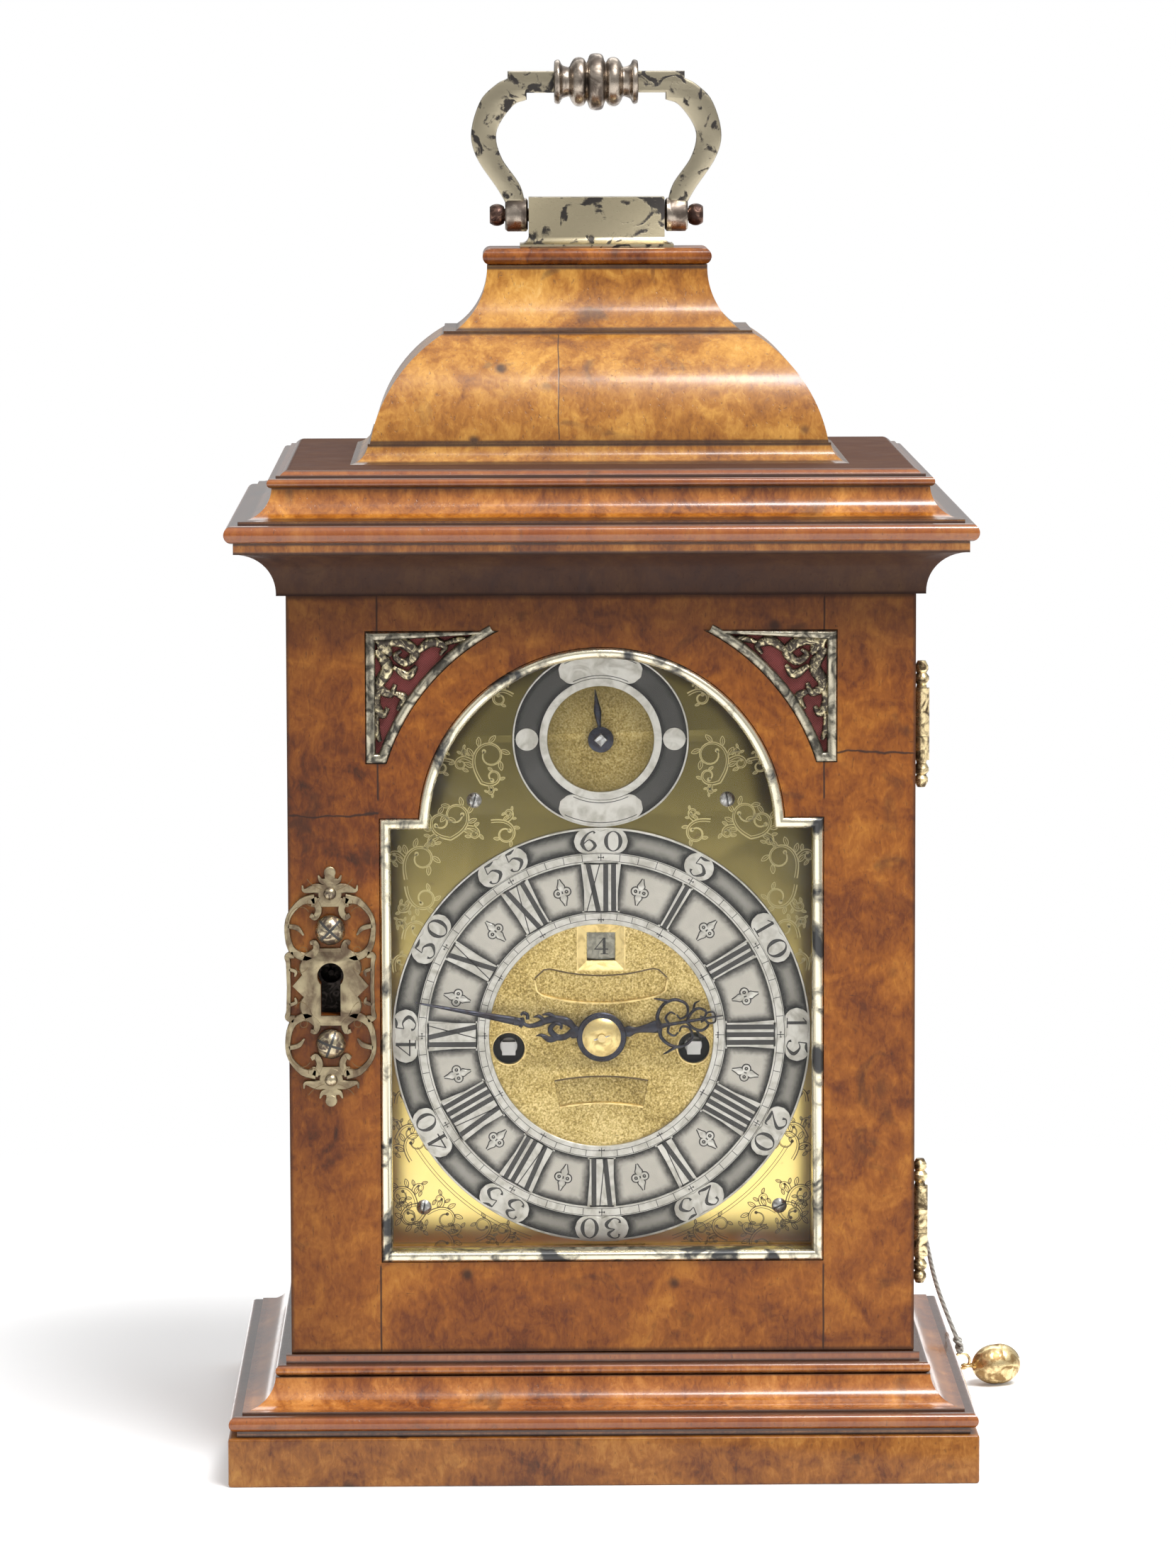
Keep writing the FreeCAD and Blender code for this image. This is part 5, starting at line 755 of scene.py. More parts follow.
def on_dial(angle, centre=DIAL_CENTRE):
    """Turns rows of across and radius into x and z, clockwise from twelve."""
    sine, cosine = math.sin(math.radians(angle)), math.cos(math.radians(angle))

    def move(rows):
        rows = np.asarray(rows, float)
        across, radius = rows[:, 0], rows[:, 1]
        return np.column_stack([centre[0] + radius * sine + across * cosine,
                                centre[1] + radius * cosine - across * sine])

    return move


print("grid helpers are ready")

# %% [markdown]
# ## The hour ring
# The silvered ring is champlevé work: the ground between numerals is cut away and
# left matt, so numerals, tracks and number plaques stand proud.  Its body is a
# profile with two grooves turned about the dial's centre, and the raised work is
# laid into the grooves up to the level of the rim.

# %% Ring body
RING_BACK, RING_FRONT, RING_FLOOR = -57.0, -58.5, -58.15
RIM_OUT, MINUTE_BAND, TRACK_IN, HOUR_IN, RIM_IN = 62.45, 55.4, 52.4, 37.4, 33.8
body = Heap()
ring_of(body, [
    (63.0, RING_BACK), (63.0, RING_FRONT + 0.1), (62.9, RING_FRONT), (RIM_OUT, RING_FRONT),
    (RIM_OUT, RING_FLOOR), (MINUTE_BAND, RING_FLOOR), (MINUTE_BAND, RING_FRONT),
    (TRACK_IN, RING_FRONT), (TRACK_IN, RING_FLOOR), (HOUR_IN, RING_FLOOR),
    (HOUR_IN, RING_FRONT), (RIM_IN + 0.1, RING_FRONT), (RIM_IN, RING_FRONT + 0.1),
    (RIM_IN, RING_BACK)], DIAL_CENTRE, 180)
ring_body = solid_piece("chapter_ring_body", body, silver_bright, "case")
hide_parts("chapter_ring")

# %% [markdown]
# The cut-away panels are paler in the middle and almost black at their edges,
# where the graver left its ground rough.  Each panel is a grid whose points carry
# their distance from the panel's edge, and the finish reads that number.

# %% Recessed panels
def panel_finish(name, pale, dark, soft):
    made = Finish(name)
    edge = made.node("ShaderNodeAttribute", {"attribute_name": "edge"}, {}, "Fac")
    smudge = made.noise(1.6, 4.0, 1.0)
    lit = (edge + smudge * 1.3 - 0.65).step(0.15, soft)
    colour = made.mix(lit, dark, made.mix(made.noise(3, 4.0), tuple(0.78 * c for c in pale),
                                          pale))
    grain = made.noise(0.35, 2.0)
    return made.wear(Base_Color=colour, Roughness=grain * 0.2 + 0.42, Metallic=0.75,
                     Normal=made.bump(grain, 0.08, 0.7))


def panels(name, spans, low, high, level, finish, centre=DIAL_CENTRE, lobe=0.0):
    """Curved panels between pairs of angles and two radii; stores the edge distance.

    With a lobe, the ends run under round plaque ends of that radius."""
    heap, distances = Heap(), []
    for begin, end in spans:
        angle, radius = np.meshgrid(np.radians(np.linspace(begin, end, 22)),
                                    np.linspace(low, high, 14), indexing="ij")
        points = np.stack([centre[0] + radius * np.sin(angle), np.full_like(radius, level),
                           centre[1] + radius * np.cos(angle)], -1)
        side = radius * np.minimum(angle - math.radians(begin), math.radians(end) - angle)
        if lobe:
            side = np.maximum(np.hypot(side, radius - (low + high) / 2) - lobe, 0)
        distances.append(np.minimum(side, np.minimum(radius - low, high - radius)).ravel())
        heap.grid(points)
    made = solid_piece(name, heap, finish, "case", facing=(0, -1, 0))
    stored = made.data.attributes.new("edge", "FLOAT", "POINT")
    stored.data.foreach_set("value", np.concatenate(distances).astype(np.float32))
    return made


hour_panel = panel_finish("hour_panel", (0.56, 0.53, 0.47), (0.035, 0.034, 0.032), 3.2)
minute_panel = panel_finish("minute_panel", (0.34, 0.325, 0.29), (0.022, 0.022, 0.021), 3.4)

# %% [markdown]
# Roman numerals are bars and slants between two serifs.  Each glyph is a list of
# strokes across and along the radius; a raised bright ground carries the wide
# black-filled strokes, with the tops of the numerals towards the rim.

# %% Numerals
NUMERALS = ["XII", "I", "II", "III", "IIII", "V", "VI", "VII", "VIII", "IX", "X", "XI"]
ADVANCE = {"I": 2.35, "V": 4.7, "X": 5.2}
FOOT, HEAD = HOUR_IN + 0.25, TRACK_IN - 0.2
THICK, THIN = 1.5, 0.32


def glyph(letter, left):
    """Strokes of a letter as pairs of ends and a width, from its left edge."""
    wide = ADVANCE[letter]
    if letter == "I":
        return [((left + wide / 2, FOOT), (left + wide / 2, HEAD), THICK)]
    thick_end = left + wide - 1.0 if letter == "X" else left + wide / 2 + 0.2
    thin_end = left + 0.7 if letter == "X" else left + wide / 2 + 0.3
    return [((thick_end, FOOT), (left + 1.0, HEAD), THICK),
            ((thin_end, FOOT), (left + wide - 0.6, HEAD), THIN)]


ground, wax, spans = Heap(), Heap(), []
for hour, letters in enumerate(NUMERALS):
    move = on_dial(30 * hour)
    width = sum(ADVANCE[letter] for letter in letters)
    half = width / 2 + 0.1
    slab(ground, move([(-half, HOUR_IN - 0.1), (half, HOUR_IN - 0.1), (half, TRACK_IN + 0.1),
                       (-half, TRACK_IN + 0.1)][::-1]), RING_FLOOR, 0.35)
    for level in (HOUR_IN + 0.2, TRACK_IN - 0.3):
        serif = [(-half - 0.55, level - 0.22), (half + 0.55, level - 0.22),
                 (half + 0.55, level + 0.22), (-half - 0.55, level + 0.22)]
        slab(ground, move(serif[::-1]), RING_FLOOR, 0.35)
    left = -width / 2
    for letter in letters:
        for low, high, wide in glyph(letter, left):
            stroke(wax, move([low, high]), [wide, wide], RING_FRONT, 0.02, INK_SECTION)
        left += ADVANCE[letter]
    edge = math.degrees(half / 45.0) + 0.15
    following = sum(ADVANCE[letter] for letter in NUMERALS[(hour + 1) % 12]) / 2 + 0.1
    spans.append((30 * hour + edge, 30 * hour + 30 - math.degrees(following / 45.0) - 0.15))
solid_piece("numeral_grounds", ground, silver_bright, "case")
panels("hour_panels", spans, HOUR_IN + 0.05, TRACK_IN - 0.05, RING_FLOOR - 0.03, hour_panel)

# %% [markdown]
# Minute numbers sit on double-lobed plaques.  A digit is two or three strokes with
# thick and thin places, drawn in a box one unit high, as a graver would cut it.

# %% Minute plaques and digits
DIGITS = {
    "0": [[(0.30, 1.0, 0.04), (0.10, 0.84, 0.10), (0.03, 0.5, 0.17), (0.10, 0.16, 0.10),
           (0.30, 0.0, 0.04), (0.50, 0.16, 0.10), (0.57, 0.5, 0.17), (0.50, 0.84, 0.10)]],
    "1": [[(0.12, 0.80, 0.04), (0.30, 1.0, 0.05)], [(0.31, 1.0, 0.13), (0.31, 0.0, 0.13)],
          [(0.12, 0.01, 0.04), (0.50, 0.01, 0.04)]],
    "2": [[(0.12, 0.70, 0.12), (0.10, 0.90, 0.06), (0.30, 1.0, 0.05), (0.52, 0.74, 0.15),
           (0.34, 0.40, 0.08), (0.06, 0.05, 0.04)],
          [(0.06, 0.05, 0.05), (0.28, 0.08, 0.13), (0.56, 0.05, 0.08), (0.60, 0.2, 0.03)]],
    "3": [[(0.10, 0.80, 0.10), (0.14, 0.97, 0.05), (0.34, 1.0, 0.06), (0.50, 0.78, 0.13),
           (0.26, 0.56, 0.03)],
          [(0.26, 0.56, 0.03), (0.50, 0.50, 0.08), (0.57, 0.28, 0.16), (0.32, 0.0, 0.05),
           (0.10, 0.08, 0.06), (0.08, 0.24, 0.12)]],
    "4": [[(0.44, 1.0, 0.05), (0.02, 0.30, 0.04)], [(0.0, 0.30, 0.06), (0.62, 0.30, 0.06)],
          [(0.44, 1.0, 0.14), (0.44, 0.0, 0.14)], [(0.28, 0.01, 0.04), (0.60, 0.01, 0.04)]],
    "5": [[(0.16, 0.98, 0.06), (0.34, 0.96, 0.12), (0.54, 1.02, 0.03)],
          [(0.17, 0.98, 0.05), (0.13, 0.58, 0.04)],
          [(0.13, 0.58, 0.03), (0.36, 0.64, 0.07), (0.57, 0.32, 0.16), (0.32, 0.0, 0.05),
           (0.12, 0.07, 0.06), (0.08, 0.22, 0.12)]],
    "6": [[(0.52, 0.90, 0.10), (0.44, 1.0, 0.05), (0.20, 0.80, 0.09), (0.05, 0.36, 0.17),
           (0.28, 0.0, 0.05), (0.54, 0.28, 0.15), (0.32, 0.58, 0.05), (0.10, 0.36, 0.05)]],
}


def write_number(heap, text, place, height, face):
    """Writes plain digits, centred on a place given as across and radius."""
    step = 1.22 * height
    start = -step * (len(text) - 1) / 2 - 0.40 * height
    for order, digit in enumerate(text):
        for corners in DIGITS[digit]:
            rows = np.array(corners)
            rows[:, 0] = start + step * order + rows[:, 0] * height * 1.35
            rows[:, 1] = (rows[:, 1] - 0.5) * height
            rows[:, 2] *= height * 1.2
            drawn(heap, rows, face, 0.02, INK_SECTION, 22, digit == "0", place)


plaques, minute_spans = Heap(), []
for count in range(12):
    text = str(5 * (count if count else 12))
    half = 8.1 if len(text) == 2 else 4.6
    lobe = 3.75
    sideways = np.linspace(-half, half, 33)
    beyond = np.maximum(np.abs(sideways) - (half - lobe), 0)
    tall = np.sqrt(np.maximum(lobe ** 2 - beyond ** 2, 0.02))
    tall = np.minimum(tall, 3.52)
    notch = np.exp(-(sideways / 0.9) ** 2) * (0.5 if len(text) == 2 else 0.0)
    upper = np.column_stack([sideways, 58.93 + tall - notch])
    lower = np.column_stack([sideways, 58.93 - tall + notch])[::-1]
    move = on_dial(30 * count)
    slab(plaques, move(np.vstack([upper, lower])), RING_FLOOR, 0.38, 0.06)

    def on_plaque(rows, move=move):
        return move(rows + np.array([0.0, 58.93]))

    write_number(wax, text, on_plaque, 6.0, RING_FRONT - 0.03)
    edge = math.degrees((half - lobe) / 58.9)
    after = str(5 * (count + 1))
    next_half = 8.1 if len(after) == 2 else 4.6
    minute_spans.append((30 * count + edge,
                         30 * count + 30 - math.degrees((next_half - lobe) / 58.9)))
solid_piece("minute_plaques", plaques, silver_bright, "case")
panels("minute_panels", minute_spans, MINUTE_BAND + 0.05, RIM_OUT - 0.05, RING_FLOOR - 0.03,
       minute_panel, lobe=lobe)

# %% [markdown]
# The tracks are fine cut lines filled with black wax: sixty boxes for the minutes,
# forty-eight for the quarter hours, a small cross at each hour, and a raised mark
# of two leaves and two rings at each half hour, over a wider black copy of itself
# that paints its shadow.

# %% Tracks and half-hour marks
def wax_circle(radius, width, centre=DIAL_CENTRE, face=RING_FRONT, count=240):
    stroke(wax, circle(radius, *centre, count), np.full(count, width), face, 0.015,
           INK_SECTION, closed=True)


for radius in (55.15, 52.95, 37.15, 35.25):
    wax_circle(radius, 0.16)
for minute in range(60):
    move = on_dial(6 * minute)
    stroke(wax, move([(0, 52.95), (0, 55.15)]), [0.2, 0.2], RING_FRONT, 0.015, INK_SECTION)
for quarter in range(48):
    move = on_dial(7.5 * quarter)
    stroke(wax, move([(0, 35.25), (0, 37.15)]), [0.18, 0.18], RING_FRONT, 0.015, INK_SECTION)
for hour in range(12):
    for radius in (54.05, 35.1):
        move = on_dial(30 * hour)
        stroke(wax, move([(-0.95, radius), (0.95, radius)]), [0.22, 0.22], RING_FRONT, 0.018,
               INK_SECTION)
        for side in (-0.75, 0.75):
            stroke(wax, move([(side, radius - 0.32), (side, radius + 0.32)]), [0.25, 0.25],
                   RING_FRONT, 0.018, INK_SECTION)
        stroke(wax, move([(0, radius - 0.8), (0, radius + 0.8)]), [0.25, 0.25], RING_FRONT,
               0.018, INK_SECTION)
solid_piece("ring_wax", wax, black_wax_and_painted_shade, "case")

marks, shadows = Heap(), Heap()
for hour in range(12):
    move = on_dial(30 * hour + 15)
    for heap, level, rise, extra in ((shadows, RING_FLOOR - 0.02, 0.06, 0.7),
                                     (marks, RING_FLOOR, 0.35, 0.0)):
        for sign in (-1, 1):
            leaf = [(0, 44.9 + sign * 0.4, 0.7 + extra), (0, 44.9 + sign * 1.7, 2.0 + extra),
                    (0, 44.9 + sign * 2.8, 1.1 + extra), (0, 44.9 + sign * 4.2, 0.1 + extra)]
            drawn(heap, leaf, level, rise, FLAT_SECTION, 12, False, move)
            ring = circle(0.85, sign * 1.3, 44.9, 14)
            stroke(heap, move(ring), np.full(14, 0.62 + extra), level, rise, FLAT_SECTION,
                   True)
solid_piece("half_hour_marks", marks, silver_bright, "case")
# painted shadow: a wider black copy of each half-hour mark lies under it
solid_piece("half_hour_painted_shadow", shadows, black_wax_and_painted_shade, "case")

# %% [markdown]
# ## The strike ring
# The small ring in the arch is made the same way.  Its two curved plaques once
# carried words, which are left off here, so they stay bare, and two roundels stand
# between them.

# %% Strike ring
STRIKE_BACK, STRIKE_FRONT, STRIKE_FLOOR = -57.0, -58.2, -57.9
small = Heap()
ring_of(small, [
    (26.5, STRIKE_BACK), (26.5, STRIKE_FRONT + 0.1), (26.4, STRIKE_FRONT),
    (26.0, STRIKE_FRONT), (26.0, STRIKE_FLOOR), (18.3, STRIKE_FLOOR), (18.3, STRIKE_FRONT),
    (16.1, STRIKE_FRONT), (16.0, STRIKE_FRONT + 0.1), (16.0, STRIKE_BACK)],
    STRIKE_CENTRE, 120)
strike_body = solid_piece("strike_ring_body", small, silver_bright, "case")
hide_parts("strike_ring")
plates = Heap()
for middle in (0, 180):
    across = np.linspace(-1, 1, 33)
    reach = np.sqrt(np.maximum(1 - np.maximum((np.abs(across) - 0.72) / 0.28, 0) ** 2, 0.002))
    angle = np.radians(middle + 33.0 * across)
    outer, inner = 22.2 + 3.75 * reach, 22.2 - 3.75 * reach
    rim = [np.column_stack([STRIKE_CENTRE[0] + r * np.sin(angle),
                            STRIKE_CENTRE[1] + r * np.cos(angle)]) for r in (outer, inner)]
    slab(plates, np.vstack([rim[0], rim[1][::-1]]), STRIKE_FLOOR, 0.3, 0.06)
for sign in (-1, 1):
    slab(plates, circle(3.4, sign * 22.1, STRIKE_CENTRE[1], 30), STRIKE_FLOOR, 0.3, 0.06)
solid_piece("strike_plaques", plates, silver_bright, "case")
strike_panel = panel_finish("strike_panel", (0.08, 0.077, 0.072), (0.022, 0.022, 0.021), 2.2)
panels("strike_panels", [(0.1, 89.9), (90.1, 179.9), (180.1, 269.9), (270.1, 359.9)], 18.35,
       25.95, STRIKE_FLOOR - 0.03, strike_panel, STRIKE_CENTRE)
outlines = Heap()
for middle in (0, 180):
    for shift in (-3.0, 3.0):
        bend = np.radians(np.linspace(middle - 25.5, middle + 25.5, 30))
        arc = np.column_stack([STRIKE_CENTRE[0] + (22.2 + shift) * np.sin(bend),
                               STRIKE_CENTRE[1] + (22.2 + shift) * np.cos(bend)])
        stroke(outlines, arc, np.full(30, 0.22), STRIKE_FLOOR - 0.3, 0.02, INK_SECTION)
solid_piece("strike_plaque_lines", outlines, black_wax_and_painted_shade, "case")

# %% [markdown]
# ## The dial plate
# Windows and cartouches are sunk into the dial.  The front layer is cut out along
# their outlines by Blender's flat curves, which fill an outline and leave its holes
# open, and a thin back layer closes all but the holes that go right through.

# %% Cut-out plates
def cut_plate(name, outline, holes, front, thickness, bevel, finish, body):
    """A plate seen from the front, with bevelled edges and holes, as one mesh."""
    flat = bpy.data.curves.new(name, "CURVE")
    flat.dimensions = "2D"
    flat.fill_mode = "BOTH"
    flat.extrude = (thickness / 2 - bevel) * MM
    flat.bevel_depth = bevel * MM
    flat.offset = -bevel * MM
    flat.bevel_resolution = 1
    for loop in [outline, *holes]:
        spline = flat.splines.new("POLY")
        spline.points.add(len(loop) - 1)
        rows = np.column_stack([np.asarray(loop) * MM, np.zeros(len(loop)), np.ones(len(loop))])
        spline.points.foreach_set("co", rows.ravel())
        spline.use_cyclic_u = True
    pattern = bpy.data.objects.new(name, flat)
    bpy.context.scene.collection.objects.link(pattern)
    mesh = bpy.data.meshes.new_from_object(pattern)
    bpy.data.objects.remove(pattern)
    points = np.zeros(len(mesh.vertices) * 3)
    mesh.vertices.foreach_get("co", points)
    points = points.reshape(-1, 3) / MM
    seen = np.column_stack([points[:, 0], front + thickness / 2 - points[:, 2],
                            points[:, 1]])
    heap = Heap()
    heap.add(seen, [list(face.vertices) for face in mesh.polygons])
    return solid_piece(name, heap, finish, body)


def break_arch(half, bottom, shoulder, radius, centre=194.8, count=64):
    """A square-shouldered outline with a round arch over its middle."""
    foot = math.sqrt(radius ** 2 - (shoulder - centre) ** 2)
    start = math.atan2(shoulder - centre, foot)
    angle = np.linspace(start, math.pi - start, count)
    arch = np.column_stack([radius * np.cos(angle), centre + radius * np.sin(angle)])
    return np.vstack([[(-half, bottom), (half, bottom), (half, shoulder)], arch,
                      [(-half, shoulder)]])


def square(half, x, z, tall=None):
    tall = half if tall is None else tall
    return np.array([(x - half, z - tall), (x + half, z - tall), (x + half, z + tall),
                     (x - half, z + tall)])


def curved_slot(radius, half_angle, middle, half_tall, round_ends, count=24, upward=True):
    """A cartouche bent about a centre above or below it."""
    angle = np.radians(np.linspace(-half_angle, half_angle, count))
    sign = 1 if upward else -1
    centre = middle + sign * radius
    taper = np.ones(count)
    if round_ends:
        share = np.abs(np.linspace(-1, 1, count))
        taper = np.sqrt(np.maximum(1 - np.maximum((share - 0.78) / 0.22, 0) ** 2, 0.01))
    outer, inner = radius + half_tall * taper, radius - half_tall * taper
    rim = [np.column_stack([r * np.sin(angle), centre - sign * r * np.cos(angle)])
           for r in (outer, inner)]
    return np.vstack([rim[0], rim[1][::-1]])


DIAL_FRONT, DIAL_BACK = -57.0, -55.2
WINDING = [(-27.9, 126.6), (27.9, 126.6)]
SCREWS = [(-53.7, 78.2), (53.7, 78.2), (-38.0, 202.0), (38.0, 202.0)]
DATE = (0.0, 157.4)
dial_outline = break_arch(65.4, 64.9, 196.4, 53.4)
name_slot = curved_slot(62.0, 19.0, 144.4, 4.5, True, upward=True)
town_slot = curved_slot(70.0, 11.0, 113.8, 4.4, False, upward=False)
through = [circle(4.8, x, z, 40) for x, z in WINDING] + [circle(3.6, *DIAL_CENTRE, 32),
                                                        circle(1.3, *STRIKE_CENTRE, 20)]
layers = cut_plate("dial_sheet", dial_outline,
                   through + [square(7.2, *DATE), name_slot, town_slot],
                   DIAL_FRONT, 1.1, 0.12, dial_gilt, "case")
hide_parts("dial_plate")
cut_plate("dial_backing", dial_outline, through + [square(4.25, *DATE)], DIAL_FRONT + 1.1,
          0.7, 0.02, dial_gilt, "case")

# %% [markdown]
# A sloping frame leads down to the date, and each winding hole has a bright turned
# rim.  The four feet that hold the dial to the front plate stand behind it.

# %% Date frame, rims and feet
DATE_DEEP = DIAL_FRONT + 1.15
rings = [(7.35, DIAL_FRONT - 0.25), (6.9, DIAL_FRONT - 0.25), (4.3, DATE_DEEP),
         (4.3, DATE_DEEP + 0.1), (7.35, DATE_DEEP + 0.1)]
funnel = Heap()
corners = np.array([(-1, -1), (1, -1), (1, 1), (-1, 1)])
points = np.array([[(DATE[0] + reach * x, depth, DATE[1] + reach * z) for x, z in corners]
                   for reach, depth in rings])
funnel.grid(points, around_rows=True, around_columns=True)
solid_piece("date_frame", funnel, collet_brass, "case", sharp=20)
rims = Heap()
for x, z in WINDING:
    ring_of(rims, [(4.8, DIAL_FRONT + 0.9), (4.8, DIAL_FRONT - 0.12),
                   (5.0, DIAL_FRONT - 0.22), (5.25, DIAL_FRONT - 0.12),
                   (5.3, DIAL_FRONT + 0.1), (5.3, DIAL_FRONT + 0.9)], (x, z), 48)
solid_piece("winding_rims", rims, collet_brass, "case")
feet = Heap()
for x, z in SCREWS:
    lathe(feet, [(0, DIAL_BACK - 0.3), (2.9, DIAL_BACK - 0.3), (2.6, DIAL_BACK + 1.2),
                 (2.0, DIAL_BACK + 5), (2.6, DIAL_BACK + 11.2), (2.6, DIAL_BACK + 12.2),
                 (0, DIAL_BACK + 12.2)], (x, 0, z), "y", 24)
lathe(feet, [(0, DIAL_BACK - 0.3), (1.2, DIAL_BACK - 0.3), (1.2, DIAL_BACK + 2.0),
             (2.4, DIAL_BACK + 2.0), (2.4, DIAL_BACK + 2.5), (0, DIAL_BACK + 2.5)],
      (0, 0, 178.4), "y", 24)
solid_piece("dial_feet", feet, movement_brass, "case")
date_figure = Heap()
write_number(date_figure, "4", lambda rows: rows + np.array(DATE), 5.0, -54.7)
solid_piece("date_figure", date_figure, black_wax_and_painted_shade, "date_disc")

# %% [markdown]
# Each cartouche is cut with a slope.  A bright brass strip along its lower edge is
# a painted highlight, and a dark strip along its upper edge is painted shade.

# %% Cartouche slopes
shining, shaded = Heap(), Heap()
for outline, lit_first in ((name_slot, True), (town_slot, False)):
    halves = outline[:len(outline) // 2], outline[len(outline) // 2:]
    lit, dim = halves if lit_first else halves[::-1]
    stroke(shining, lit, np.full(len(lit), 1.3), DIAL_FRONT + 1.12, 1.0)
    stroke(shaded, dim, np.full(len(dim), 1.0), DIAL_FRONT + 1.12, 0.95)
# painted highlight on the lower rims and painted shade on the upper rims
solid_piece("cartouche_lit_edges", shining, collet_brass, "case")
solid_piece("cartouche_shaded_edges", shaded, engraving, "case")

# %% [markdown]
# ## Engraved scrolls
# The dial's corners are filled with line-engraved scrolls.  A scroll sets off in a
# straight line and winds in ever tighter, and small leaves spring from its outer
# side.  These scrolls are our own plain pattern, drawn as very thin strokes: dark
# in the corners, and pale in the arch as painted highlights of the cuts.

# %% Scroll engraving
def curl(x, z, heading, length, turning, sharp=1.7, count=30):
    """A middle line that winds in by a number of degrees, ever tighter."""
    share = np.linspace(0, 1, count)
    angle = np.radians(heading + turning * share ** sharp)
    step = length / (count - 1)
    east = x + np.concatenate([[0], np.cumsum(np.cos(angle[:-1]))]) * step
    north = z + np.concatenate([[0], np.cumsum(np.sin(angle[:-1]))]) * step
    return np.column_stack([east, north]), angle


def leaf_lines(heap, x, z, heading, length, wide, face, pen=0.24):
    """A leaf drawn by its two bowed edges and its rib."""
    heading = math.radians(heading)
    along = np.array([math.cos(heading), math.sin(heading)])
    aside = np.array([-along[1], along[0]])
    share = np.linspace(0, 1, 9)[:, None]
    spine = np.array([x, z]) + along * length * share
    for side in (-1, 1):
        edge = spine + aside * side * wide * np.sin(np.pi * share) ** 0.8
        stroke(heap, edge, np.full(9, pen), face, 0.02, INK_SECTION)
    stroke(heap, spine[:7], np.full(7, pen * 0.7), face, 0.02, INK_SECTION)


def scroll(heap, x, z, heading, length, turning, face, leaves=5, pen=0.42, leaf=2.8):
    """A doubled scroll line with leaves on its outer side and an eye at its end."""
    path, angle = curl(x, z, heading, length * 1.45, turning)
    path[:, 0] = path[:, 0].clip(-64.6, 64.6)
    widths = np.linspace(pen, pen * 0.7, len(path))
    stroke(heap, path, widths, face, 0.02, INK_SECTION)
    beside = path + normals_of(path) * (0.5 * np.sign(turning)) * np.linspace(
        1.6, 0.4, len(path))[:, None]
    stroke(heap, beside, widths * 0.6, face, 0.02, INK_SECTION)
    for index in np.linspace(5, len(path) * 0.72, leaves).astype(int):
        outward = math.degrees(angle[index]) - np.sign(turning) * 55
        leaf_lines(heap, *path[index], outward, leaf, 0.22 * leaf, face)
    slab(heap, circle(pen * 1.6, *path[-1], 10), face, 0.02)
    if length > 9:
        index = len(path) // 4
        scroll(heap, *path[index], math.degrees(angle[index]) - np.sign(turning) * 70,
               length * 0.42, -0.95 * turning, face, 3, pen * 0.8, leaf * 0.7)


corners_cut, arch_cut = Heap(), Heap()
FACE = DIAL_FRONT - 0.005
for sign in (-1, 1):
    def mirror(x, heading, turning):
        return (x, heading, turning) if sign > 0 else (-x, 180 - heading, -turning)

    def low(x, z, heading, length, turning, **more):
        x, heading, turning = mirror(x, heading, turning)
        scroll(corners_cut, x, z, heading, length, turning, FACE, pen=0.32, **more)

    def high(x, z, heading, length, turning, **more):
        x, heading, turning = mirror(x, heading, turning)
        scroll(arch_cut, x, z, heading, length, turning, FACE, **more)

    low(53, 76.5, 150, 15, 420, leaves=5, leaf=2.8)
    low(53, 76.5, -60, 12, 400, leaves=4)
    low(55.5, 78.5, 80, 15, -430, leaves=5, leaf=2.8)
    low(55.5, 79.5, -10, 12, -380, leaves=3)
    low(50, 72.5, 205, 16, 400, leaves=5)
    low(38, 67.5, 160, 13, -420, leaves=4, leaf=2.0)
    low(30, 67.0, 140, 10, -400, leaves=3, leaf=1.6)
    low(58, 92, 60, 15, 400, leaves=5)
    low(62.5, 99, 110, 13, 420, leaves=4, leaf=2.0)
    low(62.5, 110, 95, 9, 380, leaves=3, leaf=1.4)
    high(59, 178, 80, 20, 430, leaves=6, leaf=3.0)
    high(59, 176, -100, 17, -420, leaves=5, leaf=2.4)
    high(45, 190, 150, 19, -440, leaves=6, leaf=2.8)
    high(45, 190, 10, 15, 420, leaves=5)
    high(33, 196, 175, 15, 430, leaves=4, leaf=2.0)
    high(36, 207, 60, 22, 440, leaves=6, leaf=3.0)
    high(36, 207, 200, 10, -380, leaves=3, leaf=1.8)
    high(44, 214, 20, 10, -400, leaves=3, leaf=1.8)
    high(26, 234, 30, 11, -420, leaves=3, leaf=1.6)
    high(60, 160, 100, 13, 400, leaves=4, leaf=2.0)
    high(62.5, 150, 80, 10, 380, leaves=3, leaf=1.4)
    border = np.array([(64.0 * sign, 97.5), (64.0 * sign, 66.2), (22.0 * sign, 66.2)])
    for inset in (0.0, 1.0):
        moved = border + np.array([(-inset * sign, -inset * 2), (-inset * sign, inset),
                                   (inset * sign * 2, inset)])
        for first, second in zip(moved, moved[1:]):
            stroke(corners_cut, [first, second], [0.16, 0.16], FACE, 0.02, INK_SECTION)
    for inset in (0.0, 0.9):
        bend = np.radians(np.linspace(-71.0, -31.5, 30))
        arc = np.column_stack([sign * (65.2 + inset) * np.cos(bend),
                               DIAL_CENTRE[1] + (65.2 + inset) * np.sin(bend)])
        stroke(corners_cut, arc, np.full(30, 0.16), FACE, 0.02, INK_SECTION)
solid_piece("corner_scrolls", corners_cut, engraving, "case")
# painted highlight: the arch's scrolls are pale
solid_piece("arch_scrolls", arch_cut, engraving_painted_highlight, "case")

# %% [markdown]
# ## The hands
# Hands are sawn from blued steel and filed to thin rounded bars.  Each is a set of
# tapering strokes laid out from the centre towards its tip, then turned to the hour.

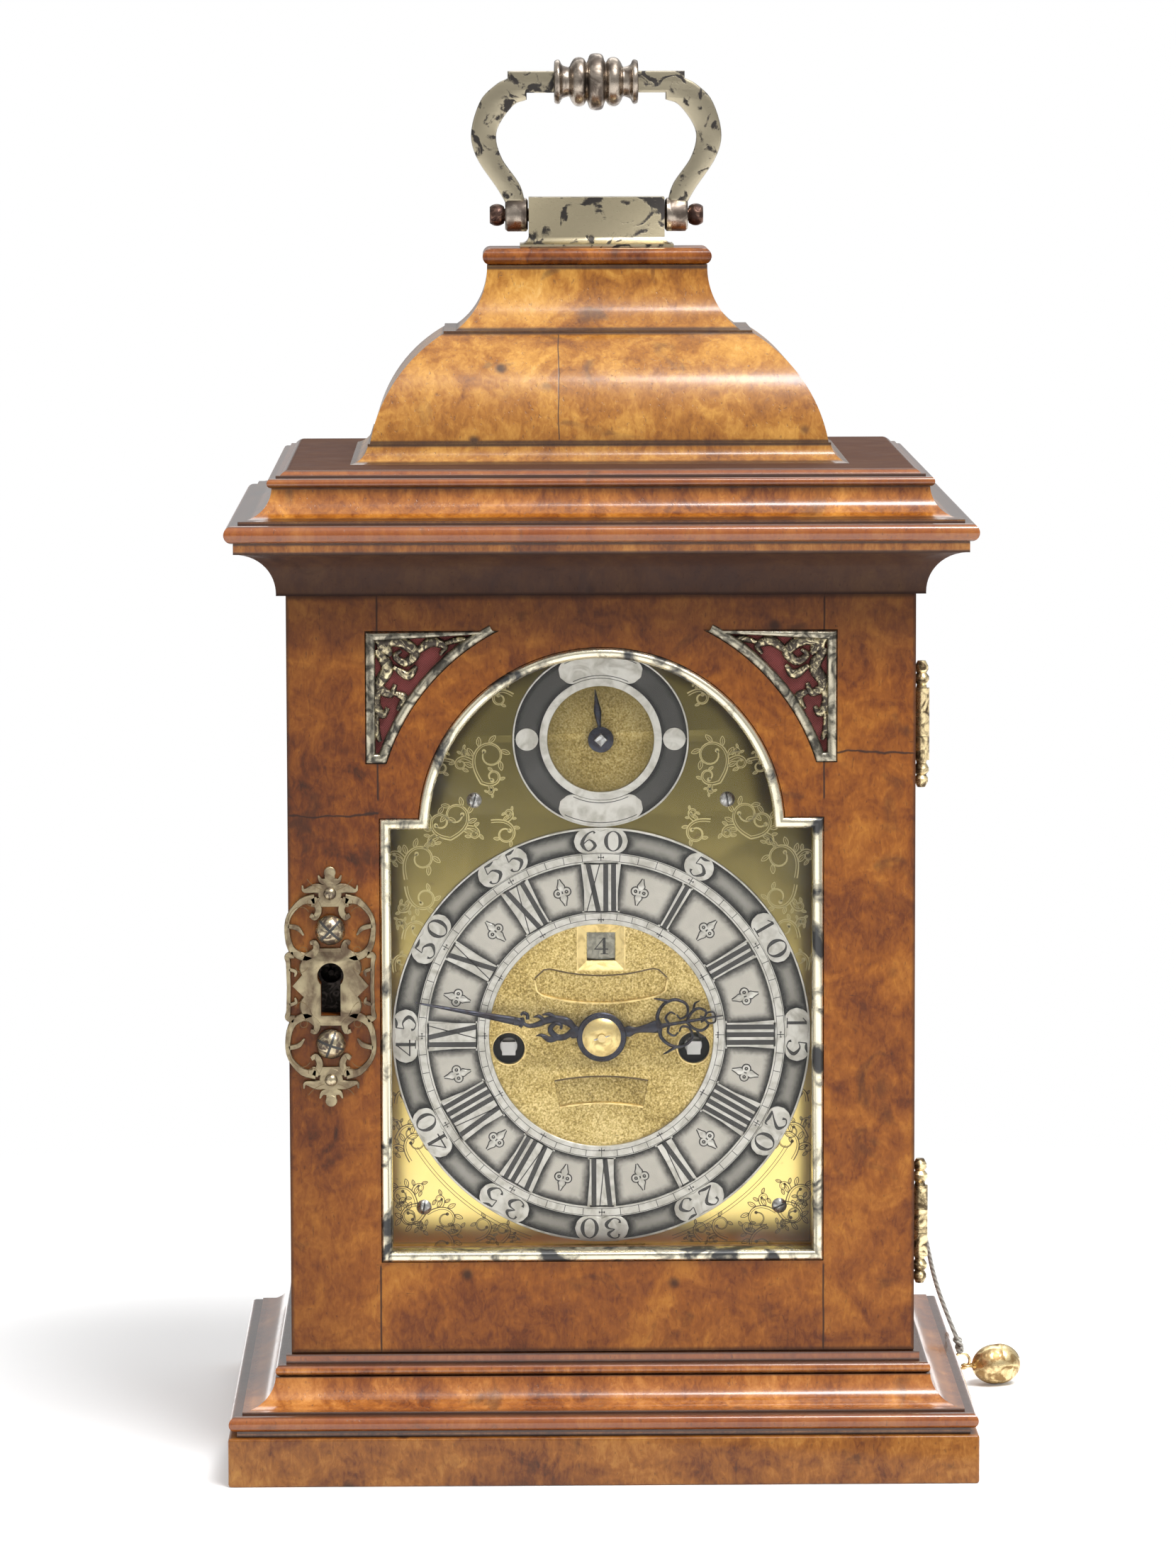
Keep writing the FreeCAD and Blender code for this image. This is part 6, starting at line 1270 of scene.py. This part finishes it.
# %% Hour and minute hands
def hand(name, angle, back, strokes, body, replaced, hub, bore, rise=0.8):
    heap = Heap()
    move = on_dial(angle)
    for corners in strokes:
        rows = np.array(corners, float) * np.array([1, 1, 1.3])
        drawn(heap, rows, back, rise, ROUND_SECTION, 26, False, move)
    ring_of(heap, [(bore, back), (bore, back - rise), (hub - 0.35, back - rise),
                   (hub, back - rise + 0.3), (hub, back)], DIAL_CENTRE, 48)
    made = solid_piece(name, heap, blued_steel, body)
    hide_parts(replaced)


hour_strokes = [[(0, 6.5, 2.0), (0, 8.6, 2.6), (0, 10.5, 1.5), (0, 14.0, 2.1), (0, 16.5, 2.9),
                 (0, 17.6, 1.2)],
                [(-1.9, 17.2, 0.9), (1.9, 17.2, 0.9)],
                [(0, 17.5, 1.4), (0, 21.0, 0.9), (0, 26.0, 0.8), (0, 31.5, 0.7),
                 (0, 37.2, 0.25)]]
for sign in (-1, 1):
    hour_strokes += [
        [(0, 18.0, 1.0), (sign * 3.2, 17.6, 0.9), (sign * 6.3, 20.0, 0.8),
         (sign * 7.2, 23.6, 0.8), (sign * 5.2, 26.8, 0.7), (sign * 2.2, 26.6, 0.6),
         (sign * 1.2, 24.4, 0.5), (sign * 2.6, 23.4, 0.4)],
        [(sign * 6.9, 22.0, 0.8), (sign * 8.0, 19.2, 0.6), (sign * 8.6, 17.4, 0.2)],
        [(sign * 0.3, 20.6, 0.7), (sign * 2.2, 20.0, 0.6), (sign * 3.6, 21.6, 0.5),
         (sign * 2.8, 23.0, 0.4)],
        [(0, 26.0, 0.8), (sign * 2.2, 27.6, 0.7), (sign * 3.4, 30.0, 0.7),
         (sign * 2.2, 32.2, 0.6), (sign * 0.5, 31.6, 0.5), (sign * 0.9, 30.2, 0.4)],
        [(0, 31.2, 0.6), (sign * 1.6, 32.6, 0.5), (sign * 1.5, 34.4, 0.4), (0, 34.9, 0.3)],
        [(sign * 3.2, 28.6, 0.6), (sign * 5.0, 29.4, 0.5), (sign * 5.6, 31.0, 0.15)],
    ]
hand("hour_hand_shape", 80.6, -59.6, hour_strokes, "hour_work", "hour_hand", 6.9, 3.35)

minute_strokes = [[(0, 7.0, 2.6), (0, 8.8, 3.2), (0, 9.6, 2.0)],
                  [(0.3, 9.0, 1.2), (-1.8, 10.6, 1.5), (-2.5, 13.2, 1.5), (-0.6, 15.6, 1.3),
                   (1.5, 14.4, 1.0), (1.3, 12.6, 0.8), (0.1, 12.5, 0.6)],
                  [(1.2, 8.6, 1.4), (2.7, 11.0, 1.9), (2.8, 14.6, 1.8), (1.7, 17.4, 1.6),
                   (0.2, 19.6, 1.3), (-0.7, 22.2, 1.0), (0.0, 24.6, 0.9)],
                  [(-2.0, 12.0, 1.0), (-3.6, 15.0, 1.5), (-2.8, 17.8, 0.9), (-3.3, 19.4, 0.2)],
                  [(2.6, 14.0, 1.1), (3.9, 16.6, 1.0), (3.4, 18.8, 0.3)],
                  [(1.6, 17.5, 0.9), (2.7, 19.6, 0.9), (2.2, 21.2, 0.3)],
                  [(-1.5, 24.6, 0.8), (0, 24.2, 1.2), (1.5, 24.6, 0.8)],
                  [(-1.2, 26.2, 0.7), (0, 26.4, 1.9), (1.2, 26.2, 0.7)],
                  [(1.2, 22.8, 0.8), (2.5, 23.2, 0.9), (2.9, 24.4, 0.8), (2.1, 25.1, 0.6)],
                  [(0, 24.0, 1.8), (0, 28.0, 1.9), (0, 40.0, 1.15), (0, 50.0, 0.75),
                   (0, 57.0, 0.3)]]
hand("minute_hand_shape", 280.8, -61.42, minute_strokes, "minute_work", "minute_hand", 7.5,
     1.15)

# %% [markdown]
# A domed brass collet holds the hands on, with a small steel pin through the end of
# the arbor.  The strike hand is a plain blued pointer with a filed square end.

# %% Collet pin and strike hand
pin = Heap()
move = on_dial(75.0)
drawn(pin, [(0, -2.4, 0.8), (0, -1.0, 0.95), (0, 0, 1.1), (0, 1.2, 0.9), (0, 2.6, 0.45)],
      -63.2, 0.8, ROUND_SECTION, 18, False, move)
slab(pin, circle(1.15, *DIAL_CENTRE, 18), -62.6, 1.8, 0.4)
solid_piece("hand_pin", pin, steel, "minute_work")
pointer = Heap()
move = on_dial(-6.2, STRIKE_CENTRE)
drawn(pointer, [(0, 3.4, 0.9), (0, 5.0, 1.3), (0, 8.5, 2.2), (0, 11.5, 1.3), (0, 15.2, 0.25)],
      -59.3, 0.75, ROUND_SECTION, 22, False, move)
ring_of(pointer, [(1.6, -59.3), (1.6, -60.1), (3.5, -60.1), (3.85, -59.9), (3.85, -59.3)],
        STRIKE_CENTRE, 40)
lathe(pointer, [(0, -59.6), (1.2, -59.6), (1.2, -49.3), (0, -49.3)],
      (0, 0, STRIKE_CENTRE[1]), "y", 24)
strike_pointer = solid_piece("strike_pointer", pointer, blued_steel,
                             "strike_lever")
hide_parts("strike_hand")
stub = Heap()
tips = np.array([(0, 2.1), (2.1, 0), (0, -2.1), (-2.1, 0)]) + np.array(STRIKE_CENTRE)
slab(stub, tips, -59.5, 1.7, 0.25)
solid_piece("strike_square", stub, steel, "strike_lever")

# %% [markdown]
# ## Brass mouldings of the door
# A half-round brass bead frames the glass and each corner fret.  A bead is one
# profile carried along a closed path; at each corner the profile is pushed along
# the mitre, the line that halves the angle between the two sides.

# %% Beads
def bead(name, path, width, face, rise, finish, body, skirt=0.0, shift=0.0):
    """A rounded profile carried round a closed path, mitred at its corners."""
    path = np.asarray(path, float)
    before, after = path - np.roll(path, 1, 0), np.roll(path, -1, 0) - path
    before /= np.linalg.norm(before, axis=1, keepdims=True)
    after /= np.linalg.norm(after, axis=1, keepdims=True)
    first = np.column_stack([-before[:, 1], before[:, 0]])
    second = np.column_stack([-after[:, 1], after[:, 0]])
    mitre = first + second
    mitre /= np.maximum(np.sum(mitre * first, axis=1, keepdims=True), 0.35)
    share = np.linspace(0, 1, 11)
    dome = rise * np.sin(np.pi * share) ** 0.55
    inward = np.concatenate([[0], share * width, [width]]) + shift
    depth = np.concatenate([[face + skirt], face - dome, [face + skirt]])
    across = path[:, None, :] + mitre[:, None, :] * inward[None, :, None]
    points = np.stack([across[..., 0], np.ones((len(path), 1)) * depth[None, :],
                       across[..., 1]], -1)
    heap = Heap()
    heap.grid(points, around_rows=True, around_columns=True)
    return solid_piece(name, heap, finish, body, sharp=50)


DOOR_FRONT = -73.5
door_bead = bead("door_bead", break_arch(66.3, 64.4, 198.6, 54.8, count=72), 3.4,
                 DOOR_FRONT + 0.6, 1.8, moulding_brass, "front_door_leaf", skirt=5.2)
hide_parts("door_arch_moulding")

FRET_CORNER, FRET_TOP, FRET_FOOT, FRET_RADIUS = 70.2, 254.6, 214.9, 67.0


def fret_path(sign, inset=0.0, count=30):
    """The outline between two straight edges and an arc about the arch's centre."""
    corner, top, foot = FRET_CORNER - inset, FRET_TOP - inset, FRET_FOOT + inset
    radius = FRET_RADIUS + inset
    start = math.asin((top - 194.8) / radius)
    finish = math.asin((foot - 194.8) / radius)
    angle = np.linspace(start, finish, count)
    arc = np.column_stack([radius * np.cos(angle), 194.8 + radius * np.sin(angle)])
    path = np.vstack([arc, [(corner, foot), (corner, top)]])
    path[:, 0] *= sign
    return path if sign > 0 else path[::-1]


# %% [markdown]
# Within each fret border lies a cast leaf scroll of dark bronze, over red silk that
# lets the bell be heard.  The silk is one flat piece, stretched behind the casting.

# %% Frets and silk
castings, borders = Heap(), []
for sign, word in ((-1, "left"), (1, "right")):
    borders.append(bead(f"fret_border_{word}", fret_path(sign), 3.1, DOOR_FRONT + 0.5, 1.3,
                        border_brass, "front_door_leaf", skirt=2.2))
    for corners in (
        [(66.0, 250.5, 1.6), (60.0, 251.4, 2.4), (55.2, 248.0, 2.2), (58.2, 245.0, 1.8),
         (61.2, 247.0, 1.3), (59.4, 248.6, 0.8)],
        [(66.6, 249.0, 1.8), (63.5, 243.5, 2.6), (66.2, 238.2, 2.2), (62.6, 235.6, 1.6),
         (61.2, 238.6, 1.0)],
        [(54.6, 248.4, 1.4), (50.4, 251.2, 2.2), (46.4, 249.8, 1.4), (47.8, 247.4, 0.8)],
        [(46.2, 250.8, 1.0), (42.0, 251.9, 1.4), (38.0, 251.6, 0.6)],
        [(65.8, 237.6, 1.2), (67.2, 233.0, 2.2), (65.0, 229.4, 1.6), (63.4, 231.6, 1.0)],
        [(66.6, 229.6, 1.0), (67.0, 225.4, 1.6), (65.8, 221.6, 0.9)],
        [(61.6, 243.8, 1.0), (57.4, 241.2, 2.0), (54.8, 244.0, 0.9)],
        [(61.2, 236.0, 1.2), (58.6, 234.4, 1.8), (60.6, 231.0, 0.8)],
        [(67.0, 252.0, 1.0), (64.6, 250.2, 3.0), (62.4, 247.2, 1.0)],
    ):
        rows = np.array([(sign * x, z, 1.5 * wide) for x, z, wide in corners])
        drawn(castings, rows, DOOR_FRONT + 1.5, 1.25, ROUND_SECTION, 22)
fret_casting = solid_piece("fret_castings", castings, fret_bronze,
                           "front_door_leaf")
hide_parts("door_frets")

SILK_FACE = DOOR_FRONT + 1.75


def silk_piece(sign, word):
    """A ruled sheet between the arc and the two straight edges, slightly bowed."""
    outline = fret_path(1, 0.6, 41)
    arc = outline[:41]
    corner = np.array([FRET_CORNER - 0.6, FRET_TOP - 0.6])
    along = np.linspace(0, 1, 41)[:, None]
    top = np.array([(arc[0, 0], corner[1])]) * (1 - along) + corner * along
    side = corner * (1 - along) + np.array([(corner[0], arc[-1, 1])]) * along
    edge = np.vstack([top[::2][:20], side[::2]])
    share = np.linspace(0, 1, 12)[None, :, None]
    sheet = arc[:, None, :] * (1 - share) + edge[:, None, :] * share
    bow = 0.12 * np.sin(np.pi * share[..., 0]) * np.ones((41, 1))
    points = np.stack([sign * sheet[..., 0], SILK_FACE + bow, sheet[..., 1]], -1)
    heap = Heap()
    heap.grid(points)
    made = solid_piece(f"silk_{word}", heap, red_silk, "front_door_leaf",
                       facing=(0, -1, 0))
    area = sum(face.area for face in made.data.polygons)
    wide, tall = FRET_CORNER - 0.6 - arc[0, 0], arc[:, 1].max() - arc[:, 1].min()
    wide * MM
    tall * MM
    print(f"silk {word}: {wide:.1f} x {tall:.1f} mm, {area * 1e6:.0f} square mm")
    return made


silks = [silk_piece(-1, "left"), silk_piece(1, "right")]
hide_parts("fret_silk")

# %% [markdown]
# ## The escutcheon
# The lock plate is sawn from sheet brass: two pairs of C-scrolls round two great
# screws, a winged plate with the keyhole, and a leafy finial at each end.  Strokes
# of the sheet's thickness overlap into one pierced plate.

# %% Escutcheon
LOCK_X, PLATE_MIDDLE = -81.0, 148.2
plate, cuts = Heap(), Heap()


def on_plate(rows):
    return np.asarray(rows)[:, :2] + np.array([LOCK_X, PLATE_MIDDLE])


def plate_stroke(corners, count=26):
    for side in (-1, 1):
        for end in (-1, 1):
            rows = np.array([(side * x, end * z, wide) for x, z, wide in corners])
            drawn(plate, rows, DOOR_FRONT, 1.4, FLAT_SECTION, count, False, on_plate)


for corners in (
    [(4.6, 26.4, 3.2), (8.6, 25.6, 2.2), (12.3, 21.2, 1.5), (12.8, 16.2, 1.7),
     (11.4, 11.2, 2.2), (7.6, 9.0, 2.6), (4.3, 11.0, 2.4), (4.6, 13.4, 1.9), (6.0, 13.2, 1.2)],
    [(4.9, 26.8, 2.2), (3.4, 23.4, 2.2), (4.4, 21.0, 2.0), (5.9, 21.6, 1.4)],
    [(12.5, 18.4, 1.4), (9.6, 17.6, 1.5), (7.9, 15.6, 0.5)],
    [(11.0, 9.8, 2.4), (12.8, 9.2, 1.8), (12.6, 7.2, 1.4), (12.5, 3.0, 1.3), (12.4, 0, 1.3)],
    [(12.2, 5.4, 1.1), (10.4, 4.6, 1.1), (10.6, 3.2, 0.5)],
    [(6.6, 9.2, 2.8), (7.8, 5.6, 3.0), (6.8, 2.6, 2.0)],
    [(0.8, 29.4, 3.0), (4.4, 29.6, 2.8), (7.6, 29.0, 1.2), (8.2, 30.6, 0.4)],
    [(1.0, 31.6, 2.4), (2.6, 32.0, 1.5), (3.4, 33.6, 0.4)],
):
    plate_stroke(corners)
wing = np.array([(3.3, 10.6), (6.2, 8.2), (8.2, 4.0), (11.4, 0.3), (8.0, -3.0), (5.4, -8.6),
                 (3.0, -10.8)])
keyhole_top = circle(3.9, 0.0, 3.3, 28)
slot_half, slot_foot = 2.9, -8.7
lower = math.asin(slot_half / 3.9)
bend = np.linspace(-math.pi / 2 + lower, 1.5 * math.pi - lower, 30)
keyhole = np.column_stack([3.9 * np.cos(bend), 3.3 + 3.9 * np.sin(bend)])
keyhole = np.vstack([keyhole, [(-slot_half, slot_foot), (slot_half, slot_foot)]])
winged = np.vstack([wing, wing[::-1] * np.array([-1, 1])])
key_plate = cut_plate("key_plate", on_plate(winged), [on_plate(keyhole)], DOOR_FRONT - 1.38,
                      1.38, 0.15, escutcheon_brass, "front_door_leaf")
for end in (-1, 1):
    slab(plate, on_plate(circle(1.75, 0, end * 34.4, 24)), DOOR_FRONT, 1.4, 0.15)
    slab(plate, on_plate(circle(3.5, 0, end * 28.0, 28)), DOOR_FRONT, 1.36, 0.15)
    slab(plate, on_plate(square(1.5, 0, end * 31.8, 2.6)), DOOR_FRONT, 1.33, 0.1)
    slab(plate, on_plate(square(5.6, 0, end * 25.4, 1.3)), DOOR_FRONT, 1.3, 0.1)
    slab(plate, on_plate(square(5.0, 0, end * 10.6, 1.1)), DOOR_FRONT, 1.3, 0.1)
escutcheon = solid_piece("escutcheon_scrolls", plate, escutcheon_brass,
                         "front_door_leaf")
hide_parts("escutcheon")

for side in (-1, 1):
    for end in (-1, 1):
        for x, z, heading, length, turning in ((12.4, 20.0, 100, 9, 150), (8.6, 9.2, 160, 7, -330),
                                               (3.8, 26.0, 290, 5, 200), (12.4, 14.0, 280, 6, -90),
                                               (2.0, 29.2, 20, 6, 40), (6.8, 6.0, 300, 5, 160)):
            path, _ = curl(side * x, end * z, 0, 1, 0)
            turn_way = heading if side > 0 else 180 - heading
            turn_way = turn_way if end > 0 else -turn_way
            path, _ = curl(side * x, end * z, turn_way, length, turning * side * end, 1.4, 16)
            stroke(cuts, on_plate(path), np.full(16, 0.16), DOOR_FRONT - 1.4, 0.02,
                   INK_SECTION)
solid_piece("escutcheon_engraving", cuts, engraving, "front_door_leaf")

# %% [markdown]
# The two great screws are domed and slotted twice, crosswise, so that a plain
# screwdriver fits either way.  Dark strips that follow the dome paint the slots' shade.

# %% Screw slots
def slot_over_dome(heap, x, z, turn_deg, radius, rise, base, width):
    """A narrow dark strip of painted shade laid over a dome from rim to rim."""
    sphere = (radius ** 2 + rise ** 2) / (2 * rise)
    along = np.linspace(-0.93, 0.93, 21) * radius
    aside = np.linspace(-0.5, 0.5, 5) * width
    u, v = np.meshgrid(along, aside, indexing="ij")
    height = np.sqrt(sphere ** 2 - u ** 2 - v ** 2) - (sphere - rise)
    c, s = math.cos(math.radians(turn_deg)), math.sin(math.radians(turn_deg))
    level = base - height - 0.03
    points = np.stack([x + u * c - v * s, level, z + u * s + v * c], -1)
    under = points + np.array([0, 0.4, 0])
    heap.grid(np.concatenate([points, under[:, ::-1]], axis=1), around_columns=True,
              caps=True)


# painted shade in the slots of the two great screws and the four dial screws
slots = Heap()
for end, tilt in ((-1, 20), (1, 44)):
    for extra in (0, 90):
        slot_over_dome(slots, LOCK_X, PLATE_MIDDLE + end * 17.2, -tilt + extra, 4.5, 3.6,
                       DOOR_FRONT - 1.4, 0.75)
solid_piece("great_screw_slot_shade", slots, black_wax_and_painted_shade, "front_door_leaf")
dial_slots = Heap()
for (x, z), tilt in zip(SCREWS, (80, 25, 75, 100)):
    slot_over_dome(dial_slots, x, z, tilt, 2.3, 1.15, DIAL_FRONT, 0.5)
solid_piece("dial_screw_slot_shade", dial_slots, black_wax_and_painted_shade, "case")

# %% [markdown]
# ## The carrying handle
# The bail is a cast strap whose arms swell and taper, with a turned grip of rings in
# the middle.  The strap's outline is cut out and well bevelled, and the grip and the
# two eyes are turned on the lathe.

# %% Handle
CAP_HEAD = 365.6
AXIS_HEIGHT = 375.4
BAR_TOP = AXIS_HEIGHT + 43.7
outer = smooth_line([(27.6, AXIS_HEIGHT + 3.4), (30.4, AXIS_HEIGHT + 8.2),
                     (36.4, AXIS_HEIGHT + 17.2), (38.2, AXIS_HEIGHT + 25.0),
                     (35.4, AXIS_HEIGHT + 34.6), (30.6, AXIS_HEIGHT + 39.6),
                     (27.0, AXIS_HEIGHT + 41.5)], 30)
inner = smooth_line([(21.2, AXIS_HEIGHT + 35.0), (25.6, AXIS_HEIGHT + 33.0),
                     (30.4, AXIS_HEIGHT + 25.4), (29.0, AXIS_HEIGHT + 17.6),
                     (23.6, AXIS_HEIGHT + 9.6), (21.6, AXIS_HEIGHT + 3.4)], 30)
half_strap = np.vstack([outer, [(27.0, BAR_TOP)]])
half_inner = np.vstack([[(21.2, BAR_TOP - 6.6)], inner])
strap = np.vstack([half_strap, (half_strap * np.array([-1, 1]))[::-1],
                   (half_inner * np.array([-1, 1]))[::-1], half_inner])
bail = cut_plate("handle_strap", strap, [], -2.5, 5.0, 0.9, handle_brass,
                 "carrying_handle")
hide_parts("handle")
grip = Heap()
GRIP_HEIGHT = BAR_TOP - 3.3
half_grip = [(0.0, 12.8), (5.6, 12.8), (6.6, 12.2), (6.6, 11.2), (5.2, 10.4), (4.6, 9.0),
             (4.6, 8.2), (5.8, 7.6), (7.1, 6.6), (7.5, 5.2), (7.1, 3.8), (5.9, 3.0),
             (6.4, 2.6), (8.0, 2.0), (8.6, 0.9)]
profile = np.array(half_grip + [(r, -x) for r, x in half_grip[::-1]])
lathe(grip, smooth_line(profile, 120).clip(min=[0, -13]), (0, 0, GRIP_HEIGHT), "x", 56)
for sign in (-1, 1):
    eye_profile = [(0, 20.95), (4.4, 20.95), (5.1, 21.5), (5.1, 27.1), (4.4, 27.9), (0, 27.9)]
    lathe(grip, [(r, sign * x) for r, x in eye_profile], (0, 0, AXIS_HEIGHT), "x", 36)
solid_piece("handle_grip", grip, grip_brass, "carrying_handle", sharp=50)

# %% [markdown]
# A CAD mesh is made of loose triangles, so a copy is merged before its edges are
# rounded.  The bracket under the handle gets its cast look this way.

# %% Rounded copies
def rounded_copy(node_name, name, width, finish, body, segments=2):
    """A merged copy of a CAD node with bevelled edges, shown in its place."""
    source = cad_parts[node_name]
    mesh = source.data.copy()
    work = bmesh.new()
    work.from_mesh(mesh)
    bmesh.ops.remove_doubles(work, verts=work.verts, dist=1e-6)
    bmesh.ops.dissolve_limit(work, angle_limit=math.radians(1.0), verts=work.verts,
                             edges=work.edges)
    work.to_mesh(mesh)
    work.free()
    mesh.polygons.foreach_set("use_smooth", [True] * len(mesh.polygons))
    mesh.materials.clear()
    mesh.materials.append(finish)
    made = bpy.data.objects.new(name, mesh)
    bpy.context.scene.collection.objects.link(made)
    rounding = made.modifiers.new("rounding", "BEVEL")
    rounding.width = width * MM
    rounding.segments = segments
    rounding.limit_method = "ANGLE"
    rounding.angle_limit = math.radians(40)
    rounding.harden_normals = True
    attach(made, body)
    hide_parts(node_name)
    print(f"{name}: rounded by {width} mm")
    return made


rounded_copy("handle_bracket", "bracket_casting", 0.5, bracket_brass, "case")
rounded_copy("base_plinth", "plinth_boards", 0.8, plinth_wood, "case")

# %% [markdown]
# ## The cord's knot
# The line is tied round a brass ring: a few turns of the same braid, each a small
# closed loop, tilted a little from the one before.

# %% Knot
KNOT = np.array([115.2, 45.5, 15.5])


def loop(heap, centre, radius, wire, tilt, lean, count=22, sides=8):
    """A ring of cord about a tilted axis."""
    turn_angle = np.linspace(0, 2 * np.pi, count, endpoint=False)[:, None]
    around = np.linspace(0, 2 * np.pi, sides, endpoint=False)[None, :]
    reach = radius + wire * np.cos(around)
    points = np.stack([reach * np.cos(turn_angle), reach * np.sin(turn_angle),
                       wire * np.sin(around) * np.ones_like(turn_angle)], -1)
    turned = Matrix.Rotation(math.radians(tilt), 3, "X") @ Matrix.Rotation(
        math.radians(lean), 3, "Y")
    points = points @ np.array(turned).T + centre
    heap.grid(points, around_rows=True, around_columns=True)


knot = Heap()
for drop, radius, tilt, lean in ((0.0, 1.0, 25, 10), (-1.0, 1.1, -20, 35), (-2.2, 0.9, 60, -30),
                                 (-3.2, 0.8, 80, 20)):
    loop(knot, KNOT + np.array([0.25 * -drop, 0.1 * -drop, drop]), radius, 0.62, tilt, lean)
knot_piece = solid_piece("cord_knot", knot, braided, "case", sharp=80)

# %% [markdown]
# ## Table and light
# The clock stands on a plain white table.  A large soft lamp high in front lights
# the tops of the mouldings and leaves their hollows dark, a weak one fills the left,
# and the sky is grey towards the horizon, which gives the brass something to mirror.

# %% Table, lamps and sky
def table_finish():
    """White paper that keeps the clock's shadow and fades to pure white for the camera."""
    table = Finish("table")
    rays = table.node("ShaderNodeLightPath", {}, {}, None)
    seen = Wire(table, rays.outputs["Is Camera Ray"])
    away = (table.x * table.x * 0.6 + table.y * table.y) ** 0.5
    white = table.node("ShaderNodeEmission", {}, {"Color": (1, 1, 1, 1), "Strength": 1.0})
    both = table.node("ShaderNodeMixShader", {}, [
        seen * away.step(190, 520, 0.12, 1.0), Wire(table, table.surface.outputs[0]), white])
    table.tree.links.new(both.socket, table.tree.nodes["Material Output"].inputs["Surface"])
    return table.wear(Base_Color=(0.90, 0.90, 0.90), Roughness=0.9)


board = bpy.data.meshes.new("table_top")
REACH = 9.0
board.from_pydata([(-REACH, -REACH, 0), (REACH, -REACH, 0), (REACH, REACH, 0),
                   (-REACH, REACH, 0)], [], [(0, 1, 2, 3)])
board.materials.append(table_finish())
table_top = bpy.data.objects.new("table_top", board)
bpy.context.scene.collection.objects.link(table_top)


def lamp(name, place, aim, width, height, power, colour=(1, 1, 1)):
    light = bpy.data.lights.new(name, "AREA")
    light.shape = "RECTANGLE"
    light.size, light.size_y = width, height
    light.energy = power
    light.color = colour
    made = bpy.data.objects.new(name, light)
    bpy.context.scene.collection.objects.link(made)
    made.location = place
    made.rotation_euler = (Vector(aim) - Vector(place)).to_track_quat("-Z", "Y").to_euler()


lamp("key", (0.75, -0.9, 2.3), (0, 0, 0.2), 1.2, 0.9, 84)
lamp("fill", (-1.9, -1.6, 0.9), (0, 0, 0.22), 1.0, 1.4, 2)
lamp("back", (0.2, 1.5, 1.8), (0, 0, 0.3), 1.6, 0.8, 9)

sky = bpy.data.worlds.new("studio")
bpy.context.scene.world = sky
sky.use_nodes = True
nodes, links = sky.node_tree.nodes, sky.node_tree.links
background = nodes["Background"]
direction = nodes.new("ShaderNodeTexCoord")
split = nodes.new("ShaderNodeSeparateXYZ")
links.new(direction.outputs["Generated"], split.inputs[0])
shade = nodes.new("ShaderNodeValToRGB")
for element, (place, level) in zip(
        [shade.color_ramp.elements[0], shade.color_ramp.elements[1],
         shade.color_ramp.elements.new(0.5)], ((0.0, 0.40), (0.75, 0.40), (0.12, 0.42))):
    element.position = place
    element.color = (level, level, level, 1)
links.new(split.outputs["Z"], shade.inputs["Fac"])
rays = nodes.new("ShaderNodeLightPath")
white = nodes.new("ShaderNodeMix")
white.data_type = "RGBA"
links.new(rays.outputs["Is Camera Ray"], white.inputs["Factor"])
links.new(shade.outputs["Color"], white.inputs[6])
white.inputs[7].default_value = (1, 1, 1, 1)
links.new(white.outputs[2], background.inputs["Color"])
background.inputs["Strength"].default_value = 1.0
print("table, three lamps and a sky")
